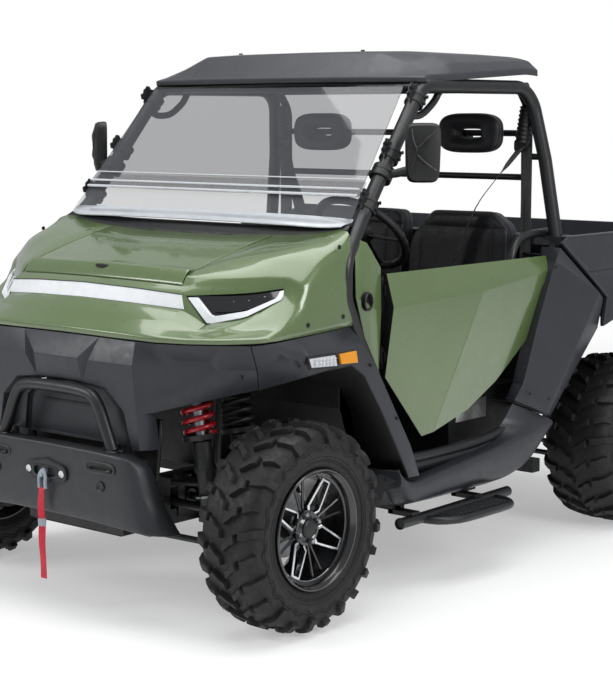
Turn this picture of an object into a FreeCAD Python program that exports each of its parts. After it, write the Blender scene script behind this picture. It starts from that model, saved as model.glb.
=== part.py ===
import FreeCAD, Part
import math
import os
from FreeCAD import Vector

# Side by side utility vehicle with two seats and a tipping bed.
# +X is the vehicle's left, -Y its front, +Z up, in millimetres.
# Pieces are laid out from the front axle, where y is zero, and moved at the end
# so that the origin lies on the ground under the middle of the vehicle.

# Overall layout
WHEELBASE = 2000.0
TYRE_R = 330.0
FRONT_WHEEL_X = 736.0
REAR_WHEEL_X = 710.0
TUB_HALF_W = 640.0
SEAT_GAP = 0.3
PIN_GAP = 0.4
PANEL_GAP = 6.0
OVERRUN = 30.0
TURN = 360.0
SKIN = 4.0
SHEET = 5.0

# Wheels
FRONT_TYRE_W = 228.0
REAR_TYRE_W = 280.0
BEAD_R = 178.0
TYRE_WALL = 14.0
TYRE_SHOULDER_SHARE = 0.80
TYRE_CHEEK_SHARE = 0.97
TYRE_BEAD_RISE = 42.0
TYRE_SHOULDER_DROP = 28.0
TYRE_SEGMENTS = 18
TYRE_LINER_SHARES = (0.70, 0.86)
LUG_COUNT = 14
LUG_H = 17.0
LUG_SINK = 8.0
LUG_ACROSS_SHARES = (0.05, 0.80, 0.97)
LUG_ROUND_SHARES = ((0.0, 0.40), (0.26, 0.78), (0.30, 0.74))
RIM_WALL = 6.0
RIM_LIP_H = 13.0
RIM_LIP_T = 8.0
FRONT_RIM_W = 204.0
REAR_RIM_W = 246.0
RIM_FACE_IN = 34.0
RIM_FACE_T = 14.0
HUB_R = 52.0
HUB_BACK = 24.0
CAP_R = 30.0
CAP_T = 10.0
SPINDLE_R = 22.0
SPOKE_COUNT = 4
SPOKE_START = -28.0
SPOKE_BAR = 13.0
SPOKE_OUTER_SHARES = (2.2, 3.1)
SPOKE_WINDOW_SHARES = (1.3, 2.1)
SPOKE_ROOT_R = 26.0
SPOKE_WINDOW_R = 70.0
DISC_R = 105.0
DISC_T = 5.0

# Steering and suspension
KINGPIN_X = 645.0
BALL_DROP = 98.0
BALL_R = 8.0
EAR_R = 20.0
EAR_T = 22.0
JOINT_R = 42.0
SOCKET_DEPTH = 3.0
UPRIGHT_T = 20.0
UPRIGHT_W = 60.0
STEER_ARM = 95.0
STEER_ARM_T = 14.0
STEER_ARM_RISE = 14.0
TIE_R = 9.0
RACK_R = 24.0
RACK_BAR_R = 13.0
RACK_HALF = 215.0
RACK_TRAVEL = 60.0
ARM_R = 15.0
ARM_LEG_R = 10.5
ARM_SPREADS = (130.0, 34.0)
ARM_ROOT_X = 245.0
ARM_ROOT_RISE = 36.0
SHAFT_R = 14.0
BOOT_R = 32.0
BOOT_END_R = 20.0
BOOT_LEN = 70.0
SHOCK_Y = 90.0
SHOCK_TAB = 8.0
SHOCK_FOOT_X = 500.0
SHOCK_TOP_X = 400.0
SHOCK_TOP_Z = 775.0
SHOCK_R = 20.0
SHOCK_EYE_R = 24.0
SHOCK_RING = 6.0
SPRING_R = 46.0
SPRING_SHARES = (0.30, 0.92)

# Frame
CLEARANCE_Z = 250.0
SKID_T = 4.0
SKID_HALF_W = 215.0
RAIL_X = 200.0
RAIL = 50.0
RAIL_FRONT_Y = -230.0
RAIL_REAR_REACH = 350.0
RAIL_REAR_Y = WHEELBASE + RAIL_REAR_REACH
POST_R = 20.0
TOWER_POST_R = 16.0
TOWER_BAR = 36.0
TOWER_HALF_L = 215.0
TOWER_TOP_X = 250.0
TOWER_TOP_Z = 812.0
OUTRIGGER_SHARES = (0.335, 0.50, 0.665)
OUTRIGGER_END_STAND = 20.0
OUTRIGGER_END_X = TUB_HALF_W + OUTRIGGER_END_STAND

# Roll cage
CAGE_R = 25.0
CAGE_BEND = 110.0
CAGE_BEND_SHARE = 0.48
CAGE_STAND = 60.0
CAGE_HALF_W = TUB_HALF_W + CAGE_STAND
CAGE_FRONT_Y = 320.0
CAGE_REAR_LEAD = 448.0
CAGE_REAR_Y = WHEELBASE - CAGE_REAR_LEAD
CAGE_LOW_Z = 410.0
CAGE_FOOT_OUT_STAND = 32.0
CAGE_FOOT_OUT_X = TUB_HALF_W + CAGE_FOOT_OUT_STAND
CAGE_FOOT_SHELF = 20.0
CAGE_TOP_Z = 1690.0
CAGE_FRONT_SHARES = (
    (1.000, 0.580, 0.000), (1.000, 0.250, 0.000), (0.996, 0.196, 0.082), (0.989, 0.110, 0.263),
    (0.983, 0.050, 0.360), (0.979, 0.000, 0.465), (0.979, 0.000, 0.560), (0.926, 0.110, 0.666),
    (0.886, 0.397, 1.000), (0.886, 0.650, 1.000))
CAGE_REAR_SHARES = (
    (1.000, 0.580, 0.000), (1.000, 0.743, 0.030), (1.000, 0.863, 0.123), (1.000, 0.923, 0.277),
    (1.000, 1.000, 0.569), (0.943, 0.982, 0.794), (0.886, 0.942, 1.000), (0.886, 0.650, 1.000))
CAGE_SIDE_X_SHARE = 0.886
CROSS_R = 19.0
CROSS_FRONT_SHARE = 0.395
CROSS_REAR_SHARE = 0.925
BELT_POST_X = 587.0
BELT_POST_R = 16.0
BELT_POST_LOW_Z = 900.0
BELT_POST_BEND_DROP = 78.0
BELT_POST_BEND_Z = CAGE_TOP_Z - BELT_POST_BEND_DROP
BAR_R = 12.0
HEAD_BAR_DROP = 167.0
HEAD_BAR_Z = CAGE_TOP_Z - HEAD_BAR_DROP
BACK_BAR_DROP = 330.0
BACK_BAR_Z = CAGE_TOP_Z - BACK_BAR_DROP
SIDE_BAR_DROP = 253.0
SIDE_BAR_Z = CAGE_TOP_Z - SIDE_BAR_DROP

# Nose, hood and dash
NOSE_HALF_W = 700.0
NOSE_FRONT_Y = -290.0
NOSE_LOW_Z = 890.0
COWL_Y = 375.0
COWL_Z = 1228.0
NOSE_STATION_SHARES = (0.0, 0.54, 0.915, 0.992)
NOSE_PROFILE_SHARES = (
    ((0.887, 0.888), (0.283, 0.609), (0.165, 0.459), (0.155, 0.325), (0.000, 0.000)),
    ((0.910, 0.905), (0.271, 0.547), (0.245, 0.429), (0.245, 0.296), (0.060, -0.018)),
    ((0.985, 1.000), (0.690, 0.606), (0.585, 0.510), (0.534, 0.310), (0.271, 0.015)),
    ((0.925, 1.040), (0.680, 0.640), (0.610, 0.520), (0.540, 0.320), (0.346, 0.038)))
NOSE_SIDE_SHARES = ((0.925, 1.040), (0.680, 0.640), (0.610, 0.520), (0.540, 0.320), (0.346, 0.038),
                    (0.955, 0.090), (0.980, 0.500), (0.980, 0.900))
HOOD_HALF_W = 378.0
HOOD_FRONT_HALF_W = 330.0
HOOD_FRONT_Y = -112.0
HOOD_REAR_Y = 292.0
HOOD_CORNER = 70.0
HOOD_HINGE_X = 250.0
HOOD_HINGE_Y = 286.0
HOOD_HINGE_Z = 1178.0
HOOD_HINGE_GAP = 12.0
HINGE_PIN_R = 4.0
HINGE_EYE_R = 8.0
HINGE_W = 20.0
BAR_FRONT_T = 6.0
HEADLIGHT_T = 8.0
HEADLIGHT_IN_X = 384.0
HEADLIGHT_OUT_X = 634.5
DASH_HALF_W = 600.0
DASH_SHARES = ((0.00, 0.62), (0.10, 1.00), (0.62, 1.00), (1.00, 0.72), (0.93, 0.20), (0.70, 0.0), (0.0, 0.0))
DASH_FRONT_Y = 330.0
DASH_REAR_Y = 640.0
DASH_LOW_Z = 930.0
DASH_TOP_Z = 1205.0

# Lower front: fascia, flares and bumper
FASCIA_LOW_Z = 560.0
FASCIA_TOP_Z = 878.0
FASCIA_HALF_W = 400.0
FASCIA_SHELF = 45.0
FASCIA_SADDLE_SHARE = 0.61
FASCIA_SADDLE_W = 32.0
FASCIA_SADDLE_H = 30.0
FASCIA_SADDLE_Z = 615.0
FASCIA_CREASE_Z = 822.0
FASCIA_UNDER_Z = 762.0
FASCIA_FRONT_Y = -318.0
FASCIA_DEPTH = 118.0
FASCIA_STATION_SHARES = ((0.0, 0.0, 0.51, 0.58), (0.82, 0.24, 0.56, 0.66), (1.0, 0.475, 0.79, 1.0))
FLARE_HALF_W = 785.0
FLARE_IN_X = 410.0
FLARE_ROUND = 12.0
FLARE_Y_SHARES = (0.0, 0.305, 0.752, 1.0)
FLARE_X_SHARES = (0.86, 1.0, 1.0, 0.97)
FLARE_TOP_Z = 880.0
FLARE_LOW_Z = 800.0
FLARE_FRONT_Y = -211.0
FLARE_REAR_Y = 343.0
ARCH_STRIP_SHARES = ((0.0, 1.0), (0.18, 0.86), (0.73, 0.31), (1.0, 0.0))
ARCH_STRIP_TOP_Z = 800.0
ARCH_STRIP_LOW_Z = 350.0
ARCH_STRIP_REAR_Y = 566.0
ARCH_STRIP_FRONT_Y = 312.0
BUMPER_Y = -345.0
BUMPER_TOP_HALF_W = 340.0
BUMPER_LOW_HALF_W = 417.0
BUMPER_TOP_Z = 548.0
BUMPER_LOW_Z = 317.0
BUMPER_LIP = 60.0
WING_X = 60.0
WING_Y = 90.0
HOOP_R = 19.0
HOOP_FOOT_X = 257.0
HOOP_TOP_X = 144.0
HOOP_TOP_Z = 716.0
HOOP_Y = -306.0
HOOP_BEND = 70.0
HOOK_SLOT_X = 246.0
HOOK_SLOT_W = 122.0
HOOK_SLOT_H = 24.0
HOOK_SLOT_Z = 497.0
PIN_HOLE_X = 248.0
PIN_HOLE_Z = 438.0
PIN_HOLE_R = 12.0
FAIRLEAD_HALF_W = 98.0
FAIRLEAD_H = 82.0
FAIRLEAD_Z = 456.0
FAIRLEAD_T = 10.0
FAIRLEAD_SLOT_W = 110.0
FAIRLEAD_SLOT_H = 30.0
WINCH_R = 45.0
WINCH_LEN = 300.0
WINCH_BACK = 62.0
WINCH_FOOT_X = 135.0

# Winch strap, hanging from the fairlead
STRAP_R = 12.0
STRAP_POINTS = ((-2.0, -372.0, 404.0), (-8.0, -374.0, 345.0), (-4.0, -370.0, 285.0),
                (-11.0, -368.0, 222.0), (-6.0, -366.0, 160.0), (-10.0, -362.0, 102.0))
STRAP_RUN_SHARE = 0.45
STRAP_BEND = 1000.0
HOOK_HALF_W = 16.0
HOOK_T = 24.0
HOOK_TOP_Z = 470.0

# Cab
FLOOR_Z = 336.0
TUB_FRONT_Y = 350.0
TUB_SLOPE = 115.0
TUB_TOE_Z = 640.0
TUB_REAR_LEAD = 500.0
TUB_REAR_Y = WHEELBASE - TUB_REAR_LEAD
TUB_BACK_Z = 1000.0
SEAT_BASE_FRONT_LEAD = 960.0
SEAT_BASE_FRONT_Y = WHEELBASE - SEAT_BASE_FRONT_LEAD
SEAT_BASE_INSET = 50.0
SEAT_BASE_HALF_W = TUB_HALF_W - SEAT_BASE_INSET
SEAT_BASE_Z = 600.0
SEAT_WALL = 5.0
BATTERY_HALF_W = 420.0
BATTERY_H = 200.0
BATTERY_MARGIN = 40.0
CUSHION_T = 120.0
CUSHION_FRONT_LEAD = 1000.0
CUSHION_FRONT_Y = WHEELBASE - CUSHION_FRONT_LEAD
BACK_TOP_Z = 1241.0
BACK_LEAD = 455.0
BACK_Y = WHEELBASE - BACK_LEAD
BACK_T = 110.0
BACK_LEAN = 40.0
SEAT_IN_X = 150.0
SEAT_OUT_X = 556.0
CENTRE_SEAT_HALF_W = 140.0
HEADREST_X = 362.0
HEADREST_W = 284.0
HEADREST_H = 155.0
HEADREST_T = 70.0
HEADREST_R = 60.0
HEADREST_SLOT_W = 120.0
HEADREST_SLOT_H = 34.0
BOOT_TOP_DROP = 115.0
BOOT_TOP_Z = CAGE_TOP_Z - BOOT_TOP_DROP
BELT_BOOT_R = 22.0
BELT_BOOT_H = 133.0
BELT_OVER_X = 569.0
BELT_OVER_BACK = 88.0
BELT_OVER_DROP = 389.0
BELT_OVER_Z = CAGE_TOP_Z - BELT_OVER_DROP
BELT_END_X = 323.0
BELT_END_FORE = 22.0
BELT_END_Z = 840.0
STEERING_X = 358.0
STEERING_Y = 820.0
STEERING_Z = 1178.0
STEERING_R = 172.0
STEERING_RIM_R = 15.0
STEERING_TILT = 45.0
STEERING_HUB_R = 45.0
STEERING_HUB_T = 40.0
STEERING_SPOKE_R = 12.0
STEERING_SPOKE_ANGLES = (90.0, -10.0, 190.0)
COLUMN_LEN = 292.0
COLUMN_R = 26.0

# Glass, roof and mirrors
PANE_T = 5.0
PANE_FOOT_Y = 376.0
PANE_FOOT_Z = 1240.0
PANE_SLOPE = 0.85
PANE_LOW_HALF_W = 655.0
PANE_TOP_HALF_W = 590.0
PANE_SPLIT_Z = 1372.0
PANE_OVERLAP = 40.0
PANE_TOP_Z = CAGE_TOP_Z
CLAMP_SHARES = (0.09, 0.47, 0.90)
CLAMP_R = 33.0
CLAMP_L = 40.0
CLAMP_PLATE = 70.0
ROOF_HALF_W = 640.0
ROOF_TOP_HALF_W = 415.0
ROOF_FRONT_Y = 752.0
ROOF_REAR_LEAD = 455.0
ROOF_REAR_Y = WHEELBASE - ROOF_REAR_LEAD
ROOF_LIP_H = 26.0
ROOF_TOP_RISE = 130.0
ROOF_TOP_Z = CAGE_TOP_Z + ROOF_TOP_RISE
ROOF_RAIL_W = 32.0
ROOF_RAIL_FRONT_Y = 830.0
ROOF_RAIL_REAR_LEAD = 540.0
ROOF_RAIL_REAR_Y = WHEELBASE - ROOF_RAIL_REAR_LEAD
ROOF_STATION_SHARES = ((0.0, 0.0), (0.12, 0.94), (0.60, 1.0), (1.0, 0.45))
MIRROR_X = 764.0
MIRROR_Y = 630.0
MIRROR_DROP = 224.0
MIRROR_Z = CAGE_TOP_Z - MIRROR_DROP
MIRROR_W = 134.0
MIRROR_H = 190.0
MIRROR_T = 46.0
MIRROR_OUTLINE_SHARES = ((-0.36, -0.5), (0.30, -0.5), (0.44, -0.38), (0.5, 0.36), (0.38, 0.5), (-0.32, 0.5),
                         (-0.5, 0.34), (-0.5, -0.34))
MIRROR_ARM_R = 13.0
MIRROR_ARM_DROP = 285.0
MIRROR_ARM_Z = CAGE_TOP_Z - MIRROR_ARM_DROP

# Doors and side panels
DOOR_INSET = 6.0
DOOR_X = CAGE_HALF_W - DOOR_INSET
DOOR_T = 36.0
DOOR_FRONT_Y = 500.0
DOOR_REAR_LEAD = 496.0
DOOR_REAR_Y = WHEELBASE - DOOR_REAR_LEAD
DOOR_LOW_Z = 505.0
DOOR_TOP_Z = 1078.0
DOOR_PIN_X = DOOR_X + DOOR_T / 2
DOOR_PIN_Y = 507.0
DOOR_PIN_R = 4.0
DOOR_PIN_DEPTH = 24.0
DOOR_STRAP = 16.0
DOOR_HINGE_LOW_Z = 728.0
DOOR_SHARES = ((0.0, 1.0), (1.0, 1.0), (0.95, 0.85), (0.92, 0.59), (0.645, 0.25), (0.47, 0.11),
               (0.205, 0.0), (0.0, 0.40))
KICK_INSET = 10.0
KICK_X = CAGE_HALF_W - KICK_INSET
KICK_FRONT_INSET = 45.0
KICK_FRONT_X = CAGE_HALF_W - KICK_FRONT_INSET
KICK_SHARES = ((0.0, 1.0), (0.30, 0.94), (0.92, 0.74), (0.96, 0.0), (0.62, 0.10), (0.04, 0.45))
KICK_FRONT_Y = 368.0
KICK_LOW_Z = 745.0
KICK_TOP_Z = 1206.0
SILL_OUT_X = 782.0
SILL_IN_INSET = 24.0
SILL_IN_X = CAGE_HALF_W - SILL_IN_INSET
SILL_TOP_Z = 383.0
SILL_EDGE_Z = 345.0
SILL_LOW_Z = 290.0
SILL_EDGE_H = 16.0
SILL_FRONT_Y = 570.0
SILL_REAR_LEAD = 600.0
SILL_REAR_Y = WHEELBASE - SILL_REAR_LEAD
FENDER_REAR_X = 765.0
FENDER_BOSS_R = 12.0
FENDER_SHARES = ((0.46, 1.0), (0.95, 0.735), (1.0, 0.675), (0.98, 0.525), (0.78, 0.36), (0.39, 0.0), (0.02, 0.13),
                 (0.22, 0.50), (0.31, 0.60), (0.375, 0.83))
FENDER_FRONT_LEAD = 710.0
FENDER_FRONT_Y = WHEELBASE - FENDER_FRONT_LEAD
FENDER_REAR_LEAD = 218.0
FENDER_REAR_Y = WHEELBASE - FENDER_REAR_LEAD
FENDER_LOW_Z = 462.0
FENDER_TOP_Z = 1100.0
STEP_X = 780.0
STEP_Z = 257.0
STEP_R = 20.0
STEP_FRONT_Y = 489.0
STEP_REAR_LEAD = 850.0
STEP_REAR_Y = WHEELBASE - STEP_REAR_LEAD
STEP_LOOP_R = 12.0
STEP_LOOP_X = 832.0
STEP_LOOP_Z = 222.0
STEP_LOOP_FRONT_Y = 655.0
STEP_LOOP_REAR_LEAD = 900.0
STEP_LOOP_REAR_Y = WHEELBASE - STEP_LOOP_REAR_LEAD
STEP_SWEEP = 60.0

# Bed
BED_HALF_W = 780.0
BED_FRONT_LEAD = 400.0
BED_FRONT_Y = WHEELBASE - BED_FRONT_LEAD
BED_REAR_REACH = 550.0
BED_REAR_Y = WHEELBASE + BED_REAR_REACH
BED_TOP_Z = 1145.0
BED_FLOOR_Z = 850.0
BED_WALL = 30.0
BED_FLOOR_T = 24.0
BED_WELL_X = 718.0
BED_SIDE_FRONT_LEAD = 475.0
BED_SIDE_FRONT_Y = WHEELBASE - BED_SIDE_FRONT_LEAD
BED_SIDE_LOW_Z = 690.0
BED_SIDE_SHARES = ((0.0, 1.0), (0.0, 0.92), (0.245, 0.55), (0.268, 0.46), (0.268, 0.24), (0.33, 0.30),
                   (0.46, 0.34), (0.60, 0.30), (0.70, 0.17), (0.76, 0.0), (0.92, 0.0), (0.99, 0.35), (1.0, 1.0))
TAILGATE_T = 28.0
TAILGATE_GAP = 10.0
TAILGATE_PIN_R = 6.0
TAILGATE_PIN_DEPTH = 18.0
TAILGATE_PIN_RISE = 12.0
BED_PIVOT_REACH = 330.0
BED_PIVOT_Y = WHEELBASE + BED_PIVOT_REACH
BED_PIVOT_Z = 790.0
BED_PIN_R = 10.0
LUG_W = 16.0
LUG_R = 22.0
BED_PIN_REACH = 30.0
BED_PAD_HALF_W = 40.0
BED_PAD_HALF_L = 14.0
LAMP_H = 120.0
LAMP_T = 12.0

# Drive and hitch
MOTOR_HALF_W = 140.0
MOTOR_HALF_L = 150.0
MOTOR_H = 250.0
DIFF_HALF_W = 105.0
DIFF_HALF_L = 85.0
DIFF_H = 130.0
DIFF_REAR_Y = 62.0
RECEIVER = 64.0
RECEIVER_HOLE = 51.2
RECEIVER_LEN = 150.0
RECEIVER_PIN_R = 8.1
RECEIVER_PIN_BACK = 45.0

AXLE_Z = TYRE_R
FENDER_X = CAGE_HALF_W + CAGE_R + SEAT_GAP
RAIL_TOP_Z = CLEARANCE_Z + SKID_T + RAIL
RAIL_MID_Z = RAIL_TOP_Z - RAIL / 2


def box(x0, x1, y0, y1, z0, z1):
    """Block between two corners."""
    return Part.makeBox(x1 - x0, y1 - y0, z1 - z0, Vector(x0, y0, z0))


def rod(start, end, radius):
    """Round bar between two points."""
    start, end = Vector(*start), Vector(*end)
    return Part.makeCylinder(radius, (end - start).Length, start, end - start)


def cone(start, end, radius0, radius1):
    """Round bar that changes radius along its length."""
    start, end = Vector(*start), Vector(*end)
    return Part.makeCone(radius0, radius1, (end - start).Length, start, end - start)


def polygon(points):
    """Closed wire through points."""
    corners = [Vector(*p) for p in points]
    return Part.makePolygon(corners + corners[:1])


def slab_x(outline, x0, x1):
    """Side-view outline of (y, z) points, drawn out from x0 to x1."""
    face = Part.Face(polygon([(x0, y, z) for y, z in outline]))
    return face.extrude(Vector(x1 - x0, 0, 0))


def slab_y(outline, y0, y1):
    """Front-view outline of (x, z) points, drawn out from y0 to y1."""
    face = Part.Face(polygon([(x, y0, z) for x, z in outline]))
    return face.extrude(Vector(0, y1 - y0, 0))


def slab_z(outline, z0, z1):
    """Plan outline of (x, y) points, drawn out from z0 to z1."""
    face = Part.Face(polygon([(x, y, z0) for x, y in outline]))
    return face.extrude(Vector(0, 0, z1 - z0))


def scaled(shares, start, size):
    """Pairs of shares placed in the rectangle at start with the given size."""
    return [(start[0] + u * size[0], start[1] + v * size[1]) for u, v in shares]


def strip(line, wall):
    """Closed outline of a bent sheet: the open line and its copy set to the right by wall."""
    inner = []
    for i, (u, v) in enumerate(line):
        normals = []
        for j in (i - 1, i):
            if 0 <= j < len(line) - 1:
                du, dv = line[j + 1][0] - line[j][0], line[j + 1][1] - line[j][1]
                length = math.hypot(du, dv)
                normals.append((dv / length, -du / length))
        nu = sum(n[0] for n in normals)
        nv = sum(n[1] for n in normals)
        reach = wall * len(normals) / (nu * nu + nv * nv)
        inner.append((u + nu * reach, v + nv * reach))
    return list(line) + inner[::-1]


def ruled(sections):
    """Solid with straight sides through closed sections of equally many points."""
    return Part.makeLoft([polygon(s) for s in sections], True, True)


def bent_tube(points, radius, bend, share=CAGE_BEND_SHARE):
    """Round bar along a route of straight runs joined by tangent arcs."""
    pts = [Vector(*p) for p in points]
    edges, start = [], pts[0]
    for before, corner, after in zip(pts, pts[1:], pts[2:]):
        back, ahead = before - corner, after - corner
        half = (math.pi - back.getAngle(ahead)) / 2
        trim = min(bend * math.tan(half), share * min(back.Length, ahead.Length))
        back.normalize()
        ahead.normalize()
        first, last = corner + back * trim, corner + ahead * trim
        middle = back + ahead
        middle.normalize()
        arc_r = trim / math.tan(half)
        mid = corner + middle * (arc_r / math.cos(half) - arc_r)
        edges.append(Part.LineSegment(start, first).toShape())
        edges.append(Part.Arc(first, mid, last).toShape())
        start = last
    edges.append(Part.LineSegment(start, pts[-1]).toShape())
    wire = Part.Wire(edges)
    circle = Part.Wire(Part.makeCircle(radius, pts[0], pts[1] - pts[0]))
    return wire.makePipeShell([circle], True, False)


def largest(shape):
    """The biggest solid of a shape that a cut has left in several."""
    return max(shape.Solids, key=lambda solid: solid.Volume)


def fused(shapes):
    """One solid from pieces that join."""
    whole = shapes[0]
    if len(shapes) > 1:
        whole = whole.fuse(shapes[1:])
    return whole.removeSplitter()


def mirrored(shape):
    """The same piece on the vehicle's other side."""
    return shape.mirror(Vector(0, 0, 0), Vector(1, 0, 0))


def both_sides(shape):
    """A piece and its mirror image, as separate solids."""
    return Part.makeCompound([shape, mirrored(shape)])


def on_both_sides(points):
    """Symmetric plan or front outline from the points of its left half, listed from the front."""
    return points + [(-u, v) for u, v in points[::-1] if u != 0]


def ring(profile, centre):
    """Outline of (x, radius) points turned about the wheel's axis."""
    face = Part.Face(polygon([(x, r, 0) for x, r in profile]))
    turned = face.revolve(Vector(0, 0, 0), Vector(1, 0, 0), TURN)
    turned.translate(Vector(*centre))
    return turned


def faceted(faces):
    """Solid with flat faces, each given as its corner points."""
    solid = Part.Solid(Part.Shell([Part.Face(polygon(face)) for face in faces]))
    if solid.Volume < 0:
        solid.reverse()
    return solid


def wheel_point(x, radius, angle):
    """Point at a distance along the wheel's axis, a radius from it and an angle round it in degrees."""
    return (x, radius * math.sin(math.radians(angle)), radius * math.cos(math.radians(angle)))


def tyre(centre, width):
    """Tyre with its bead on the rim, an open inside and slanted lugs that wrap its shoulders."""
    half, base = width / 2, TYRE_R - LUG_H
    step = TURN / TYRE_SEGMENTS
    bead = (BEAD_R + SEAT_GAP) / math.cos(math.radians(step / 2))
    shoulder, cheek = half * TYRE_SHOULDER_SHARE, half * TYRE_CHEEK_SHARE
    near, far = (half * share for share in TYRE_LINER_SHARES)
    right = [(near, bead), (shoulder, bead), (half, bead + TYRE_BEAD_RISE), (cheek, base - TYRE_SHOULDER_DROP),
             (shoulder, base)]
    inside = [(near, bead), (far, bead + TYRE_BEAD_RISE), (near, base - TYRE_WALL)]
    profile = right + [(-x, r) for x, r in right[::-1]] + [(-x, r) for x, r in inside[1:]] + inside[:0:-1]
    faces = []
    for k in range(TYRE_SEGMENTS):
        for (x0, r0), (x1, r1) in zip(profile, profile[1:] + profile[:1]):
            faces.append([wheel_point(x0, r0, k * step), wheel_point(x1, r1, k * step),
                          wheel_point(x1, r1, (k + 1) * step), wheel_point(x0, r0, (k + 1) * step)])
    carcass = faceted(faces)
    tops = (TYRE_R, TYRE_R, TYRE_R - TYRE_SHOULDER_DROP)
    lugs, pitch = [], TURN / LUG_COUNT
    for i in range(LUG_COUNT):
        for side, start in ((1, i * pitch), (-1, (i + 1 / 2) * pitch)):
            rings = []
            for across, (low, high), top in zip(LUG_ACROSS_SHARES, LUG_ROUND_SHARES, tops):
                foot = top - LUG_H - LUG_SINK
                rings.append([wheel_point(side * half * across, r, start + pitch * share)
                              for share, r in ((low, foot), (low, top), (high, top), (high, foot))])
            faces = [rings[0], rings[-1]]
            for one, two in zip(rings, rings[1:]):
                for k in range(4):
                    after = (k + 1) % 4
                    faces += [[one[k], one[after], two[k]], [one[after], two[after], two[k]]]
            lugs.append(faceted(faces))
    whole = carcass.multiFuse(lugs)
    whole.translate(Vector(*centre))
    return whole


def rim(centre, width, side):
    """Wheel rim with its spoked face, hub and brake disc. Side is 1 on the left and -1 on the right."""
    half = width / 2
    line = [(-half, BEAD_R), (half, BEAD_R)]
    barrel = ring(strip(line, RIM_WALL), (0, 0, 0))
    low, high = BEAD_R - RIM_WALL, BEAD_R + RIM_LIP_H
    lips = []
    for edge, way in ((-half, -1), (half, 1)):
        end = edge + way * RIM_LIP_T
        lips.append(ring([(edge, low), (end, low), (end, high), (edge, high)], (0, 0, 0)))
    face_x = half - RIM_FACE_IN
    bars = []
    root_w, tip_w = (share * SPOKE_BAR for share in SPOKE_OUTER_SHARES)
    low_w, high_w = (share * SPOKE_BAR for share in SPOKE_WINDOW_SHARES)
    tip, high = BEAD_R - RIM_WALL / 2, BEAD_R - RIM_WALL - SPOKE_BAR
    for i in range(SPOKE_COUNT):
        frame = slab_x([(-root_w, SPOKE_ROOT_R), (-tip_w, tip), (tip_w, tip), (root_w, SPOKE_ROOT_R)],
                       face_x - RIM_FACE_T, face_x)
        opening = slab_x([(-low_w, SPOKE_WINDOW_R), (-high_w, high), (high_w, high), (low_w, SPOKE_WINDOW_R)],
                         face_x - 2 * RIM_FACE_T, face_x + RIM_FACE_T)
        spoke = frame.cut(opening)
        spoke.rotate(Vector(0, 0, 0), Vector(1, 0, 0), SPOKE_START + TURN * i / SPOKE_COUNT)
        bars.append(spoke)
    hub = rod((-HUB_BACK, 0, 0), (face_x, 0, 0), HUB_R)
    cap = rod((face_x, 0, 0), (face_x + CAP_T, 0, 0), CAP_R)
    disc = rod((-HUB_BACK, 0, 0), (-HUB_BACK + DISC_T, 0, 0), DISC_R)
    whole = fused([barrel, hub, cap, disc] + lips + bars)
    bore = rod((-HUB_BACK - OVERRUN, 0, 0), (face_x - CAP_T, 0, 0), SPINDLE_R + PIN_GAP)
    whole = whole.cut(bore)
    if side < 0:
        whole = mirrored(whole)
    whole.translate(Vector(*centre))
    return whole


def spindle_end_x(wheel_x, rim_w):
    """How far out the spindle reaches inside the hub's bore."""
    return wheel_x + rim_w / 2 - RIM_FACE_IN - CAP_T - PANEL_GAP


def knuckle(axle_y, wheel_x, rim_w, steered):
    """Left knuckle: shaft joint, upright, ball-joint ears, spindle and steering arm."""
    x = KINGPIN_X
    joint = Part.makeSphere(JOINT_R, Vector(x, axle_y, AXLE_Z), Vector(1, -1, 0))
    upright = box(x + EAR_R / 2, x + EAR_R / 2 + UPRIGHT_T, axle_y - UPRIGHT_W / 2, axle_y + UPRIGHT_W / 2,
                  AXLE_Z - BALL_DROP, AXLE_Z + BALL_DROP)
    spindle = rod((x, axle_y, AXLE_Z), (spindle_end_x(wheel_x, rim_w), axle_y, AXLE_Z), SPINDLE_R)
    low, high = AXLE_Z - BALL_DROP, AXLE_Z + BALL_DROP
    ears = [rod((x, axle_y, low), (x, axle_y, low + EAR_T / 2), EAR_R),
            rod((x, axle_y, high - EAR_T / 2), (x, axle_y, high), EAR_R),
            box(x, x + EAR_R, axle_y - EAR_R, axle_y + EAR_R, low, low + EAR_T / 2),
            box(x, x + EAR_R, axle_y - EAR_R, axle_y + EAR_R, high - EAR_T / 2, high)]
    pins = [rod((x, axle_y, low - EAR_T), (x, axle_y, low), BALL_R),
            rod((x, axle_y, high), (x, axle_y, high + EAR_T), BALL_R)]
    pieces = [joint, upright, spindle] + ears + pins
    if steered:
        low = AXLE_Z + STEER_ARM_RISE
        top = low + STEER_ARM_T
        pieces.append(box(x - EAR_R / 2, x + EAR_R / 2 + UPRIGHT_T, axle_y, axle_y + STEER_ARM, low, top))
        pieces.append(rod((x, axle_y + STEER_ARM, low), (x, axle_y + STEER_ARM, top), EAR_R))
    return fused(pieces)


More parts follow.
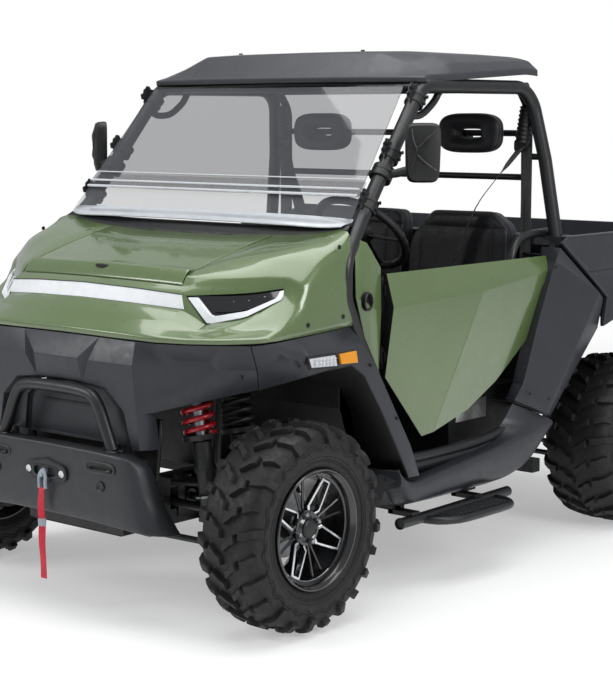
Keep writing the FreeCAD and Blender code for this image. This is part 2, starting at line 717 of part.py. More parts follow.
def suspension_arms(axle_y, side):
    """Lower and upper wishbones of the left wheel, each ending in an eye round the kingpin's pin.
    The lower one carries a tab for the shock, on the front side for -1 and the rear side for 1."""
    arms = []
    for sign, spread in zip((-1, 1), ARM_SPREADS):
        near = AXLE_Z + sign * (BALL_DROP + SEAT_GAP)
        far = near + sign * EAR_T
        middle = (near + far) / 2
        low, high = min(near, far), max(near, far)
        root_z = arm_height(ARM_ROOT_X, sign)
        pieces = [rod((KINGPIN_X, axle_y, low), (KINGPIN_X, axle_y, high), EAR_R)]
        for leg_y in (axle_y - spread, axle_y + spread):
            pieces.append(rod((ARM_ROOT_X, leg_y, root_z), (KINGPIN_X, axle_y, middle), ARM_LEG_R))
            pieces.append(box(ARM_ROOT_X - ARM_R, ARM_ROOT_X + ARM_R, leg_y - ARM_R, leg_y + ARM_R,
                              root_z - ARM_R, root_z + ARM_R))
        if sign < 0:
            z = arm_height(SHOCK_FOOT_X, sign)
            y0, y1 = sorted((axle_y, axle_y + side * (SHOCK_Y + SHOCK_R)))
            pieces.append(box(SHOCK_FOOT_X - SHOCK_R, SHOCK_FOOT_X + SHOCK_R, y0, y1,
                              z - SHOCK_TAB, z + SHOCK_TAB))
        bore = rod((KINGPIN_X, axle_y, middle - EAR_T), (KINGPIN_X, axle_y, middle + EAR_T), BALL_R + PIN_GAP)
        trim = box(KINGPIN_X - 2 * EAR_R, KINGPIN_X + 2 * EAR_R, axle_y - 2 * EAR_R, axle_y + 2 * EAR_R,
                   min(near, near - sign * EAR_T), max(near, near - sign * EAR_T))
        arms.append(fused(pieces).cut(bore).cut(trim))
    return arms


def arm_height(x, sign):
    """Height of a wishbone's centreline at a place across the vehicle."""
    end_z = AXLE_Z + sign * (BALL_DROP + SEAT_GAP + EAR_T / 2)
    root_z = end_z - sign * ARM_ROOT_RISE
    return root_z + (end_z - root_z) * (x - ARM_ROOT_X) / (KINGPIN_X - ARM_ROOT_X)


def shock_points(axle_y, side):
    """Foot on the lower wishbone and top on the tower, side is -1 ahead of the axle and 1 behind it."""
    foot_z = arm_height(SHOCK_FOOT_X, -1) + SHOCK_TAB + SEAT_GAP
    y = axle_y + side * SHOCK_Y
    return (SHOCK_FOOT_X, y, foot_z), (SHOCK_TOP_X, y, SHOCK_TOP_Z)


def between(start, end, share):
    """Point on the line from start to end."""
    return tuple(a + (b - a) * share for a, b in zip(start, end))


def build_wheels(parts):
    for name, y, x, tyre_w, rim_w in (("front", 0, FRONT_WHEEL_X, FRONT_TYRE_W, FRONT_RIM_W),
                                      ("rear", WHEELBASE, REAR_WHEEL_X, REAR_TYRE_W, REAR_RIM_W)):
        for side, word in ((1, "left"), (-1, "right")):
            centre = (side * x, y, AXLE_Z)
            parts["tyre_%s_%s" % (name, word)] = tyre(centre, tyre_w)
            parts["rim_%s_%s" % (name, word)] = rim(centre, rim_w, side)


def build_suspension(parts):
    left = knuckle(0, FRONT_WHEEL_X, FRONT_RIM_W, True)
    parts["knuckle_left"] = left
    parts["knuckle_right"] = mirrored(left)
    parts["rear_hubs"] = both_sides(knuckle(WHEELBASE, REAR_WHEEL_X, REAR_RIM_W, False))
    arms = suspension_arms(0, -1) + suspension_arms(WHEELBASE, 1)
    shocks, springs, shafts = [], [], []
    for y, side, inner in ((0, -1, DIFF_HALF_W), (WHEELBASE, 1, MOTOR_HALF_W)):
        foot, top = shock_points(y, side)
        low, high = between(foot, top, SPRING_SHARES[0]), between(foot, top, SPRING_SHARES[1])
        x0, y0, z0 = foot
        collar = between(foot, top, SPRING_SHARES[0] - SHOCK_RING / math.dist(foot, top))
        body = fused([rod(foot, top, SHOCK_R), Part.makeSphere(SHOCK_EYE_R, Vector(*top)), rod(low, collar, SPRING_R),
                      box(x0 - SHOCK_R, x0 + SHOCK_R, y0 - SHOCK_R, y0 + SHOCK_R, z0, z0 + SHOCK_R)])
        body = body.cut(box(-2 * SHOCK_TOP_X, 2 * SHOCK_TOP_X, y - TOWER_HALF_L, y + TOWER_HALF_L,
                            TOWER_TOP_Z - TOWER_BAR - SEAT_GAP, TOWER_TOP_Z + OVERRUN))
        body = body.cut(box(x0 - 2 * SPRING_R, x0 + 2 * SPRING_R, y0 - 2 * SPRING_R, y0 + 2 * SPRING_R, z0 - OVERRUN, z0))
        shocks.append(body)
        seat = between(foot, top, SPRING_SHARES[0] + SEAT_GAP / math.dist(foot, top))
        springs.append(rod(seat, high, SPRING_R).cut(rod(foot, top, SHOCK_R + SEAT_GAP)))
        end = KINGPIN_X - JOINT_R + SOCKET_DEPTH
        shaft = [rod((inner + SEAT_GAP, y, AXLE_Z), (end, y, AXLE_Z), SHAFT_R),
                 cone((inner + SEAT_GAP, y, AXLE_Z), (inner + BOOT_LEN, y, AXLE_Z), BOOT_R, SHAFT_R / 2),
                 cone((end - BOOT_LEN, y, AXLE_Z), (end, y, AXLE_Z), SHAFT_R / 2, BOOT_END_R)]
        ball = Part.makeSphere(JOINT_R + SEAT_GAP, Vector(KINGPIN_X, y, AXLE_Z))
        shafts.append(fused(shaft).cut(ball))
    parts["wishbones"] = Part.makeCompound([s for a in arms for s in (a, mirrored(a))])
    parts["shocks"] = Part.makeCompound([s for a in shocks for s in (a, mirrored(a))])
    parts["springs"] = Part.makeCompound([s for a in springs for s in (a, mirrored(a))])
    parts["half_shafts"] = Part.makeCompound([s for a in shafts for s in (a, mirrored(a))])


def tie_rod_z():
    return AXLE_Z + STEER_ARM_RISE - PIN_GAP - EAR_T / 2


def build_steering(parts):
    y, z = STEER_ARM, tie_rod_z()
    reach = KINGPIN_X
    bar = rod((-reach, y, z), (reach, y, z), TIE_R)
    half = RACK_HALF + RACK_TRAVEL + OVERRUN
    core = rod((-half, y, z), (half, y, z), RACK_BAR_R)
    eyes = [rod((s * reach, y, z - EAR_T / 2), (s * reach, y, z + EAR_T / 2), EAR_R) for s in (-1, 1)]
    parts["rack_bar"] = fused([bar, core] + eyes)
    housing = rod((-RACK_HALF, y, z), (RACK_HALF, y, z), RACK_R)
    feet = [box(x - RACK_R / 2, x + RACK_R / 2, y - RACK_R, y + RACK_R, RAIL_TOP_Z + SEAT_GAP, z)
            for x in (-RAIL_X, RAIL_X)]
    bore = rod((-RACK_HALF - OVERRUN, y, z), (RACK_HALF + OVERRUN, y, z), RACK_BAR_R + PIN_GAP)
    parts["rack_housing"] = fused([housing] + feet).cut(bore)


def tower_post(side, y):
    """Ends of a tower post's centreline on the rail and in the top bar."""
    return (side * RAIL_X, y, RAIL_MID_Z), (side * TOWER_TOP_X, y, TOWER_TOP_Z - TOWER_BAR / 2)


def tower_solids(y, shock_side):
    """Posts and top bars over one axle, which carry the shocks and the sheet metal."""
    pieces = []
    half = TOWER_BAR / 2
    low = TOWER_TOP_Z - TOWER_BAR
    for end in (-1, 1):
        bar_y = y + end * TOWER_HALF_L
        for side in (-1, 1):
            pieces.append(rod(*tower_post(side, bar_y), TOWER_POST_R))
        pieces.append(box(-TOWER_TOP_X - half, TOWER_TOP_X + half, bar_y - half, bar_y + half, low, TOWER_TOP_Z))
    for x in (-TOWER_TOP_X, TOWER_TOP_X):
        pieces.append(box(x - half, x + half, y - TOWER_HALF_L, y + TOWER_HALF_L, low, TOWER_TOP_Z))
    shock_y = y + shock_side * SHOCK_Y
    pieces.append(box(-SHOCK_TOP_X - half, SHOCK_TOP_X + half, shock_y - half, shock_y + half, low, TOWER_TOP_Z))
    return pieces


def main_frame():
    """Ladder frame with its outriggers, arm brackets and bed lugs, and the two towers welded on its rails."""
    pieces = []
    for side in (-1, 1):
        x = side * RAIL_X
        pieces.append(box(x - RAIL / 2, x + RAIL / 2, RAIL_FRONT_Y, RAIL_REAR_Y, RAIL_TOP_Z - RAIL, RAIL_TOP_Z))
    for y in (RAIL_FRONT_Y, RAIL_REAR_Y - RAIL):
        pieces.append(box(-RAIL_X, RAIL_X, y, y + RAIL, RAIL_TOP_Z - RAIL, RAIL_TOP_Z))
    length = RAIL_REAR_Y - RAIL_FRONT_Y
    for share in OUTRIGGER_SHARES:
        y = RAIL_FRONT_Y + share * length
        pieces.append(box(-OUTRIGGER_END_X, OUTRIGGER_END_X, y, y + RAIL, RAIL_TOP_Z - RAIL, RAIL_TOP_Z))
    for y in (0, WHEELBASE):
        for sign, spread in zip((-1, 1), ARM_SPREADS):
            root_z = arm_height(ARM_ROOT_X, sign)
            for side in (-1, 1):
                for end in (-1, 1):
                    x0, x1 = sorted((side * RAIL_X, side * (ARM_ROOT_X - ARM_R - SEAT_GAP)))
                    leg_y = y + end * spread
                    low = RAIL_MID_Z if sign > 0 else max(root_z - ARM_R, RAIL_TOP_Z - RAIL)
                    pieces.append(box(x0, x1, leg_y - ARM_R, leg_y + ARM_R, low, root_z + ARM_R))
    pads = []
    for side in (-1, 1):
        x = side * RAIL_X
        y, z = BED_PIVOT_Y, BED_PIVOT_Z
        pieces.append(box(x - POST_R, x + POST_R, y - LUG_R, RAIL_REAR_Y, RAIL_TOP_Z - RAIL, z - 2 * LUG_R))
        pieces.append(box(x - LUG_W / 2, x + LUG_W / 2, y - LUG_R, y + LUG_R, z - 2 * LUG_R - POST_R, z))
        pieces.append(rod((x - LUG_W / 2, y, z), (x + LUG_W / 2, y, z), LUG_R))
        middle = TOWER_TOP_X - BED_PAD_HALF_W
        bar_y = WHEELBASE - TOWER_HALF_L
        x0, x1 = sorted((side * (middle - BED_PAD_HALF_W), side * (middle + BED_PAD_HALF_W)))
        pads.append(box(x0, x1, bar_y - BED_PAD_HALF_L, bar_y + BED_PAD_HALF_L,
                        TOWER_TOP_Z - SHEET, BED_FLOOR_Z - BED_FLOOR_T - SEAT_GAP))
    reach = RAIL_X + OVERRUN
    bore = rod((-reach, BED_PIVOT_Y, BED_PIVOT_Z), (reach, BED_PIVOT_Y, BED_PIVOT_Z), BED_PIN_R + PIN_GAP)
    ladder = fused(pieces).cut(bore)
    below = box(-CAGE_HALF_W, CAGE_HALF_W, RAIL_FRONT_Y - RAIL, RAIL_REAR_Y + RAIL, 0, RAIL_TOP_Z + SEAT_GAP)
    front = fused(tower_solids(0, -1)).cut(below)
    rear = fused(tower_solids(WHEELBASE, 1) + pads).cut(below)
    return Part.makeCompound([ladder, front, rear])


def cage_points(shares):
    """Route of one side of the cage, from shares of its half width, length and height."""
    return [(x * CAGE_HALF_W, CAGE_FRONT_Y + y * (CAGE_REAR_Y - CAGE_FRONT_Y),
             CAGE_LOW_Z + z * (CAGE_TOP_Z - CAGE_LOW_Z)) for x, y, z in shares]


def cage_side(radius):
    """Left hoop of the cage, in two tubes that meet under the roof and at the sill."""
    return [bent_tube(cage_points(s), radius, CAGE_BEND) for s in (CAGE_FRONT_SHARES, CAGE_REAR_SHARES)]


def build_cage(parts):
    """Side hoops with their feet, and the bars between them, each a tube fitted to the hoops it meets."""
    tubes = cage_side(CAGE_R)
    x = CAGE_SIDE_X_SHARE * CAGE_HALF_W
    length = RAIL_REAR_Y - RAIL_FRONT_Y
    for share in OUTRIGGER_SHARES[:2]:
        y = RAIL_FRONT_Y + share * length
        tubes.append(box(TUB_HALF_W + SEAT_GAP, CAGE_FOOT_OUT_X, y, y + RAIL, RAIL_TOP_Z + SEAT_GAP, CAGE_LOW_Z))
        tubes.append(box(TUB_HALF_W + SEAT_GAP, CAGE_HALF_W, y, y + RAIL, CAGE_LOW_Z - CAGE_FOOT_SHELF, CAGE_LOW_Z))
    hoop = fused(tubes)
    hoops = [hoop, mirrored(hoop)]
    clear = fused([s for side in cage_side(CAGE_R + SEAT_GAP) for s in (side, mirrored(side))])
    bars = []
    for share in (CROSS_FRONT_SHARE, CROSS_REAR_SHARE):
        y = CAGE_FRONT_Y + share * (CAGE_REAR_Y - CAGE_FRONT_Y)
        bars.append(largest(rod((-x, y, CAGE_TOP_Z), (x, y, CAGE_TOP_Z), CROSS_R).cut(clear)))
    rear_y = CAGE_FRONT_Y + CROSS_REAR_SHARE * (CAGE_REAR_Y - CAGE_FRONT_Y)
    post_y = CAGE_REAR_Y - CAGE_R
    posts = []
    for s in (-1, 1):
        posts.append(bent_tube([(s * BELT_POST_X, rear_y, CAGE_TOP_Z), (s * BELT_POST_X, post_y, BELT_POST_BEND_Z),
                                (s * BELT_POST_X, post_y, BELT_POST_LOW_Z)], BELT_POST_R, CAGE_BEND))
        posts.append(rod((s * BELT_POST_X, post_y, SIDE_BAR_Z), (s * (x + CAGE_R), post_y, SIDE_BAR_Z), BAR_R))
    for z in (HEAD_BAR_Z, BACK_BAR_Z):
        posts.append(rod((-BELT_POST_X, post_y, z), (BELT_POST_X, post_y, z), BAR_R))
    top = rod((-x, rear_y, CAGE_TOP_Z), (x, rear_y, CAGE_TOP_Z), CROSS_R + SEAT_GAP)
    rack = largest(fused(posts).cut(clear).cut(top))
    parts["roll_cage"] = Part.makeCompound(hoops + bars + [rack])


def nose_sections():
    """Strip sections of the nose's skin across the vehicle, from one side to the other."""
    sections = []
    length, height = COWL_Y - NOSE_FRONT_Y, COWL_Z - NOSE_LOW_Z
    for share, profile in zip(NOSE_STATION_SHARES, NOSE_PROFILE_SHARES):
        line = scaled(profile, (NOSE_FRONT_Y, NOSE_LOW_Z), (length, height))
        sections.append((share * NOSE_HALF_W, strip(line[::-1], SKIN)))
    whole = [(-x, s) for x, s in sections[:0:-1]] + sections
    return [[(x, y, z) for y, z in s] for x, s in whole]


def hood_outline(gap):
    """Plan outline of the hood, drawn in by gap on every side."""
    left = [(HOOD_FRONT_HALF_W - gap, HOOD_FRONT_Y + gap), (HOOD_HALF_W - gap, HOOD_FRONT_Y + HOOD_CORNER),
            (HOOD_HALF_W - gap, HOOD_REAR_Y - gap * HOOD_HINGE_GAP / PANEL_GAP)]
    return on_both_sides(left)


def build_nose(parts, cage_clear):
    skin = ruled(nose_sections())
    length, height = COWL_Y - NOSE_FRONT_Y, COWL_Z - NOSE_LOW_Z
    side_x = NOSE_HALF_W * NOSE_STATION_SHARES[-1]
    outline = scaled(NOSE_SIDE_SHARES, (NOSE_FRONT_Y, NOSE_LOW_Z), (length, height))
    side = slab_x(outline, side_x, side_x + SKIN)
    shell = fused([skin, side, mirrored(side)])
    opening = slab_z(hood_outline(0), NOSE_LOW_Z, COWL_Z + OVERRUN)
    lid = slab_z(hood_outline(PANEL_GAP), NOSE_LOW_Z, COWL_Z + OVERRUN)
    y, z = HOOD_HINGE_Y, HOOD_HINGE_Z
    pins, eyes, bores = [], [], []
    for x in (-HOOD_HINGE_X, HOOD_HINGE_X):
        plate = x - HINGE_W / 2 - HINGE_PIN_R
        pins.append(rod((plate, y, z), (x + HINGE_W / 2, y, z), HINGE_PIN_R))
        step = HOOD_REAR_Y + SKIN
        pins.append(box(plate - HINGE_PIN_R, plate, y - HINGE_PIN_R, step + 2 * SKIN,
                        z - HINGE_PIN_R, z + HINGE_PIN_R))
        pins.append(box(plate - HINGE_PIN_R, plate, step, step + 2 * SKIN, z, z + HINGE_EYE_R + SKIN))
        eyes.append(rod((x - HINGE_W / 2, y, z), (x + HINGE_W / 2, y, z), HINGE_EYE_R))
        eyes.append(box(x - HINGE_W / 2, x + HINGE_W / 2, y - HOOD_HINGE_GAP - HINGE_EYE_R,
                        y - HINGE_EYE_R / 2, z - HINGE_EYE_R, z + HINGE_EYE_R))
        bores.append(rod((x - HINGE_W, y, z), (x + HINGE_W, y, z), HINGE_PIN_R + PIN_GAP))
    parts["nose_shell"] = largest(fused([shell.cut(opening)] + pins).cut(cage_clear))
    parts["hood"] = fused([skin.common(lid)] + eyes).cut(fused(bores))


def build_lamps(parts):
    """Light bar across the nose and the two lamps beside it, laid on the nose's skin."""
    length, height = COWL_Y - NOSE_FRONT_Y, COWL_Z - NOSE_LOW_Z
    rows = []
    for share, profile in zip(NOSE_STATION_SHARES, NOSE_PROFILE_SHARES):
        line = scaled(profile, (NOSE_FRONT_Y, NOSE_LOW_Z), (length, height))
        rows.append((share * NOSE_HALF_W, line[2], line[3]))
    bar, lamp = [], []
    for x, top, low in rows[:2]:
        front = min(top[0], low[0])
        bar.append([(x, top[0] - BAR_FRONT_T, top[1]), (x, top[0] - SEAT_GAP, top[1]),
                    (x, low[0] - SEAT_GAP, low[1]), (x, low[0] - BAR_FRONT_T, low[1])])
    whole = [[(-x, y, z) for x, y, z in bar[1]]] + bar
    parts["light_bar"] = ruled(whole)
    for x, (_, top, low) in zip((HEADLIGHT_IN_X, HEADLIGHT_OUT_X), rows[1:3]):
        lamp.append([(x, top[0] - HEADLIGHT_T, top[1]), (x, top[0] - SEAT_GAP, top[1]),
                     (x, low[0] - SEAT_GAP, low[1]), (x, low[0] - HEADLIGHT_T, low[1])])
    parts["headlights"] = both_sides(ruled(lamp).cut(parts["nose_shell"]))


def build_fascia(parts, cage_clear):
    """Dark lower front, in bent sheet across the vehicle, and the flares over the wheels."""
    sections = []
    for share, *depths in FASCIA_STATION_SHARES:
        x = share * FASCIA_HALF_W
        front, under_y, low_y = (FASCIA_FRONT_Y + depth * FASCIA_DEPTH for depth in depths)
        line = [(front + FASCIA_SHELF, FASCIA_TOP_Z), (front, FASCIA_CREASE_Z), (under_y, FASCIA_UNDER_Z),
                (low_y, FASCIA_LOW_Z)]
        sections.append((x, strip(line[::-1], SKIN)))
    whole = [(-x, s) for x, s in sections[:0:-1]] + sections
    front = ruled([[(x, y, z) for y, z in s] for x, s in whole])
    flare = ruled([[(x, y, z) for x, z in strip(line, SKIN)] for y, line in flare_lines()])
    size = (ARCH_STRIP_REAR_Y - ARCH_STRIP_FRONT_Y, ARCH_STRIP_TOP_Z - ARCH_STRIP_LOW_Z)
    line = scaled(ARCH_STRIP_SHARES, (ARCH_STRIP_FRONT_Y, ARCH_STRIP_LOW_Z), size)
    band = slab_x(strip(line[::-1], SKIN), TUB_HALF_W + SEAT_GAP, FLARE_HALF_W - SKIN)
    pieces = [front]
    share = (FASCIA_SADDLE_Z - RAIL_MID_Z) / (TOWER_TOP_Z - TOWER_BAR / 2 - RAIL_MID_Z)
    for side in (-1, 1):
        foot, head = tower_post(side, -TOWER_HALF_L)
        x = between(foot, head, share)[0]
        saddle = box(x - FASCIA_SADDLE_W / 2, x + FASCIA_SADDLE_W / 2, FASCIA_FRONT_Y + FASCIA_SADDLE_SHARE * FASCIA_DEPTH,
                     -TOWER_HALF_L, FASCIA_SADDLE_Z - FASCIA_SADDLE_H / 2, FASCIA_SADDLE_Z + FASCIA_SADDLE_H / 2)
        pieces.append(saddle.cut(rod(foot, head, TOWER_POST_R + SEAT_GAP)))
    parts["front_fascia"] = largest(fused(pieces).cut(cage_clear))
    parts["front_flares"] = both_sides(fused([flare, band]).cut(cage_clear).cut(front))


def flare_lines():
    """Front-view lines of the left flare at its stations along the vehicle."""
    lines = []
    middle = (FLARE_TOP_Z + FLARE_LOW_Z) / 2
    for y_share, x_share in zip(FLARE_Y_SHARES, FLARE_X_SHARES):
        y = FLARE_FRONT_Y + y_share * (FLARE_REAR_Y - FLARE_FRONT_Y)
        edge = FLARE_HALF_W * x_share
        lines.append((y, [(FLARE_IN_X, FLARE_TOP_Z), (edge - FLARE_ROUND, middle + FLARE_ROUND), (edge, middle),
                          (edge, FLARE_LOW_Z)]))
    return lines


def build_bumper(parts):
    """Folded front plate with swept wings, brackets to the frame and a hoop on its lip."""
    y, t = BUMPER_Y, SHEET
    plate = slab_y([(-BUMPER_TOP_HALF_W, BUMPER_TOP_Z), (BUMPER_TOP_HALF_W, BUMPER_TOP_Z),
                    (BUMPER_LOW_HALF_W, BUMPER_LOW_Z), (-BUMPER_LOW_HALF_W, BUMPER_LOW_Z)], y, y + t)
    lip = box(-BUMPER_TOP_HALF_W, BUMPER_TOP_HALF_W, y, y + BUMPER_LIP, BUMPER_TOP_Z - t, BUMPER_TOP_Z)
    top = (BUMPER_TOP_HALF_W, BUMPER_TOP_Z)
    low = (BUMPER_LOW_HALF_W, BUMPER_LOW_Z)
    root = [(x, at, z) for (x, z), ats in ((top, (y, y + t)), (low, (y + t, y))) for at in ats]
    back = y + WING_Y
    tips = (top[0] + WING_X / 4, low[0] + WING_X)
    wing = ruled([root, [(tips[0], back, top[1]), (tips[0] - t, back, top[1]), (tips[1] - t, back, low[1]),
                         (tips[1], back, low[1])]])
    brackets = []
    for side in (-1, 1):
        x = side * RAIL_X
        post = rod(*tower_post(side, -TOWER_HALF_L), TOWER_POST_R + SEAT_GAP)
        stay = box(x - RAIL / 2, x + RAIL / 2, y + t / 2, RAIL_FRONT_Y - SEAT_GAP, RAIL_TOP_Z, RAIL_TOP_Z + 2 * RAIL)
        tail = box(x - RAIL / 2, x + RAIL / 2, y + t / 2, RAIL_FRONT_Y + RAIL, RAIL_TOP_Z + SEAT_GAP, RAIL_TOP_Z + t)
        brackets += [stay.cut(post), tail.cut(post)]
    slot = box(-FAIRLEAD_SLOT_W / 2, FAIRLEAD_SLOT_W / 2, y - OVERRUN, y + OVERRUN,
               FAIRLEAD_Z - FAIRLEAD_SLOT_H / 2, FAIRLEAD_Z + FAIRLEAD_SLOT_H / 2)
    half_w, half_h = HOOK_SLOT_W / 2, HOOK_SLOT_H / 2
    holes = both_sides(box(HOOK_SLOT_X - half_w, HOOK_SLOT_X + half_w, y - OVERRUN, y + OVERRUN,
                           HOOK_SLOT_Z - half_h, HOOK_SLOT_Z + half_h))
    pins = both_sides(rod((PIN_HOLE_X, y - OVERRUN, PIN_HOLE_Z), (PIN_HOLE_X, y + OVERRUN, PIN_HOLE_Z), PIN_HOLE_R))
    bumper = fused([plate, lip, wing, mirrored(wing)] + brackets).cut(slot).cut(holes).cut(pins)
    line = on_both_sides([(-HOOP_FOOT_X, BUMPER_TOP_Z), (-HOOP_TOP_X - HOOP_R, HOOP_TOP_Z)])
    hoop = bent_tube([(x, HOOP_Y, z) for x, z in line], HOOP_R, HOOP_BEND)
    parts["bumper"] = bumper
    parts["bumper_hoop"] = hoop.cut(box(-FLARE_HALF_W, FLARE_HALF_W, y - OVERRUN, 0, 0, BUMPER_TOP_Z))
    plate = box(-FAIRLEAD_HALF_W, FAIRLEAD_HALF_W, y - FAIRLEAD_T, y - SEAT_GAP,
                FAIRLEAD_Z - FAIRLEAD_H / 2, FAIRLEAD_Z + FAIRLEAD_H / 2)
    parts["fairlead"] = plate.cut(slot)
    back = y + WINCH_BACK
    drum = rod((-WINCH_LEN / 2, back, FAIRLEAD_Z), (WINCH_LEN / 2, back, FAIRLEAD_Z), WINCH_R)
    feet = [box(x - t, x + t, y + t + SEAT_GAP, back, FAIRLEAD_Z - WINCH_R, FAIRLEAD_Z + WINCH_R)
            for x in (-WINCH_FOOT_X, WINCH_FOOT_X)]
    parts["winch"] = fused([drum] + feet)


def build_strap(parts):
    """Limp strap that hangs from the fairlead, and the metal eye at its upper end."""
    x, y, z = STRAP_POINTS[0]
    points = [Vector(*p) for p in STRAP_POINTS]
    for a, b, c in zip(points, points[1:], points[2:]):
        turn = (b - a).getAngle(c - b)
        shorter = min((b - a).Length, (c - b).Length)
        print("strap bend radius", round(STRAP_RUN_SHARE * shorter / math.tan(turn / 2)))
    tube = bent_tube(STRAP_POINTS, STRAP_R, STRAP_BEND, STRAP_RUN_SHARE)
    parts["winch_strap"] = tube
    face = BUMPER_Y - FAIRLEAD_T - SEAT_GAP
    eye = fused([box(x - HOOK_HALF_W, x + HOOK_HALF_W, y - HOOK_T / 2, face, z, HOOK_TOP_Z),
                 box(x - HOOK_HALF_W / 2, x + HOOK_HALF_W / 2, y, BUMPER_Y + WINCH_BACK - WINCH_R - SEAT_GAP,
                     FAIRLEAD_Z - FAIRLEAD_SLOT_H / 4, FAIRLEAD_Z + FAIRLEAD_SLOT_H / 4)])
    parts["winch_hook"] = eye.cut(tube)


def build_cab(parts, cage_clear):
    """Floor tub, seat base with the battery in it, cushions, backs, headrests and belts."""
    line = [(TUB_FRONT_Y, DASH_LOW_Z - SEAT_GAP), (TUB_FRONT_Y, TUB_TOE_Z), (TUB_FRONT_Y + TUB_SLOPE, FLOOR_Z),
            (TUB_REAR_Y, FLOOR_Z), (TUB_REAR_Y, TUB_BACK_Z)]
    tub = slab_x(strip(line[::-1], SKIN), -TUB_HALF_W, TUB_HALF_W)
    parts["cab_tub"] = tub.cut(cage_clear)
    rear = TUB_REAR_Y - SKIN - SEAT_GAP
    low = FLOOR_Z + SKIN + SEAT_GAP
    shell = box(-SEAT_BASE_HALF_W, SEAT_BASE_HALF_W, SEAT_BASE_FRONT_Y, rear, low, SEAT_BASE_Z)
    inside = box(-SEAT_BASE_HALF_W + SEAT_WALL, SEAT_BASE_HALF_W - SEAT_WALL, SEAT_BASE_FRONT_Y + SEAT_WALL,
                 rear - SEAT_WALL, low - OVERRUN, SEAT_BASE_Z - SEAT_WALL)
    parts["seat_base"] = shell.cut(inside)
    parts["battery"] = box(-BATTERY_HALF_W, BATTERY_HALF_W, SEAT_BASE_FRONT_Y + BATTERY_MARGIN,
                           rear - BATTERY_MARGIN, low, low + BATTERY_H)
    cushion_z = SEAT_BASE_Z + SEAT_GAP
    cushions, backs = [], []
    foot = BACK_Y - BACK_T - BACK_LEAN
    centre = (-CENTRE_SEAT_HALF_W, CENTRE_SEAT_HALF_W)
    for x0, x1 in ((SEAT_IN_X, SEAT_OUT_X), (-SEAT_OUT_X, -SEAT_IN_X), centre):
        cushions.append(box(x0, x1, CUSHION_FRONT_Y, foot - PANEL_GAP, cushion_z, cushion_z + CUSHION_T))
        back_low = cushion_z + PANEL_GAP
        backs.append(slab_x([(foot, back_low), (rear, back_low), (rear, TUB_BACK_Z),
                             (BACK_Y - SKIN, BACK_TOP_Z), (foot + BACK_LEAN, BACK_TOP_Z)], x0, x1))
    parts["seat_cushions"] = Part.makeCompound(cushions)
    parts["seat_backs"] = Part.makeCompound(backs)
    post_y = CAGE_REAR_Y - CAGE_R
    rests, belts = [], []
    for s in (-1, 1):
        x = s * HEADREST_X
        pad = box(x - HEADREST_W / 2, x + HEADREST_W / 2, post_y - HEADREST_T - BAR_R, post_y + BAR_R,
                  HEAD_BAR_Z - HEADREST_H / 2, HEAD_BAR_Z + HEADREST_H / 2)
        edges = [e for e in pad.Edges if e.Curve.Direction.x == 0 and e.Curve.Direction.z == 0]
        pad = pad.makeFillet(HEADREST_R, edges)
        slot_z = HEAD_BAR_Z + BAR_R + SKIN
        hole = box(x - HEADREST_SLOT_W / 2, x + HEADREST_SLOT_W / 2, post_y - HEADREST_T - OVERRUN,
                   post_y + OVERRUN, slot_z, slot_z + HEADREST_SLOT_H)
        bar = rod((-BELT_POST_X, post_y, HEAD_BAR_Z), (BELT_POST_X, post_y, HEAD_BAR_Z), BAR_R + SEAT_GAP)
        rests.append(pad.cut(hole).cut(bar))
        bx = s * BELT_POST_X
        by = post_y - BELT_POST_R - BELT_BOOT_R - SEAT_GAP
        boot_low = (bx, by, BOOT_TOP_Z - BELT_BOOT_H)
        boot = rod(boot_low, (bx, by, BOOT_TOP_Z), BELT_BOOT_R)
        strap = bent_tube([boot_low, (s * BELT_OVER_X, by - BELT_OVER_BACK, BELT_OVER_Z),
                           (s * BELT_END_X, foot - BELT_END_FORE, BELT_END_Z)], SKIN, CAGE_BEND)
        belts.append(fused([boot, strap]))
    parts["headrests"] = Part.makeCompound(rests)
    parts["seat_belts"] = Part.makeCompound(belts)


def tilt_point(along):
    """Point on the steering column's axis, at a distance behind the wheel's centre toward the driver."""
    angle = math.radians(STEERING_TILT)
    return (STEERING_X, STEERING_Y + along * math.cos(angle), STEERING_Z + along * math.sin(angle))


def build_dash(parts, cage_clear):
    """Dash with the column's sleeve, and the steering wheel on its spindle."""
    size = (DASH_REAR_Y - DASH_FRONT_Y, DASH_TOP_Z - DASH_LOW_Z)
    dash = slab_x(scaled(DASH_SHARES, (DASH_FRONT_Y, DASH_LOW_Z), size), -DASH_HALF_W, DASH_HALF_W)
    sleeve = rod(tilt_point(-COLUMN_LEN), tilt_point(-STEERING_HUB_T - PANEL_GAP), COLUMN_R)
    bore = rod(tilt_point(-STEERING_R), tilt_point(OVERRUN), SPINDLE_R / 2 + PIN_GAP)
    parts["dash"] = fused([dash, sleeve]).cut(bore).cut(cage_clear)
    centre = Vector(*tilt_point(0))
    axis = Vector(*tilt_point(1)) - centre
    ring_shape = Part.makeTorus(STEERING_R - STEERING_RIM_R, STEERING_RIM_R, centre, axis)
    hub = rod(tilt_point(-STEERING_HUB_T), tilt_point(0), STEERING_HUB_R)
    spindle = rod(tilt_point(-STEERING_R + OVERRUN), tilt_point(-STEERING_HUB_T / 2), SPINDLE_R / 2)
    across = Vector(1, 0, 0)
    up = axis.cross(across)
    spokes = []
    for angle in STEERING_SPOKE_ANGLES:
        a = math.radians(angle)
        tip = centre + (across * math.cos(a) + up * math.sin(a)) * (STEERING_R - STEERING_RIM_R)
        spokes.append(rod(tilt_point(-STEERING_HUB_T / 2), tuple(tip), STEERING_SPOKE_R))
    parts["steering_wheel"] = fused([ring_shape, hub, spindle] + spokes)


def pane_point(z):
    """How far back the windscreen's outer plane lies at height z."""
    return PANE_FOOT_Y + PANE_SLOPE * (z - PANE_FOOT_Z)


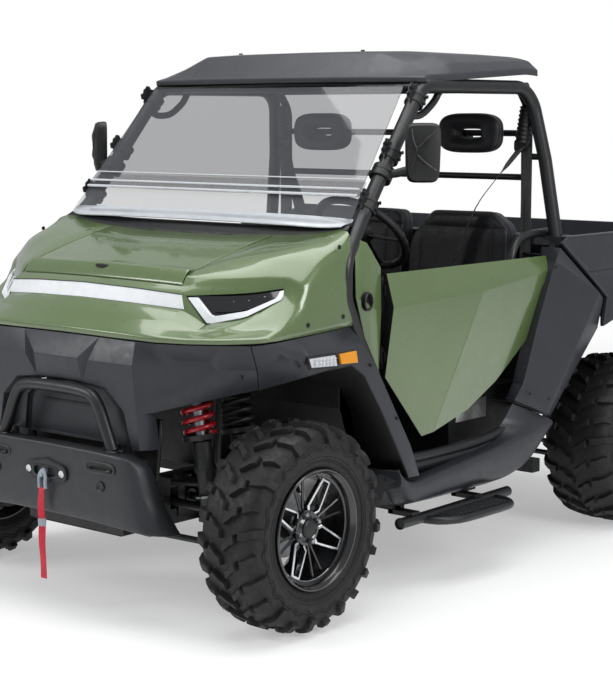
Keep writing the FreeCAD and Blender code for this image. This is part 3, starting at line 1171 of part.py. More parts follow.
def pane(z0, z1, shift):
    """One pane of the windscreen, from its lower to its upper edge, moved back by shift."""
    span = PANE_TOP_Z - PANE_FOOT_Z
    corners = []
    for z in (z0, z1):
        half = PANE_LOW_HALF_W + (PANE_TOP_HALF_W - PANE_LOW_HALF_W) * (z - PANE_FOOT_Z) / span
        corners.append((half, pane_point(z) + shift, z))
    (w0, y0, z0), (w1, y1, z1) = corners
    return ruled([[(-w0, y0, z0), (w0, y0, z0), (w0, y0 + PANE_T, z0), (-w0, y0 + PANE_T, z0)],
                  [(-w1, y1, z1), (w1, y1, z1), (w1, y1 + PANE_T, z1), (-w1, y1 + PANE_T, z1)]])


def build_glass(parts, cage):
    """Split windscreen and the clamps that hold it to the front pillars."""
    lower = pane(PANE_FOOT_Z, PANE_SPLIT_Z, 0)
    upper = pane(PANE_SPLIT_Z - PANE_OVERLAP, PANE_TOP_Z, PANE_T + PANEL_GAP)
    parts["windscreen"] = Part.makeCompound([lower, upper])
    pillar = cage_points(CAGE_FRONT_SHARES)
    foot, head = Vector(*pillar[7]), Vector(*pillar[8])
    clamps = []
    behind = (PANE_T, 2 * PANE_T + PANEL_GAP, 2 * PANE_T + PANEL_GAP)
    for share, depth in zip(CLAMP_SHARES, behind):
        at = foot + (head - foot) * share
        along = (head - foot).normalize()
        collar = rod(at - along * CLAMP_L / 2, at + along * CLAMP_L / 2, CLAMP_R)
        pane_y = pane_point(at.z) + depth + SEAT_GAP
        rise = CLAMP_L / 2
        plate, web = [], []
        for step in (-rise, rise):
            y, z = pane_y + PANE_SLOPE * step, at.z + step
            plate.append([(at.x - CLAMP_PLATE, y, z), (at.x + PANE_T, y, z), (at.x + PANE_T, y + PANE_T, z),
                          (at.x - CLAMP_PLATE, y + PANE_T, z)])
            back = at.y + PANE_SLOPE * step
            web.append([(at.x - PANE_T, y, z), (at.x + PANE_T, y, z), (at.x + PANE_T, back, z),
                        (at.x - PANE_T, back, z)])
        clamps.append(fused([collar, ruled(plate), ruled(web)]).cut(cage))
    clamps = [largest(c.cut(lower).cut(upper)) for c in clamps]
    parts["windscreen_clamps"] = Part.makeCompound([s for c in clamps for s in (c, mirrored(c))])


def roof_outer(inset):
    """Cross sections of the roof's outer face, drawn in by inset."""
    sections = []
    base_z = CAGE_TOP_Z + CAGE_R + SEAT_GAP
    lip_z = base_z + ROOF_LIP_H
    for share, rise in ROOF_STATION_SHARES:
        y = ROOF_FRONT_Y + share * (ROOF_REAR_Y - ROOF_FRONT_Y)
        top = lip_z + rise * (ROOF_TOP_Z - lip_z)
        y = min(max(y, ROOF_FRONT_Y + inset), ROOF_REAR_Y - inset)
        outline = on_both_sides([(ROOF_HALF_W - inset, base_z), (ROOF_HALF_W - inset, lip_z),
                                 (ROOF_TOP_HALF_W - inset / 2, top - inset)])
        sections.append([(x, y, z - (inset if z == base_z else 0)) for x, z in outline])
    return sections


def build_roof(parts):
    """Faceted roof shell with a rail along each side that lies on the cage."""
    shell = ruled(roof_outer(0)).cut(ruled(roof_outer(SKIN)))
    low = CAGE_TOP_Z + CAGE_R + SEAT_GAP
    out = ROOF_HALF_W - SKIN / 2
    rail = box(out - ROOF_RAIL_W, out, ROOF_RAIL_FRONT_Y, ROOF_RAIL_REAR_Y, low, low + SKIN)
    parts["roof"] = fused([shell, rail, mirrored(rail)])


def build_mirrors(parts, cage):
    outline = scaled(MIRROR_OUTLINE_SHARES, (MIRROR_X, MIRROR_Z), (MIRROR_W, MIRROR_H))
    housing = slab_y(outline, MIRROR_Y - MIRROR_T / 2, MIRROR_Y + MIRROR_T / 2)
    pillar = cage_points(CAGE_FRONT_SHARES)
    foot, head = Vector(*pillar[7]), Vector(*pillar[8])
    at = foot + (head - foot) * ((MIRROR_ARM_Z - foot.z) / (head.z - foot.z))
    arm = rod(tuple(at), (MIRROR_X, MIRROR_Y, MIRROR_ARM_Z), MIRROR_ARM_R)
    parts["mirrors"] = both_sides(fused([housing, arm]).cut(cage))


def build_doors(parts):
    """Open-top doors, each with a bore at its front edge for two hinge pins."""
    size = (DOOR_REAR_Y - DOOR_FRONT_Y, DOOR_TOP_Z - DOOR_LOW_Z)
    outline = scaled(DOOR_SHARES, (DOOR_FRONT_Y, DOOR_LOW_Z), size)
    x, y = DOOR_PIN_X, DOOR_PIN_Y
    low_end = DOOR_HINGE_LOW_Z + 2 * DOOR_PIN_DEPTH + PANEL_GAP
    high_end = DOOR_TOP_Z - DOOR_PIN_DEPTH
    bores = [rod((x, y, DOOR_HINGE_LOW_Z), (x, y, low_end), DOOR_PIN_R + PIN_GAP),
             rod((x, y, high_end), (x, y, DOOR_TOP_Z + OVERRUN), DOOR_PIN_R + PIN_GAP)]
    notch = box(DOOR_X - OVERRUN, x + OVERRUN, DOOR_FRONT_Y - OVERRUN, y + 2 * DOOR_PIN_R + PANEL_GAP,
                DOOR_LOW_Z, DOOR_HINGE_LOW_Z + PANEL_GAP)
    door = slab_x(outline, DOOR_X, DOOR_X + DOOR_T).cut(fused(bores)).cut(notch)
    parts["door_left"] = door
    parts["door_right"] = mirrored(door)


def build_kick_panels(parts, cage_clear):
    """Panels between nose and doors, with the straps that carry the doors' hinge pins."""
    rear = DOOR_FRONT_Y - PANEL_GAP
    size = (rear - KICK_FRONT_Y, KICK_TOP_Z - KICK_LOW_Z)
    panel = slab_x(scaled(KICK_SHARES, (KICK_FRONT_Y, KICK_LOW_Z), size), TUB_HALF_W, DOOR_PIN_X)
    plan = [(KICK_FRONT_X - SKIN, KICK_FRONT_Y), (KICK_FRONT_X + SKIN, KICK_FRONT_Y), (KICK_X + SKIN, rear),
            (KICK_X - SKIN, rear)]
    panel = panel.common(slab_z(plan, KICK_LOW_Z, KICK_TOP_Z))
    x, y = DOOR_PIN_X, DOOR_PIN_Y
    low, high = DOOR_HINGE_LOW_Z, DOOR_TOP_Z + PANEL_GAP
    pins = [rod((x, y, low), (x, y, low + 2 * DOOR_PIN_DEPTH), DOOR_PIN_R),
            rod((x, y, high - DOOR_PIN_DEPTH), (x, y, high), DOOR_PIN_R)]
    x0, x1 = KICK_X - SKIN, x + 2 * DOOR_PIN_R
    y0, y1 = rear - DOOR_STRAP, y + 2 * DOOR_PIN_R
    straps = [box(x0, x1, y0, y1, low - SHEET, low), box(x0, x1, y0, y1, high, high + SHEET),
              box(x0, KICK_X + 2 * SKIN, y0, rear, low - SHEET, KICK_LOW_Z + 2 * DOOR_STRAP)]
    parts["kick_panels"] = both_sides(largest(fused([panel] + straps + pins).cut(cage_clear)))


def build_sides(parts, cage_clear):
    """Sills, rear fender panels and side steps."""
    line = [(SILL_IN_X, SILL_TOP_Z), (SILL_OUT_X, SILL_EDGE_Z), (SILL_OUT_X, SILL_EDGE_Z - SILL_EDGE_H),
            (SILL_IN_X, SILL_LOW_Z)]
    sill = slab_y(strip(line, SKIN), SILL_FRONT_Y, SILL_REAR_Y)
    parts["sills"] = both_sides(sill.cut(cage_clear))
    size = (FENDER_REAR_Y - FENDER_FRONT_Y, FENDER_TOP_Z - FENDER_LOW_Z)
    fender = slab_x(scaled(FENDER_SHARES, (FENDER_FRONT_Y, FENDER_LOW_Z), size), CAGE_HALF_W, BED_HALF_W)
    plan = [(FENDER_X, FENDER_FRONT_Y), (FENDER_X + SKIN, FENDER_FRONT_Y), (FENDER_REAR_X + SKIN, FENDER_REAR_Y),
            (FENDER_REAR_X, FENDER_REAR_Y)]
    fender = fender.common(slab_z(plan, FENDER_LOW_Z, FENDER_TOP_Z))
    behind = slab_z([plan[0], plan[2], (FENDER_X, FENDER_REAR_Y)], FENDER_LOW_Z, FENDER_TOP_Z)
    bosses = [rod((CAGE_HALF_W, y, z), (BED_HALF_W, y, z), FENDER_BOSS_R).common(behind)
              for _, y, z in cage_points(CAGE_REAR_SHARES[2:4])]
    fender = fused([fender] + bosses)
    parts["rear_fenders"] = both_sides(fender.cut(cage_clear))
    x, z = STEP_X, STEP_Z
    tube = bent_tube([(x - STEP_R * 2, STEP_FRONT_Y, z), (x, STEP_FRONT_Y + STEP_SWEEP, z),
                      (x, STEP_REAR_Y - STEP_SWEEP, z), (x - STEP_R * 2, STEP_REAR_Y, z)], STEP_R, CAGE_BEND)
    front, rear = STEP_LOOP_FRONT_Y + STEP_SWEEP, STEP_LOOP_REAR_Y - STEP_SWEEP
    loop = bent_tube([(x, STEP_LOOP_FRONT_Y, z), (STEP_LOOP_X, front, STEP_LOOP_Z), (STEP_LOOP_X, rear, STEP_LOOP_Z),
                      (x, STEP_LOOP_REAR_Y, z)], STEP_LOOP_R, CAGE_BEND / 2)
    tread = box(x, STEP_LOOP_X, front, rear, STEP_LOOP_Z - SHEET / 2, STEP_LOOP_Z + SHEET / 2)
    struts = []
    length = RAIL_REAR_Y - RAIL_FRONT_Y
    for share in OUTRIGGER_SHARES[:2]:
        y = RAIL_FRONT_Y + share * length + RAIL / 2
        struts.append(box(OUTRIGGER_END_X + SEAT_GAP, x, y - STEP_R / 2, y + STEP_R / 2, z, z + STEP_R))
    parts["side_steps"] = both_sides(fused([tube, loop, tread] + struts))


def build_bed(parts):
    """Tipping bed with its side panels, wheel wells, lugs and lamps, and the tailgate."""
    size = (BED_REAR_Y - BED_SIDE_FRONT_Y, BED_TOP_Z - BED_SIDE_LOW_Z)
    outline = scaled(BED_SIDE_SHARES, (BED_SIDE_FRONT_Y, BED_SIDE_LOW_Z), size)
    half = BED_HALF_W - BED_WALL / 2
    under = BED_FLOOR_Z - BED_FLOOR_T
    floor = box(-half, half, BED_FRONT_Y, BED_REAR_Y, under, BED_FLOOR_Z)
    front = box(-half, half, BED_FRONT_Y, BED_FRONT_Y + BED_WALL, under, BED_TOP_Z)
    edge = outline[1:5]
    low_front = (BED_SIDE_FRONT_Y, edge[-1][1])
    well = slab_x(edge + [low_front], BED_WELL_X, BED_HALF_W)
    shelf = slab_x(strip(edge[::-1], SHEET), BED_WELL_X - SHEET, half)
    shelf = shelf.common(box(BED_WELL_X - SHEET, half, BED_FRONT_Y, BED_REAR_Y, under, BED_TOP_Z))
    inner = box(BED_WELL_X - SHEET, BED_WELL_X, BED_FRONT_Y, edge[2][0] + SHEET, under, BED_TOP_Z)
    over = slab_x(edge + [(edge[2][0] + BED_WALL, under), (edge[2][0] + BED_WALL, BED_TOP_Z),
                          (BED_SIDE_FRONT_Y, BED_TOP_Z)], BED_WELL_X - 2 * SHEET, half)
    inner = inner.cut(over)
    left = [slab_x(outline, BED_HALF_W - BED_WALL, BED_HALF_W), shelf, inner]
    pieces = [fused([floor, front]).cut(well).cut(mirrored(well))] + left + [mirrored(piece) for piece in left]
    y, z = BED_PIVOT_Y, BED_PIVOT_Z
    for side in (-1, 1):
        x = side * RAIL_X
        for end in (-1, 1):
            at = x + end * (LUG_W + PANEL_GAP / 2)
            pieces.append(rod((at - LUG_W / 2, y, z), (at + LUG_W / 2, y, z), LUG_R))
            pieces.append(box(at - LUG_W / 2, at + LUG_W / 2, y - LUG_R, y + LUG_R, z, under + BED_FLOOR_T / 2))
        pieces.append(rod((x - BED_PIN_REACH, y, z), (x + BED_PIN_REACH, y, z), BED_PIN_R))
    inside = BED_HALF_W - BED_WALL
    pin_y, pin_z = BED_REAR_Y - TAILGATE_T / 2, under + TAILGATE_PIN_RISE
    reach = inside + TAILGATE_PIN_DEPTH
    bore = rod((-reach, pin_y, pin_z), (reach, pin_y, pin_z), TAILGATE_PIN_R + PIN_GAP)
    bed = fused(pieces).cut(box(-inside, inside, BED_REAR_Y - TAILGATE_T - TAILGATE_GAP, BED_REAR_Y + OVERRUN,
                                under - OVERRUN, BED_TOP_Z + OVERRUN)).cut(bore)
    lamp_z = BED_TOP_Z - LAMP_H
    lamps = []
    for side in (-1, 1):
        x0, x1 = sorted((side * (inside + SKIN), side * (BED_HALF_W - SKIN)))
        lamps.append(box(x0, x1, BED_REAR_Y - LAMP_T, BED_REAR_Y, lamp_z - LAMP_H, lamp_z))
    parts["bed"] = bed.cut(lamps[0]).cut(lamps[1])
    parts["tail_lamps"] = Part.makeCompound(lamps)
    gate = inside - PANEL_GAP
    reach -= PANEL_GAP / 2
    plate = box(-gate, gate, BED_REAR_Y - TAILGATE_T, BED_REAR_Y, under, BED_TOP_Z - PANEL_GAP)
    parts["tailgate"] = fused([plate, rod((-reach, pin_y, pin_z), (reach, pin_y, pin_z), TAILGATE_PIN_R)])


def build_under(parts):
    """Frame, skid plate, drive units and hitch receiver."""
    parts["main_frame"] = main_frame()
    parts["skid_plate"] = box(-SKID_HALF_W, SKID_HALF_W, RAIL_FRONT_Y, RAIL_REAR_Y - RAIL,
                              CLEARANCE_Z, CLEARANCE_Z + SKID_T - SEAT_GAP)
    low = RAIL_TOP_Z - RAIL
    motor = box(-MOTOR_HALF_W, MOTOR_HALF_W, WHEELBASE - MOTOR_HALF_L, WHEELBASE + MOTOR_HALF_L,
                low + SEAT_GAP, low + MOTOR_H)
    diff = box(-DIFF_HALF_W, DIFF_HALF_W, -DIFF_HALF_L, DIFF_REAR_Y, low + SEAT_GAP, low + DIFF_H)
    parts["drive_units"] = Part.makeCompound([motor, diff])
    z = RAIL_MID_Z
    y0 = RAIL_REAR_Y + SEAT_GAP
    tube = box(-RECEIVER / 2, RECEIVER / 2, y0, y0 + RECEIVER_LEN, z - RECEIVER / 2, z + RECEIVER / 2)
    half = RECEIVER_HOLE / 2
    hole = box(-half, half, y0 - OVERRUN, y0 + RECEIVER_LEN + OVERRUN, z - half, z + half)
    pin_y = y0 + RECEIVER_LEN - RECEIVER_PIN_BACK
    pin = rod((-RECEIVER, pin_y, z), (RECEIVER, pin_y, z), RECEIVER_PIN_R)
    parts["hitch_receiver"] = tube.cut(hole).cut(pin)


def build():
    parts = {}
    clear = fused([s for side in cage_side(CAGE_R + SEAT_GAP) for s in (side, mirrored(side))])
    build_wheels(parts)
    build_suspension(parts)
    build_steering(parts)
    build_cage(parts)
    build_nose(parts, clear)
    build_lamps(parts)
    build_fascia(parts, clear)
    build_bumper(parts)
    build_strap(parts)
    build_cab(parts, clear)
    build_dash(parts, clear)
    build_glass(parts, clear)
    build_roof(parts)
    build_mirrors(parts, clear)
    build_doors(parts)
    build_kick_panels(parts, clear)
    build_sides(parts, clear)
    build_bed(parts)
    build_under(parts)
    return parts


def main():
    os.makedirs("parts", exist_ok=True)
    front = BUMPER_Y - FAIRLEAD_T
    middle = Vector(0, -(front + BED_REAR_Y) / 2, 0)
    for name, shape in build().items():
        shape.translate(middle)
        shape.exportStep("parts/%s.step" % name)
        box_ = shape.BoundBox
        print("%-20s solids %2d valid %s volume %10.0f x %6.0f %6.0f y %6.0f %6.0f z %6.0f %6.0f" % (
            name, len(shape.Solids), shape.isValid(), shape.Volume / 1000, box_.XMin, box_.XMax,
            box_.YMin, box_.YMax, box_.ZMin, box_.ZMax))


if __name__ == "__main__":
    main()
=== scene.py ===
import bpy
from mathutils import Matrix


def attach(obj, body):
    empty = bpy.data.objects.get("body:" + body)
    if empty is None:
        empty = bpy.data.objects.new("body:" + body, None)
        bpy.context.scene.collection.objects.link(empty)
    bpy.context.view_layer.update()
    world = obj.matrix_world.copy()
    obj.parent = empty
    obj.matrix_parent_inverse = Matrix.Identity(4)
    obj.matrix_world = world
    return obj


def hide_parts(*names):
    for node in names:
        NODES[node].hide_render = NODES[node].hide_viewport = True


bl_info = {
    "name": "Two-Seat Utility Vehicle",
    "version": (1, 0, 0),
    "blender": (4, 5, 0),
    "location": "View3D > Sidebar > Utility Vehicle",
    "description": "Dresses the solids of a two-seat side by side utility vehicle with its visible surfaces",
    "category": "Object",
}

import bpy
import bmesh
import math
import numpy as np
from mathutils import Vector

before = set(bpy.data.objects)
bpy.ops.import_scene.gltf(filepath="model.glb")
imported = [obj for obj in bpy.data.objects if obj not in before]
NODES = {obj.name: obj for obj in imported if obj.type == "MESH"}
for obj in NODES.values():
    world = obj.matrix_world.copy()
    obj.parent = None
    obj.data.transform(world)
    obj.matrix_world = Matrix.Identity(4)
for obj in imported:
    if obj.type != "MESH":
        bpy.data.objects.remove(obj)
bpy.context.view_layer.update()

# Shapes are laid out in millimetres from the front axle's line on the ground,
# as the solids are: +X the vehicle's left, -Y its front, +Z up.
AXLE_SHIFT = -1097.5
MM = 0.001
WHEELBASE = 2000.0
TYRE_RADIUS = 330.0
MERGE_GAP = 0.00008
SOLID_MERGE_GAP = 0.00002
SOFTEST_BEVEL = 25
TO_CAMERA = (0.655, -0.745, 0.13)
SIDES = ((1, "left"), (-1, "right"))
FLIP = np.array([-1.0, 1.0, 1.0])


def tone(code):
    """Linear colour of an sRGB hex value."""
    parts = np.array([int(code[i:i + 2], 16) for i in (1, 3, 5)]) / 255
    linear = np.where(parts <= 0.04045, parts / 12.92, ((parts + 0.055) / 1.055) ** 2.4)
    return (float(linear[0]), float(linear[1]), float(linear[2]), 1.0)


class VehicleSizes(bpy.types.PropertyGroup):
    """Sizes of the visible parts that can be changed."""
    lug_height: bpy.props.FloatProperty(
        name="Lug height", description="How far the tread lugs stand out of the tyre",
        default=0.017, min=0.004, max=0.03, unit="LENGTH")
    lug_pairs: bpy.props.IntProperty(name="Lugs round the tyre",
                                     description="Number of lugs on each side of the tread", default=24,
                                     min=12, max=36)
    coil_turns: bpy.props.FloatProperty(name="Spring turns",
                                        description="Turns of wire in each suspension spring", default=5.0,
                                        min=3, max=12)
    panel_edge: bpy.props.FloatProperty(
        name="Panel edge radius", description="Rounding of the folded edges of the moulded panels",
        default=0.003, min=0.0005, max=0.01, unit="LENGTH")
    seat_swell: bpy.props.FloatProperty(
        name="Seat swell", description="How far the seat foam may stand out of its cover's flat cut",
        default=0.011, min=0.0, max=0.04, unit="LENGTH")


class VehicleColours(bpy.types.PropertyGroup):
    """Colours of the visible finishes."""
    panel: bpy.props.FloatVectorProperty(
        name="Body panels", description="Colour of the gloss body panels", size=4, min=0, max=1,
        subtype="COLOR", default=tone("#596d42"))
    moulding: bpy.props.FloatVectorProperty(
        name="Dark mouldings", description="Colour of the grained plastic", size=4, min=0, max=1,
        subtype="COLOR", default=tone("#282a30"))
    tube: bpy.props.FloatVectorProperty(
        name="Tubes", description="Colour of the powder coat", size=4, min=0, max=1,
        subtype="COLOR", default=tone("#1c1d1f"))
    spring: bpy.props.FloatVectorProperty(
        name="Springs", description="Colour of the coil springs", size=4, min=0, max=1,
        subtype="COLOR", default=tone("#a3101b"))
    strap: bpy.props.FloatVectorProperty(
        name="Pull strap", description="Colour of the strap on the rope's hook", size=4, min=0, max=1,
        subtype="COLOR", default=tone("#c4122f"))


def add_node(tree, kind, inputs=None, **settings):
    """Adds a node with its settings, and sets or links its inputs."""
    node = tree.nodes.new(kind)
    for key, value in settings.items():
        setattr(node, key, value)
    for key, value in (inputs or {}).items():
        if isinstance(value, bpy.types.NodeSocket):
            tree.links.new(value, node.inputs[key])
        else:
            node.inputs[key].default_value = value
    return node


def start_material(name, **values):
    """New material whose shader's own sockets hold the values that are the same all over."""
    material = bpy.data.materials.new(name)
    material.use_nodes = True
    shader = material.node_tree.nodes["Principled BSDF"]
    for key, value in values.items():
        shader.inputs[key.replace("_", " ")].default_value = value
    return material, material.node_tree, shader


def noise(tree, place, size, detail=2.0, distortion=0.0):
    """Noise whose pattern has a size in millimetres."""
    return add_node(tree, "ShaderNodeTexNoise", {"Vector": place.outputs["Object"], "Scale": 1000 / size,
                                                 "Detail": detail, "Distortion": distortion}).outputs["Fac"]


def cells(tree, place, size, **settings):
    """Distance to the nearest of scattered points, with cells of a size in millimetres."""
    return add_node(tree, "ShaderNodeTexVoronoi", {"Vector": place.outputs["Object"], "Scale": 1000 / size},
                    **settings).outputs["Distance"]


def waves(tree, vector, size, inputs=None, **settings):
    """Regular ribs a number of millimetres apart; the wave pattern has twenty to a unit of its scale."""
    return add_node(tree, "ShaderNodeTexWave", {"Vector": vector, "Scale": 1000 / size / 20,
                                                **(inputs or {})}, **settings).outputs["Fac"]


def mottle(tree, shader, colour, deep, size, detail=4.0):
    """Slow change between two tones of the same colour over a real size in millimetres."""
    place = add_node(tree, "ShaderNodeTexCoord")
    cloud = noise(tree, place, size, detail)
    spread = add_node(tree, "ShaderNodeMapRange", {"Value": cloud, "From Min": 0.35, "From Max": 0.7})
    mix = add_node(tree, "ShaderNodeMix", {0: spread.outputs["Result"], 6: tuple(colour),
                                          7: tuple(c * deep for c in colour[:3]) + (1.0,)}, data_type="RGBA")
    tree.links.new(mix.outputs[2], shader.inputs["Base Color"])
    return place


def roughen(tree, shader, place, size, low, high):
    """Gloss that varies between two roughness values over a size in millimetres."""
    spread = add_node(tree, "ShaderNodeMapRange", {"Value": noise(tree, place, size, 3.0), "From Min": 0.3,
                                                   "From Max": 0.7, "To Min": low, "To Max": high})
    tree.links.new(spread.outputs["Result"], shader.inputs["Roughness"])


def emboss(tree, shader, height, strength, depth, coat=False):
    """Bump from a height pattern, with its depth in millimetres."""
    bump = add_node(tree, "ShaderNodeBump", {"Height": height, "Strength": strength, "Distance": depth * MM})
    tree.links.new(bump.outputs["Normal"], shader.inputs["Normal"])
    if coat:
        tree.links.new(bump.outputs["Normal"], shader.inputs["Coat Normal"])


def painted_panel(colours):
    """Injection-moulded panel, painted and clear-coated: deep soft colour under a sharp sheen with slight
    orange peel."""
    material, tree, shader = start_material("PaintedPanel_ClearCoated", Metallic=0.12, Roughness=0.3, IOR=1.5,
                                            Coat_Weight=0.9, Coat_Roughness=0.07)
    place = mottle(tree, shader, colours.panel, 0.93, 180)
    roughen(tree, shader, place, 40, 0.26, 0.36)
    emboss(tree, shader, noise(tree, place, 7, 1.0), 0.12, 0.25, coat=True)
    return material


def grained_plastic(colours, name="MouldedPolypropylene_Grained", colour=None, low=0.34, high=0.46):
    """Polypropylene moulded in a grained tool: satin dark grey with a fine leathery grain, 2 mm coarse."""
    material, tree, shader = start_material(name, IOR=1.49, Roughness=0.5)
    place = mottle(tree, shader, colour or colours.moulding, 0.84, 90)
    roughen(tree, shader, place, 25, low, high)
    grain = add_node(tree, "ShaderNodeMath", {0: cells(tree, place, 2.2), 1: noise(tree, place, 1.2)},
                     operation="ADD")
    emboss(tree, shader, grain.outputs["Value"], 0.22, 0.3)
    return material


def powder_coat(colours, name="SteelTube_PowderCoated", colour=None, low=0.33, high=0.46):
    """Steel with baked polyester powder: even satin black with a shallow pebbled skin that breaks up the
    highlight."""
    material, tree, shader = start_material(name, IOR=1.5, Roughness=0.4)
    place = mottle(tree, shader, colour or colours.tube, 0.8, 60)
    roughen(tree, shader, place, 30, low, high)
    emboss(tree, shader, noise(tree, place, 3.0), 0.16, 0.25)
    return material


def tyre_rubber():
    """Vulcanised rubber, moulded: deep matt charcoal, a little greyer and rougher on the worn high
    spots."""
    material, tree, shader = start_material("TyreRubber_Moulded", IOR=1.52, Roughness=0.6,
                                            Specular_IOR_Level=0.4)
    place = mottle(tree, shader, tone("#111112"), 0.72, 45, 8.0)
    roughen(tree, shader, place, 12, 0.5, 0.7)
    emboss(tree, shader, noise(tree, place, 2.5, 5.0), 0.3, 0.4)
    return material


def gloss_alloy():
    """Cast aluminium wheel, lacquered black: mirror-like dark face with a faint casting texture under the
    lacquer."""
    material, tree, shader = start_material("CastAlloy_BlackLacquer", IOR=1.5, Roughness=0.24,
                                            Coat_Weight=0.7, Coat_Roughness=0.06)
    place = mottle(tree, shader, tone("#111113"), 0.7, 30)
    emboss(tree, shader, noise(tree, place, 2.0, 3.0), 0.12, 0.2)
    return material


def machined_alloy():
    """Aluminium cut on a lathe: bright silver with fine tool marks that stretch the highlight."""
    material, tree, shader = start_material("Aluminium_Machined", Metallic=1.0, Roughness=0.26)
    place = mottle(tree, shader, tone("#d9dbde"), 0.88, 25)
    marks = waves(tree, place.outputs["Object"], 1.4, {"Distortion": 0.4, "Detail": 1.0}, wave_type="RINGS",
                  rings_direction="X")
    emboss(tree, shader, marks, 0.1, 0.1)
    roughen(tree, shader, place, 15, 0.2, 0.34)
    return material


def zinc_steel(name="Steel_ZincPlated", colour="#9a9da0", low=0.28, high=0.45):
    """Steel hardware, turned and zinc plated: cool grey metal with cloudy passivation and light
    scratches."""
    material, tree, shader = start_material(name, Metallic=1.0, Roughness=0.35)
    place = mottle(tree, shader, tone(colour), 0.7, 20, 6.0)
    roughen(tree, shader, place, 9, low, high)
    emboss(tree, shader, noise(tree, place, 1.5, 6.0, 1.0), 0.15, 0.1)
    return material


def coated_spring(colours):
    """Spring steel, epoxy coated: saturated gloss red with a thin soft highlight along each coil."""
    material, tree, shader = start_material("SpringSteel_EpoxyCoated", Roughness=0.25, IOR=1.5,
                                            Coat_Weight=0.4, Coat_Roughness=0.1)
    place = mottle(tree, shader, colours.spring, 0.75, 25)
    emboss(tree, shader, noise(tree, place, 3.0), 0.08, 0.2)
    return material


def clear_sheet(name, colour, alpha):
    """Extruded polycarbonate with a hard coat: smoky clear sheet with faint ripple and a crisp
    reflection."""
    material, tree, shader = start_material(name, IOR=1.58, Roughness=0.04, Alpha=alpha, Coat_Weight=0.25,
                                            Coat_Roughness=0.03)
    place = mottle(tree, shader, tone(colour), 0.95, 250)
    emboss(tree, shader, noise(tree, place, 90, 0.0), 0.05, 1.0)
    return material


def lamp_plastic(name, colour, glow=0.0, rough=0.12, coat=0.8):
    """Moulded polycarbonate or acrylic lens: clean saturated tone under a wet-looking gloss, with fine
    ribs."""
    material, tree, shader = start_material(name, IOR=1.49, Roughness=rough, Coat_Weight=coat,
                                            Coat_Roughness=0.04)
    place = mottle(tree, shader, tone(colour), 0.9, 30)
    if glow > 0:
        shader.inputs["Emission Color"].default_value = tone(colour)
        shader.inputs["Emission Strength"].default_value = glow
    emboss(tree, shader, waves(tree, place.outputs["Object"], 6.0, bands_direction="X"), 0.06, 0.3)
    return material


def seat_vinyl(name="SeatVinyl_Embossed", colour="#1d1e21"):
    """PVC-coated knit, embossed like hide: soft black with pebbled grain and a broad low sheen on the
    crowns."""
    material, tree, shader = start_material(name, IOR=1.48, Roughness=0.5, Sheen_Weight=0.15,
                                            Sheen_Roughness=0.4)
    place = mottle(tree, shader, tone(colour), 0.75, 70)
    roughen(tree, shader, place, 20, 0.4, 0.56)
    pebble, crease = cells(tree, place, 2.6, feature="SMOOTH_F1"), noise(tree, place, 40, 4.0)
    grain = add_node(tree, "ShaderNodeMath", {0: pebble, 1: crease, 2: crease}, operation="MULTIPLY_ADD")
    emboss(tree, shader, grain.outputs["Value"], 0.4, 0.5)
    return material


def woven_webbing(name, colour, thread):
    """Polyester webbing, woven in a twill: slanting ribs across the band that catch a soft sheen."""
    material, tree, shader = start_material(name, Roughness=0.62, Sheen_Weight=0.3, Sheen_Roughness=0.45)
    place = mottle(tree, shader, colour, 0.78, 15)
    turn = add_node(tree, "ShaderNodeMapping", {"Vector": place.outputs["UV"],
                                                "Rotation": (0, 0, math.radians(40))})
    ribs = waves(tree, turn.outputs["Vector"], thread, {"Distortion": 0.3}, bands_direction="X")
    emboss(tree, shader, ribs, 0.8, 0.6)
    return material


def foam_grip():
    """Self-skinning polyurethane: dull black skin, slightly leathery where hands polish it."""
    material, tree, shader = start_material("PolyurethaneGrip_SelfSkinned", IOR=1.48, Roughness=0.5)
    place = mottle(tree, shader, tone("#1a1b1d"), 0.75, 35)
    roughen(tree, shader, place, 30, 0.4, 0.6)
    emboss(tree, shader, cells(tree, place, 1.8), 0.3, 0.3)
    return material


def stage_floor():
    """Matt white studio sheet: keeps the soft shadow and fades into the backdrop."""
    material, tree, shader = start_material("StudioSheet_MattWhite", Roughness=0.9, Specular_IOR_Level=0.1,
                                            Emission_Color=(1, 1, 1, 1), Emission_Strength=0.38)
    place = add_node(tree, "ShaderNodeTexCoord")
    shade = add_node(tree, "ShaderNodeMix", {0: noise(tree, place, 500), 6: tone("#d2d2d2"),
                                             7: tone("#cecece")}, data_type="RGBA")
    tree.links.new(shade.outputs[2], shader.inputs["Base Color"])
    far = add_node(tree, "ShaderNodeVectorMath", {0: place.outputs["Object"]}, operation="LENGTH")
    fade = add_node(tree, "ShaderNodeMapRange", {"Value": far.outputs["Value"], "From Min": 3.0,
                                                 "From Max": 7.0, "To Min": 1.0, "To Max": 0.0},
                    interpolation_type="SMOOTHSTEP")
    tree.links.new(fade.outputs["Result"], shader.inputs["Alpha"])
    return material


FINISHES = {}


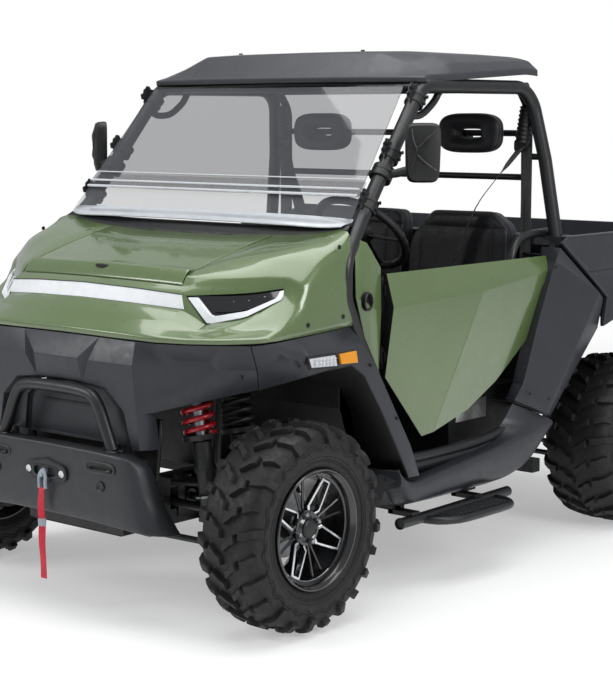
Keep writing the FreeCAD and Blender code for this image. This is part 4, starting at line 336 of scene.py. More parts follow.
def make_finishes():
    """Fills the table of finishes that the pieces share, and gives the frame's solids theirs."""
    colours = bpy.context.scene.vehicle_colours
    FINISHES.clear()
    FINISHES.update({
        "panel": painted_panel(colours),
        "moulding": grained_plastic(colours),
        "dark_moulding": grained_plastic(colours, "MouldedPolypropylene_Black", tone("#131416"), 0.42, 0.56),
        "mirror_shell": grained_plastic(colours, "MirrorShell_BlackNylon", tone("#0b0c0e"), 0.4, 0.52),
        "roof": grained_plastic(colours, "MouldedPolyethylene_RoofGrain", tone("#34363b"), 0.36, 0.48),
        "tube": powder_coat(colours),
        "plate": powder_coat(colours, "SteelPlate_PowderCoated", tone("#26282c"), 0.36, 0.48),
        "chassis": powder_coat(colours, "SteelChassis_PowderCoated", tone("#141516"), 0.4, 0.55),
        "tyre": tyre_rubber(),
        "alloy": gloss_alloy(),
        "machined": machined_alloy(),
        "steel": zinc_steel(),
        "bolt": zinc_steel("Steel_BlackOxide", "#3a3b3d", 0.35, 0.5),
        "casting": zinc_steel("Aluminium_SandCast", "#6d7073", 0.45, 0.65),
        "spring": coated_spring(colours),
        "upper_glass": clear_sheet("Polycarbonate_SmokeSheet", "#4a4c50", 0.43),
        "lower_glass": clear_sheet("Polycarbonate_ClearSheet", "#6d7074", 0.26),
        "deflector": lamp_plastic("AcrylicDeflector_Pale", "#b4b8bd", 0.0, 0.16),
        "alloy_label": zinc_steel("LabelPlate_Anodised", "#c9cbc8", 0.35, 0.5),
        "brass": zinc_steel("Bolt_YellowPassivated", "#b08a4c", 0.25, 0.4),
        "light": lamp_plastic("AcrylicLightGuide_Frosted", "#d6d9dc", 0.22, 0.5, 0.0),
        "lens": lamp_plastic("PolycarbonateLens_Smoked", "#0c0d10", 0.0, 0.06),
        "clear_lens": lamp_plastic("AcrylicReflector_Clear", "#c9ccd0", 0.05),
        "amber": lamp_plastic("AcrylicReflector_Amber", "#d98c10", 0.08),
        "red_lens": lamp_plastic("AcrylicLens_Red", "#8a0d12", 0.05),
        "mirror": zinc_steel("MirrorGlass_Silvered", "#e4e7ea", 0.02, 0.05),
        "vinyl": seat_vinyl(),
        "webbing": woven_webbing("SeatBeltWebbing_Twill", tone("#1e1f21"), 2.5),
        "strap": woven_webbing("PullStrapWebbing_Plain", colours.strap, 2.5),
        "rope": woven_webbing("SyntheticRope_Braided", tone("#9aa3ad"), 4.0),
        "grip": foam_grip(),
        "battery": grained_plastic(colours, "BatteryCase_GlassFilledNylon", tone("#2a2d33"), 0.4, 0.55),
    })
    finish_nodes()


def flat(points):
    """Points as one list of rows."""
    return np.asarray(points, float).reshape(-1, 3)


def grid_faces(rows, cols, wrap_rows=False, wrap_cols=False):
    """Four-sided faces between neighbouring points of a grid of rows and columns."""
    i, j = np.meshgrid(np.arange(rows - (not wrap_rows)), np.arange(cols - (not wrap_cols)), indexing="ij")
    up, over = (i + 1) % rows, (j + 1) % cols
    corners = np.stack([i * cols + j, i * cols + over, up * cols + over, up * cols + j], -1)
    return corners.reshape(-1, 4).tolist()


def looped(rings, wrap=False, first=False, last=False):
    """Shape from closed loops with equal numbers of points, each joined to the next. The last joins the
    first if wrapped, and either end can be closed with a face."""
    count = len(rings[0])
    faces = grid_faces(len(rings), count, wrap, True)
    if first:
        faces.append(list(range(count))[::-1])
    if last:
        faces.append([(len(rings) - 1) * count + k for k in range(count)])
    return flat(rings), faces


def strip(*lines):
    """Surface between neighbouring lines with equal numbers of points."""
    return flat(np.stack(lines, 1)), grid_faces(len(lines[0]), len(lines))


def joined(shapes):
    """One list of points and faces from several."""
    points, faces, start = [], [], 0
    for p, f in shapes:
        p = flat(p)
        points.append(p)
        faces += [[k + start for k in face] for face in f]
        start += len(p)
    return np.concatenate(points), faces


def mirrored(shape):
    """The same shape on the vehicle's other side."""
    points, faces = shape
    return flat(points) * FLIP, [list(reversed(face)) for face in faces]


def two_sided(shapes):
    """Shapes of the vehicle's left, then their mirror images."""
    return shapes + [mirrored(shape) for shape in shapes]


def moved(shape, step):
    """The shape moved by a step."""
    return flat(shape[0]) + np.asarray(step, float), shape[1]


def corner_weights(shares, steps):
    """Rows of weights that turn a line of control points into a line with rounded corners. Each inner
    point is replaced by an arc of a parabola that leaves the two runs at its share of them, or kept where
    it is 0."""
    count = len(shares)
    rows = []
    for i, share in enumerate(shares):
        t = np.linspace(0, 1, steps) if 0 < i < count - 1 and share > 0 else np.array([0.5])
        share = share if len(t) > 1 else 0.0
        row = np.zeros((len(t), count))
        row[:, i] = (1 - share) * ((1 - t) ** 2 + t ** 2) + 2 * t * (1 - t)
        if share > 0:
            row[:, i - 1] = share * (1 - t) ** 2
            row[:, i + 1] = share * t ** 2
        if len(t) == 1:
            row[:] = 0
            row[:, i] = 1
        rows.append(row)
    return np.concatenate(rows)


def skin(net, row_shares, col_shares, steps=5):
    """Surface through a net of control points: every line of the net has its corners rounded by its
    shares."""
    rows, cols = corner_weights(row_shares, steps), corner_weights(col_shares, steps)
    surface = np.einsum("ai,bj,ijk->abk", rows, cols, np.asarray(net, float))
    return surface, grid_faces(*surface.shape[:2])


def sheet(net, row_shares, col_shares, steps=5):
    """The surface through a net, as a shape."""
    surface, faces = skin(net, row_shares, col_shares, steps)
    return flat(surface), faces


def whole_width(net):
    """Net across the vehicle from the net of its left half, whose first column is on the middle."""
    net = np.asarray(net, float)
    return np.concatenate([(net * FLIP)[:, :0:-1], net], axis=1)


def whole_shares(shares, middle):
    """Corner shares across the vehicle from those of its left half."""
    return list(shares[:0:-1]) + [middle] + list(shares[1:])


def curved(points, share=0.3, steps=6):
    """Line with its corners rounded by a share of their runs."""
    points = np.asarray(points, float)
    return corner_weights([0] + [share] * (len(points) - 2) + [0], steps) @ points


def tube(path, radius, sides=14, closed=False, squash=1.0):
    """Circle carried square to a path: centre line plus the cosine and sine of the turn along two cross
    directions. The cross directions are turned from each station to the next by the least amount. Radius
    may vary."""
    path = np.asarray(path, float)
    ahead = np.roll(path, -1, 0) - np.roll(path, 1, 0)
    if not closed:
        ahead[0] = path[1] - path[0]
        ahead[-1] = path[-1] - path[-2]
    ahead /= np.linalg.norm(ahead, axis=1)[:, None]
    first = np.eye(3)[np.argmin(abs(ahead[0]))]
    across = [first - ahead[0] * (first @ ahead[0])]
    for way in ahead[1:]:
        last = across[-1] / np.linalg.norm(across[-1])
        across.append(last - way * (last @ way))
    across = np.array(across)
    across /= np.linalg.norm(across, axis=1)[:, None]
    over = np.cross(ahead, across)
    turn = np.linspace(0, 2 * np.pi, sides, endpoint=False)
    size = np.broadcast_to(np.asarray(radius, float), len(path))[:, None, None]
    rings = path[:, None] + size * (np.cos(turn)[None, :, None] * across[:, None]
                                    + squash * np.sin(turn)[None, :, None] * over[:, None])
    return looped(rings, closed, not closed, not closed)


def round_axis(axis, steps):
    """The axis as a unit vector, and unit vectors square to it at equal turns: the cosine and sine of the
    turn along two cross directions."""
    axis = np.asarray(axis, float) / np.linalg.norm(axis)
    across = np.cross(axis, np.eye(3)[np.argmin(abs(axis))])
    across /= np.linalg.norm(across)
    turn = np.linspace(0, 2 * np.pi, steps, endpoint=False)
    return axis, np.cos(turn)[:, None] * across + np.sin(turn)[:, None] * np.cross(axis, across)


def turned(profile, centre, axis=(1, 0, 0), steps=48, closed=False):
    """Profile of (distance along the axis, radius) pairs, carried once round the axis."""
    profile = np.asarray(profile, float)
    axis, spin = round_axis(axis, steps)
    points = profile[None, :, :1] * axis + profile[None, :, 1:] * spin[:, None] + np.asarray(centre, float)
    return flat(points), grid_faces(steps, len(profile), True, closed)


def prism(outline, low, high, axis=0):
    """Outline of pairs, carried along one axis from low to high, with both ends closed."""
    return looped([np.insert(np.asarray(outline, float), axis, at, axis=1) for at in (low, high)], False,
                  True, True)


def block(low, high):
    """Straight-sided block between two corners."""
    (x0, y0, z0), (x1, y1, z1) = low, high
    return prism([(y0, z0), (y1, z0), (y1, z1), (y0, z1)], x0, x1)


def wall(surface, thickness, direction):
    """Closed sheet from a grid of points: the grid and its copy set back along a direction."""
    rows, cols = surface.shape[:2]
    back = surface - np.asarray(direction, float) * thickness
    faces = np.array(grid_faces(rows, cols))
    count = rows * cols
    rim = np.concatenate([np.arange(cols), np.arange(1, rows) * cols + cols - 1,
                          (rows - 1) * cols + np.arange(cols - 2, -1, -1), np.arange(rows - 2, 0, -1) * cols])
    after = np.roll(rim, -1)
    edge = np.stack([after, rim, rim + count, after + count], -1)
    all_faces = faces.tolist() + (faces[:, ::-1] + count).tolist() + edge.tolist()
    return np.concatenate([flat(surface), flat(back)]), all_faces


def folded(outlines):
    """Flat facets that share their corners, each given as its corner points; equal corners are merged
    later."""
    return joined([(np.asarray(o, float), [list(range(len(o)))]) for o in outlines])


def domes(places, way, radius, height, sides=8):
    """Low round heads, all alike: two rings and a flat crown over each place."""
    way, ring = round_axis(way, sides)
    head = looped([ring * radius, ring * radius + way * height * 0.6, ring * radius * 0.7 + way * height],
                  last=True)
    return joined([moved(head, place) for place in places])


def shown(name, mesh, angle):
    """New object of a mesh in the scene, smooth but for the edges that turn by more than the angle."""
    mesh.polygons.foreach_set("use_smooth", np.ones(len(mesh.polygons), bool))
    mesh.set_sharp_from_angle(angle=math.radians(angle))
    piece = bpy.data.objects.new(name, mesh)
    bpy.context.scene.collection.objects.link(piece)
    return piece


def round_edges(piece, width, angle):
    """Rounds the edges that turn by more than the angle; the width is in millimetres."""
    edge = piece.modifiers.new("Edge", "BEVEL")
    edge.width = width * MM
    edge.segments = 2
    edge.limit_method = "ANGLE"
    edge.angle_limit = math.radians(angle)


def add_piece(name, groups, body, slot=None, bevel=0.0, replaces=(), angle=32, thick=0.0, merge=True,
              facing=None):
    """Puts shapes into one mesh object in metres, each group of shapes with its own finish. Doubles are
    merged and closed shapes turned outward; thickness, rounded edges and smoothing are modifiers."""
    shapes, finish_of = [], []
    for index, (finish, group) in enumerate(groups):
        for shape in group:
            shapes.append(shape)
            finish_of += [index] * len(shape[1])
    points, faces = joined(shapes)
    points = (points + (0, AXLE_SHIFT, 0)) * MM
    mesh = bpy.data.meshes.new(name)
    mesh.from_pydata(points.tolist(), [], faces)
    for finish, _ in groups:
        mesh.materials.append(FINISHES[finish])
    mesh.polygons.foreach_set("material_index", np.array(finish_of, np.int32))
    work = bmesh.new()
    work.from_mesh(mesh)
    if merge:
        bmesh.ops.remove_doubles(work, verts=work.verts, dist=MERGE_GAP)
    bmesh.ops.recalc_face_normals(work, faces=work.faces)
    if facing is not None:
        total = sum((f.normal * f.calc_area() for f in work.faces), Vector())
        if total.dot(Vector(facing)) < 0:
            bmesh.ops.reverse_faces(work, faces=work.faces)
    work.to_mesh(mesh)
    work.free()
    piece = shown(name, mesh, angle)
    if thick:
        shell = piece.modifiers.new("Wall", "SOLIDIFY")
        shell.thickness = thick * MM
        shell.offset = -1
        shell.use_even_offset = True
    if bevel:
        round_edges(piece, bevel, min(SOFTEST_BEVEL, angle))
    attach(piece, body)
    if replaces:
        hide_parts(*replaces)
    return piece


def tread_profile(half_width, height):
    """Right half of the carcass's outer face as (x, radius) pairs, from the tread's middle to the bead."""
    crown = TYRE_RADIUS - height
    shares = np.array([(0.0, crown), (0.45, crown - 1), (0.72, crown - 5), (0.86, crown - 13),
                       (0.95, crown - 28), (0.985, 268.0), (1.0, 240.0), (0.97, 214.0), (0.90, 197.0),
                       (0.86, 190.0), (0.80, 180.0)])
    return shares * (half_width, 1.0)


def along_profile(profile, distance, height):
    """Point at a distance along a profile and a height square to it, worked out by linear interpolation."""
    run = np.concatenate([[0], np.cumsum(np.linalg.norm(np.diff(profile, axis=0), axis=1))])
    x = np.interp(distance, run, profile[:, 0])
    r = np.interp(distance, run, profile[:, 1])
    ahead = np.stack([np.interp(distance + 6, run, profile[:, 0])
                      - np.interp(distance - 6, run, profile[:, 0]),
                      np.interp(distance + 6, run, profile[:, 1])
                      - np.interp(distance - 6, run, profile[:, 1])], -1)
    ahead /= np.linalg.norm(ahead, axis=-1)[..., None] + 1e-9
    return x - ahead[..., 1] * height, r + ahead[..., 0] * height


def lugs(profile, outline, height, turns, radius, side):
    """Rubber blocks round one side of a tyre. The outline has points (distance round, distance across) in
    two rows; each block is three loops of it, at its foot, under its edge and on its crown, set round by
    turns."""
    outline = np.array(outline, float)
    count = outline.shape[1]
    loop = np.concatenate([outline[0], outline[1][::-1]])
    middle = loop.mean(0)
    inset = middle + (loop - middle) * (1 - 5.0 / np.linalg.norm(loop - middle, axis=1).clip(12)[:, None])
    levels = np.stack([loop, middle + (inset - middle) * 1.06, inset])
    heights = np.array([-3.0, height - 3.0, height])[:, None] * np.ones(len(loop))
    x, r = along_profile(profile, levels[..., 1], heights)
    angle = levels[..., 0] / radius
    spin = np.asarray(turns, float)[:, None, None] + angle[None]
    points = np.stack([np.broadcast_to(side * x, spin.shape), r * np.sin(spin), r * np.cos(spin)], -1)
    ring = grid_faces(3, 2 * count, False, True)
    top = 4 * count + np.stack([np.arange(count - 1), np.arange(1, count),
                                2 * count - 2 - np.arange(count - 1), 2 * count - 1 - np.arange(count - 1)],
                               -1)
    one = ring + top.tolist()
    size = 6 * count
    faces = (np.array(one)[None] + (np.arange(len(turns)) * size)[:, None, None]).reshape(-1, 4).tolist()
    return flat(points), faces


def make_tyre(name, centre, width, sizes, body):
    """Mud tyre: carcass turned round the wheel's axis, slanting tread blocks in two rows on each side,
    blocks that wrap the shoulder, two zigzag ribs and thin rings on the sidewall."""
    half = width / 2
    height = sizes.lug_height / MM
    profile = tread_profile(half, height)
    rounded = corner_weights([0] + [0.4] * (len(profile) - 2) + [0], 4) @ profile
    body_line = np.concatenate([rounded[::-1] * (-1, 1), rounded[1:]])
    inner = np.concatenate([body_line[:1] + (6, 0), body_line * (0.86, 1) - (0, 12), body_line[-1:] - (6, 0)])
    section = np.concatenate([body_line, inner[::-1]])
    shapes = [turned(section, (0, 0, 0), steps=120, closed=True)]
    count = sizes.lug_pairs
    radius = TYRE_RADIUS - height
    turns = np.arange(count) * 2 * np.pi / count
    wide = half / 114.0
    around = np.linspace(0, 2 * np.pi, 288, endpoint=False)
    centre_bar = [[(-26, 3 * wide), (-13, 22 * wide), (0, 40 * wide), (8, 54 * wide)],
                  [(0, 3 * wide), (14, 22 * wide), (29, 38 * wide), (36, 50 * wide)]]
    shoulder_long = [[(-24, 60 * wide), (-22, 84 * wide), (-12, 106 * wide), (-10, 138 * wide)],
                     [(2, 58 * wide), (9, 84 * wide), (18, 106 * wide), (20, 134 * wide)]]
    shoulder_short = [[(-28, 66 * wide), (-20, 84 * wide), (-14, 100 * wide), (-12, 118 * wide)],
                      [(-2, 62 * wide), (8, 82 * wide), (16, 98 * wide), (18, 114 * wide)]]
    step = np.pi / count
    for side in (1, -1):
        shift = 0 if side > 0 else step
        shapes.append(lugs(profile, centre_bar, height, turns + shift, radius, side))
        shapes.append(lugs(profile, shoulder_long, height - 1, (turns + shift + step)[::2], radius, side))
        shapes.append(lugs(profile, shoulder_short, height - 1, (turns + shift + step)[1::2], radius, side))
        zigzag = np.clip(np.abs(((around - shift) * count / (2 * np.pi) * 2) % 2 - 1) * 2.4 - 0.7, 0, 1)
        for base, swing, thick in ((137, 11, 3.2), (147, 11, 2.0)):
            at = base * wide + zigzag * swing
            across = np.stack([at - 3, at, at + 3], -1)
            rise = np.array([-1.0, thick, -1.0])[None] * np.ones_like(across)
            x, r = along_profile(profile, across, rise)
            rib = np.stack([side * x, r * np.sin(around)[:, None], r * np.cos(around)[:, None]], -1)
            shapes.append((flat(rib), grid_faces(len(around), 3, True, False)))
        for at in (176, 186, 192):
            line = np.array([at - 1.6, at, at + 1.6]) * wide
            x, r = along_profile(profile, line, np.array([-0.6, 1.6, -0.6]))
            shapes.append(turned(np.stack([side * x, r], -1), (0, 0, 0), steps=96))
    add_piece(name, [("tyre", [moved(s, centre) for s in shapes])], body, "tyre", merge=False, angle=28,
              replaces=(name.replace("tread", "tyre"),))


def spoke_frame(turn, side, face_x, depth):
    """One window-shaped spoke: a six-cornered loop drawn in the wheel's plane, given a bar section, and
    turned. Returns the black body of the bar and its machined front."""
    outer = np.array([(-13, 44), (-32, 63), (-21, 161), (21, 161), (32, 63), (13, 44)], float)
    inner = np.array([(-9, 52), (-24, 67), (-14, 153), (14, 153), (24, 67), (9, 52)], float)
    fall = lambda loop: face_x - 20 * (1 - np.clip((loop[:, 1] - 46) / 70, 0, 1))
    spin = np.array([(math.cos(turn), math.sin(turn)), (-math.sin(turn), math.cos(turn))])

    def layer(loop, back):
        flat_loop = loop @ spin
        return np.column_stack([side * (fall(loop) - back), side * flat_loop[:, 0], flat_loop[:, 1]])

    edge = 2.2
    centre = outer.mean(0)
    lip_out = outer + (centre - outer) / np.linalg.norm(centre - outer, axis=1)[:, None] * edge
    lip_in = inner - (centre - inner) / np.linalg.norm(centre - inner, axis=1)[:, None] * edge * 0.4
    back = looped([layer(inner, depth), layer(outer, depth), layer(outer, 0.0)])
    inside = looped([layer(inner, 0.0), layer(inner, depth)])
    front = looped([layer(outer, 0.0), layer(lip_out, -1.2), layer(lip_in, -1.2), layer(inner, 0.0)])
    return joined([back, inside]), front


def make_rim(name, centre, width, side, body):
    """Alloy wheel: barrel with stepped lips, four window spokes with bright machined faces, pairs of thin
    ribs between them, hub with four nuts and a plain cap, brake disc behind."""
    def lathe(profile, steps, at=(0, 0, 0), closed=False):
        return turned([(side * x, r) for x, r in profile], at, steps=steps, closed=closed)

    half = width / 2
    lip = half + 8
    face_x = half - 24
    barrel = [(lip - 3, 190.5), (lip, 188), (lip, 184), (lip - 5, 181), (lip - 9, 176), (half - 8, 172),
              (half - 20, 170), (half - 22, 163), (half - 60, 158), (0, 154), (-half + 40, 156),
              (-half + 12, 170), (-half - 2, 181), (-lip, 184), (-lip, 190), (-half + 1, 190.5),
              (-half + 3, 179.5), (-half + 30, 178.0), (0, 166), (half - 30, 176), (half - 4, 179.5),
              (half, 190.5)]
    black = [lathe(barrel, 96, closed=True)]
    bright = []
    for i in range(4):
        turn = math.radians(-28 + 90 * i)
        body_bar, front = spoke_frame(turn * side, side, face_x, 16)
        black.append(body_bar)
        bright.append(front)
        for spread in (-0.135, 0.135):
            way = -turn * side + math.radians(45) + spread
            inner_end = np.array([side * (face_x - 26), 40 * math.sin(way - spread * 0.6),
                                  40 * math.cos(way - spread * 0.6)])
            outer_end = np.array([side * (face_x - 14), 160 * math.sin(way), 160 * math.cos(way)])
            path = np.linspace(inner_end, outer_end, 4)
            black.append(tube(path, np.array([5.5, 5.0, 4.6, 5.0]), 6))
    hub = [(face_x - 50, 46), (face_x - 22, 52), (face_x - 17, 56), (face_x - 13, 54), (face_x - 12, 46),
           (face_x - 16, 40), (face_x - 12, 34), (face_x - 10, 31)]
    black.append(lathe(hub, 40))
    cap = [(face_x - 14, 31), (face_x - 5, 30.5), (face_x - 2, 28), (face_x + 1, 20), (face_x + 2, 0.01)]
    dark = [lathe(cap, 40)]
    nuts = []
    for i in range(4):
        way = math.radians(28 + 90 * i + 45) * side
        at = np.array([0, 47 * math.sin(way), 47 * math.cos(way)])
        cone = [(face_x - 16, 10.5), (face_x - 6, 9.0), (face_x - 2, 7.5), (face_x + 1, 4.5),
                (face_x + 2, 0.01)]
        nuts.append(lathe(cone, 6, at))
        black.append(lathe([(face_x - 15, 15), (face_x - 11, 14), (face_x - 12, 11)], 16, at))
    # Bright arc in the machined finish only along the lower part of the lip: a painted reflection there, not
    # a machined ring.
    arc = np.linspace(math.radians(150), math.radians(215), 24)
    lower_lip_glint = np.column_stack([np.full(24, side * (face_x + 3)), side * 161.5 * np.sin(arc),
                               161.5 * np.cos(arc)])
    bright.append(tube(lower_lip_glint, 1.5, 6))
    steel = [lathe([(-24, 40), (-24, 105), (-18, 105), (-18, 40)], 48, closed=True)]
    dark.append(lathe([(-24, 23), (face_x - 30, 23), (face_x - 30, 46), (-24, 46)], 32, closed=True))
    steel.append(tube([(side * (half - 14), 12, 166), (side * (half + 2), 14, 160)], 3.0, 8))
    groups = [("alloy", black), ("machined", bright), ("steel", nuts + steel), ("chassis", dark)]
    groups = [(finish, [moved(s, centre) for s in shapes]) for finish, shapes in groups]
    add_piece(name, groups, body, "rim_black", merge=False, angle=30,
              replaces=(name.replace("alloy", "rim"),))


STRAP_ROUTE = ((-0.002, -1.4695, 0.404), (-0.008, -1.4715, 0.345), (-0.004, -1.4675, 0.285),
               (-0.011, -1.4655, 0.222), (-0.006, -1.4635, 0.160), (-0.010, -1.4595, 0.102))


def strap_line():
    """Points read off the strap's own spline: a smooth curve pulled towards the route's points."""
    curve = bpy.data.curves.new("strap_route", "CURVE")
    curve.dimensions = "3D"
    spline = curve.splines.new("NURBS")
    spline.points.add(len(STRAP_ROUTE) - 1)
    spline.points.foreach_set("co", np.column_stack([STRAP_ROUTE, np.ones(len(STRAP_ROUTE))]).ravel())
    spline.order_u = 3
    spline.use_endpoint_u = True
    curve.resolution_u = 10
    holder = bpy.data.objects.new("strap_route", curve)
    mesh = bpy.data.meshes.new_from_object(holder)
    line = np.zeros(len(mesh.vertices) * 3, np.float32)
    mesh.vertices.foreach_get("co", line)
    bpy.data.objects.remove(holder)
    bpy.data.curves.remove(curve)
    bpy.data.meshes.remove(mesh)
    return line.reshape(-1, 3).astype(float)


def ribbon(line, width, thickness, twist):
    """Flat band along a line: an oblong section of eight points, its wide direction turned by twist at each
    station. Also gives every point's place along and across the band for the weave."""
    line = np.asarray(line, float)
    ahead = np.gradient(line, axis=0)
    ahead /= np.linalg.norm(ahead, axis=1)[:, None]
    side = np.cross(ahead, (0, 1.0, 0))
    side /= np.linalg.norm(side, axis=1)[:, None]
    front = np.cross(side, ahead)
    twist = np.asarray(twist, float)[:, None]
    wide = side * np.cos(twist) + front * np.sin(twist)
    deep = np.cross(ahead, wide)
    section = np.array([(-1, -0.6), (-0.6, -1), (0.6, -1), (1, -0.6), (1, 0.6), (0.6, 1), (-0.6, 1),
                        (-1, 0.6)])
    across = section[:, 0] * width / 2
    depth = section[:, 1] * thickness / 2
    rings = line[:, None] + across[None, :, None] * wide[:, None] + depth[None, :, None] * deep[:, None]
    run = np.concatenate([[0], np.cumsum(np.linalg.norm(np.diff(line, axis=0), axis=1))])
    place = np.stack([np.broadcast_to(across, rings.shape[:2]),
                      np.broadcast_to(run[:, None], rings.shape[:2])], -1)
    return (*looped(rings, False, True, True), place.reshape(-1, 2))


def lay_pattern(piece, places):
    """Gives a band's points their own map, in metres along and across, which the weave follows."""
    mesh = piece.data
    corner = np.zeros(len(mesh.loops), np.int32)
    mesh.loops.foreach_get("vertex_index", corner)
    layer = mesh.uv_layers.new(name="Band")
    layer.data.foreach_set("uv", np.asarray(places, np.float32)[corner].ravel())


def make_strap():
    """Red pull strap below the hook, with its sewn loop, tag and grey rope eye."""
    line = strap_line()
    share = np.linspace(0, 1, len(line))
    twist = 0.35 * np.sin(share * 5.0) + 0.5 * share
    points, faces, places = ribbon(line / MM - (0, AXLE_SHIFT, 0), 24.0, 3.0, twist)
    strap = add_piece("pull_strap", [("strap", [(points, faces)])], "body", "strap_red",
                      replaces=("winch_strap",), merge=False)
    lay_pattern(strap, places * MM)
    span = slice(int(len(line) * 0.30), int(len(line) * 0.42))
    tag_points, tag_faces, tag_places = ribbon(line[span] / MM - (0, AXLE_SHIFT, 0), 26.0, 5.2, twist[span])
    tag = add_piece("strap_tag", [("rope", [(tag_points, tag_faces)])], "body", merge=False)
    lay_pattern(tag, tag_places * MM)
    turn = np.linspace(-0.3, math.pi + 0.3, 18)
    eye = np.column_stack([-2 + 15 * np.cos(turn), -370 + 2 * np.sin(turn), 432 + 26 * np.sin(turn)])
    rope = np.concatenate([[(-16, -370, 402)], eye[::-1], [(14, -370, 402)]])
    eye_points, eye_faces = tube(curved(rope, 0.4, 3), 5.5, 10)
    up = np.array([(0, -352, 456), (-3, -364, 462), (-4, -371, 456), (-3, -372, 440)])
    lead_points, lead_faces = tube(curved(up, 0.4, 5), 6.0, 10)
    loop = add_piece("rope_eye", [("rope", [(eye_points, eye_faces), (lead_points, lead_faces)])], "body",
                     replaces=("winch_hook",), merge=False)
    lay_pattern(loop, np.concatenate([eye_points[:, [0, 2]], lead_points[:, [0, 2]]]) * MM)


def make_wheels():
    """All four wheels, each tyre and rim about its own hub."""
    sizes = bpy.context.scene.vehicle_sizes
    for axle, y, reach, wide in (("front", 0.0, 736.0, 228.0), ("rear", WHEELBASE, 710.0, 280.0)):
        for side, word in SIDES:
            centre = (side * reach, y, TYRE_RADIUS)
            body = f"wheel_{axle}_{word}"
            make_tyre(f"tread_{axle}_{word}", centre, wide, sizes, body)
            make_rim(f"alloy_{axle}_{word}", centre, wide - 24 - 10 * (axle == "rear"), side, body)


# Net of the nose's left half. Rows run from the cowl down to the lower edge, and columns
# from the middle out to the corner and back along the side.
NOSE_NET = np.array([[(0, 298, 1190), (230, 303, 1191), (384, 316, 1198), (470, 328, 1203),
                      (560, 346, 1212), (632, 362, 1224), (668, 350, 1222), (684, 340, 1214),
                      (692, 336, 1206)], [(0, 95, 1150), (230, 98, 1149), (380, 100, 1146),
                                          (470, 108, 1150), (570, 128, 1160), (645, 162, 1156),
                                          (688, 190, 1136), (699, 262, 1140), (700, 330, 1150)],
                     [(0, -98, 1099), (230, -95, 1097), (374, -87, 1093), (440, -54, 1092), (560, 26, 1092),
                      (642, 90, 1087), (694, 112, 1066), (703, 205, 1075), (703, 330, 1085)],
                     [(0, -126, 1067), (230, -123, 1065), (380, -112, 1060), (420, -88, 1060),
                      (560, 14, 1062), (640, 88, 1068), (697, 104, 1052), (705, 205, 1056),
                      (704, 332, 1062)], [(0, -178, 1052), (230, -168, 1046), (396, -136, 1034),
                                          (404, -122, 1032), (560, 4, 1040), (632, 82, 1054),
                                          (699, 98, 1038), (706, 200, 1036), (705, 334, 1040)],
                     [(0, -192, 1008), (230, -182, 1003), (402, -142, 990), (472, -104, 946),
                      (575, -38, 966), (648, 60, 1022), (702, 78, 990), (707, 190, 990), (705, 336, 990)],
                     [(0, -250, 950), (230, -244, 948), (402, -214, 944), (486, -168, 926), (590, -96, 932),
                      (662, -24, 942), (706, -6, 942), (709, 160, 952), (706, 338, 958)],
                     [(0, -282, 920), (230, -280, 918), (412, -268, 914), (500, -226, 912),
                      (590, -168, 912), (670, -104, 915), (708, -70, 918), (710, 140, 924), (706, 340, 934)],
                     [(0, -280, 903), (230, -278, 901), (412, -265, 899), (500, -222, 897),
                      (590, -164, 897), (668, -100, 900), (704, -68, 904), (706, 140, 910), (702, 340, 920)],
                     ], float)
NOSE_ROWS = [0, 0.35, 0.30, 0.25, 0, 0, 0.3, 0.22, 0]
NOSE_COLS = [0, 0, 0, 0, 0.35, 0, 0.42, 0.3, 0]
NET_STEPS = 6


def first_line(shares, index, steps=NET_STEPS):
    """Number of the rounded line that a control line starts at."""
    return sum(steps if 0 < i < len(shares) - 1 and shares[i] > 0 else 1 for i in range(index))


def without(faces, count_cols, rows, cols):
    """Faces of a grid less those between two rows and two columns."""
    kept = np.array(faces)
    i, j = kept[:, 0] // count_cols, kept[:, 0] % count_cols
    inside = (i >= rows[0]) & (i < rows[1]) & (j >= cols[0]) & (j < cols[1])
    return kept[~inside].tolist()


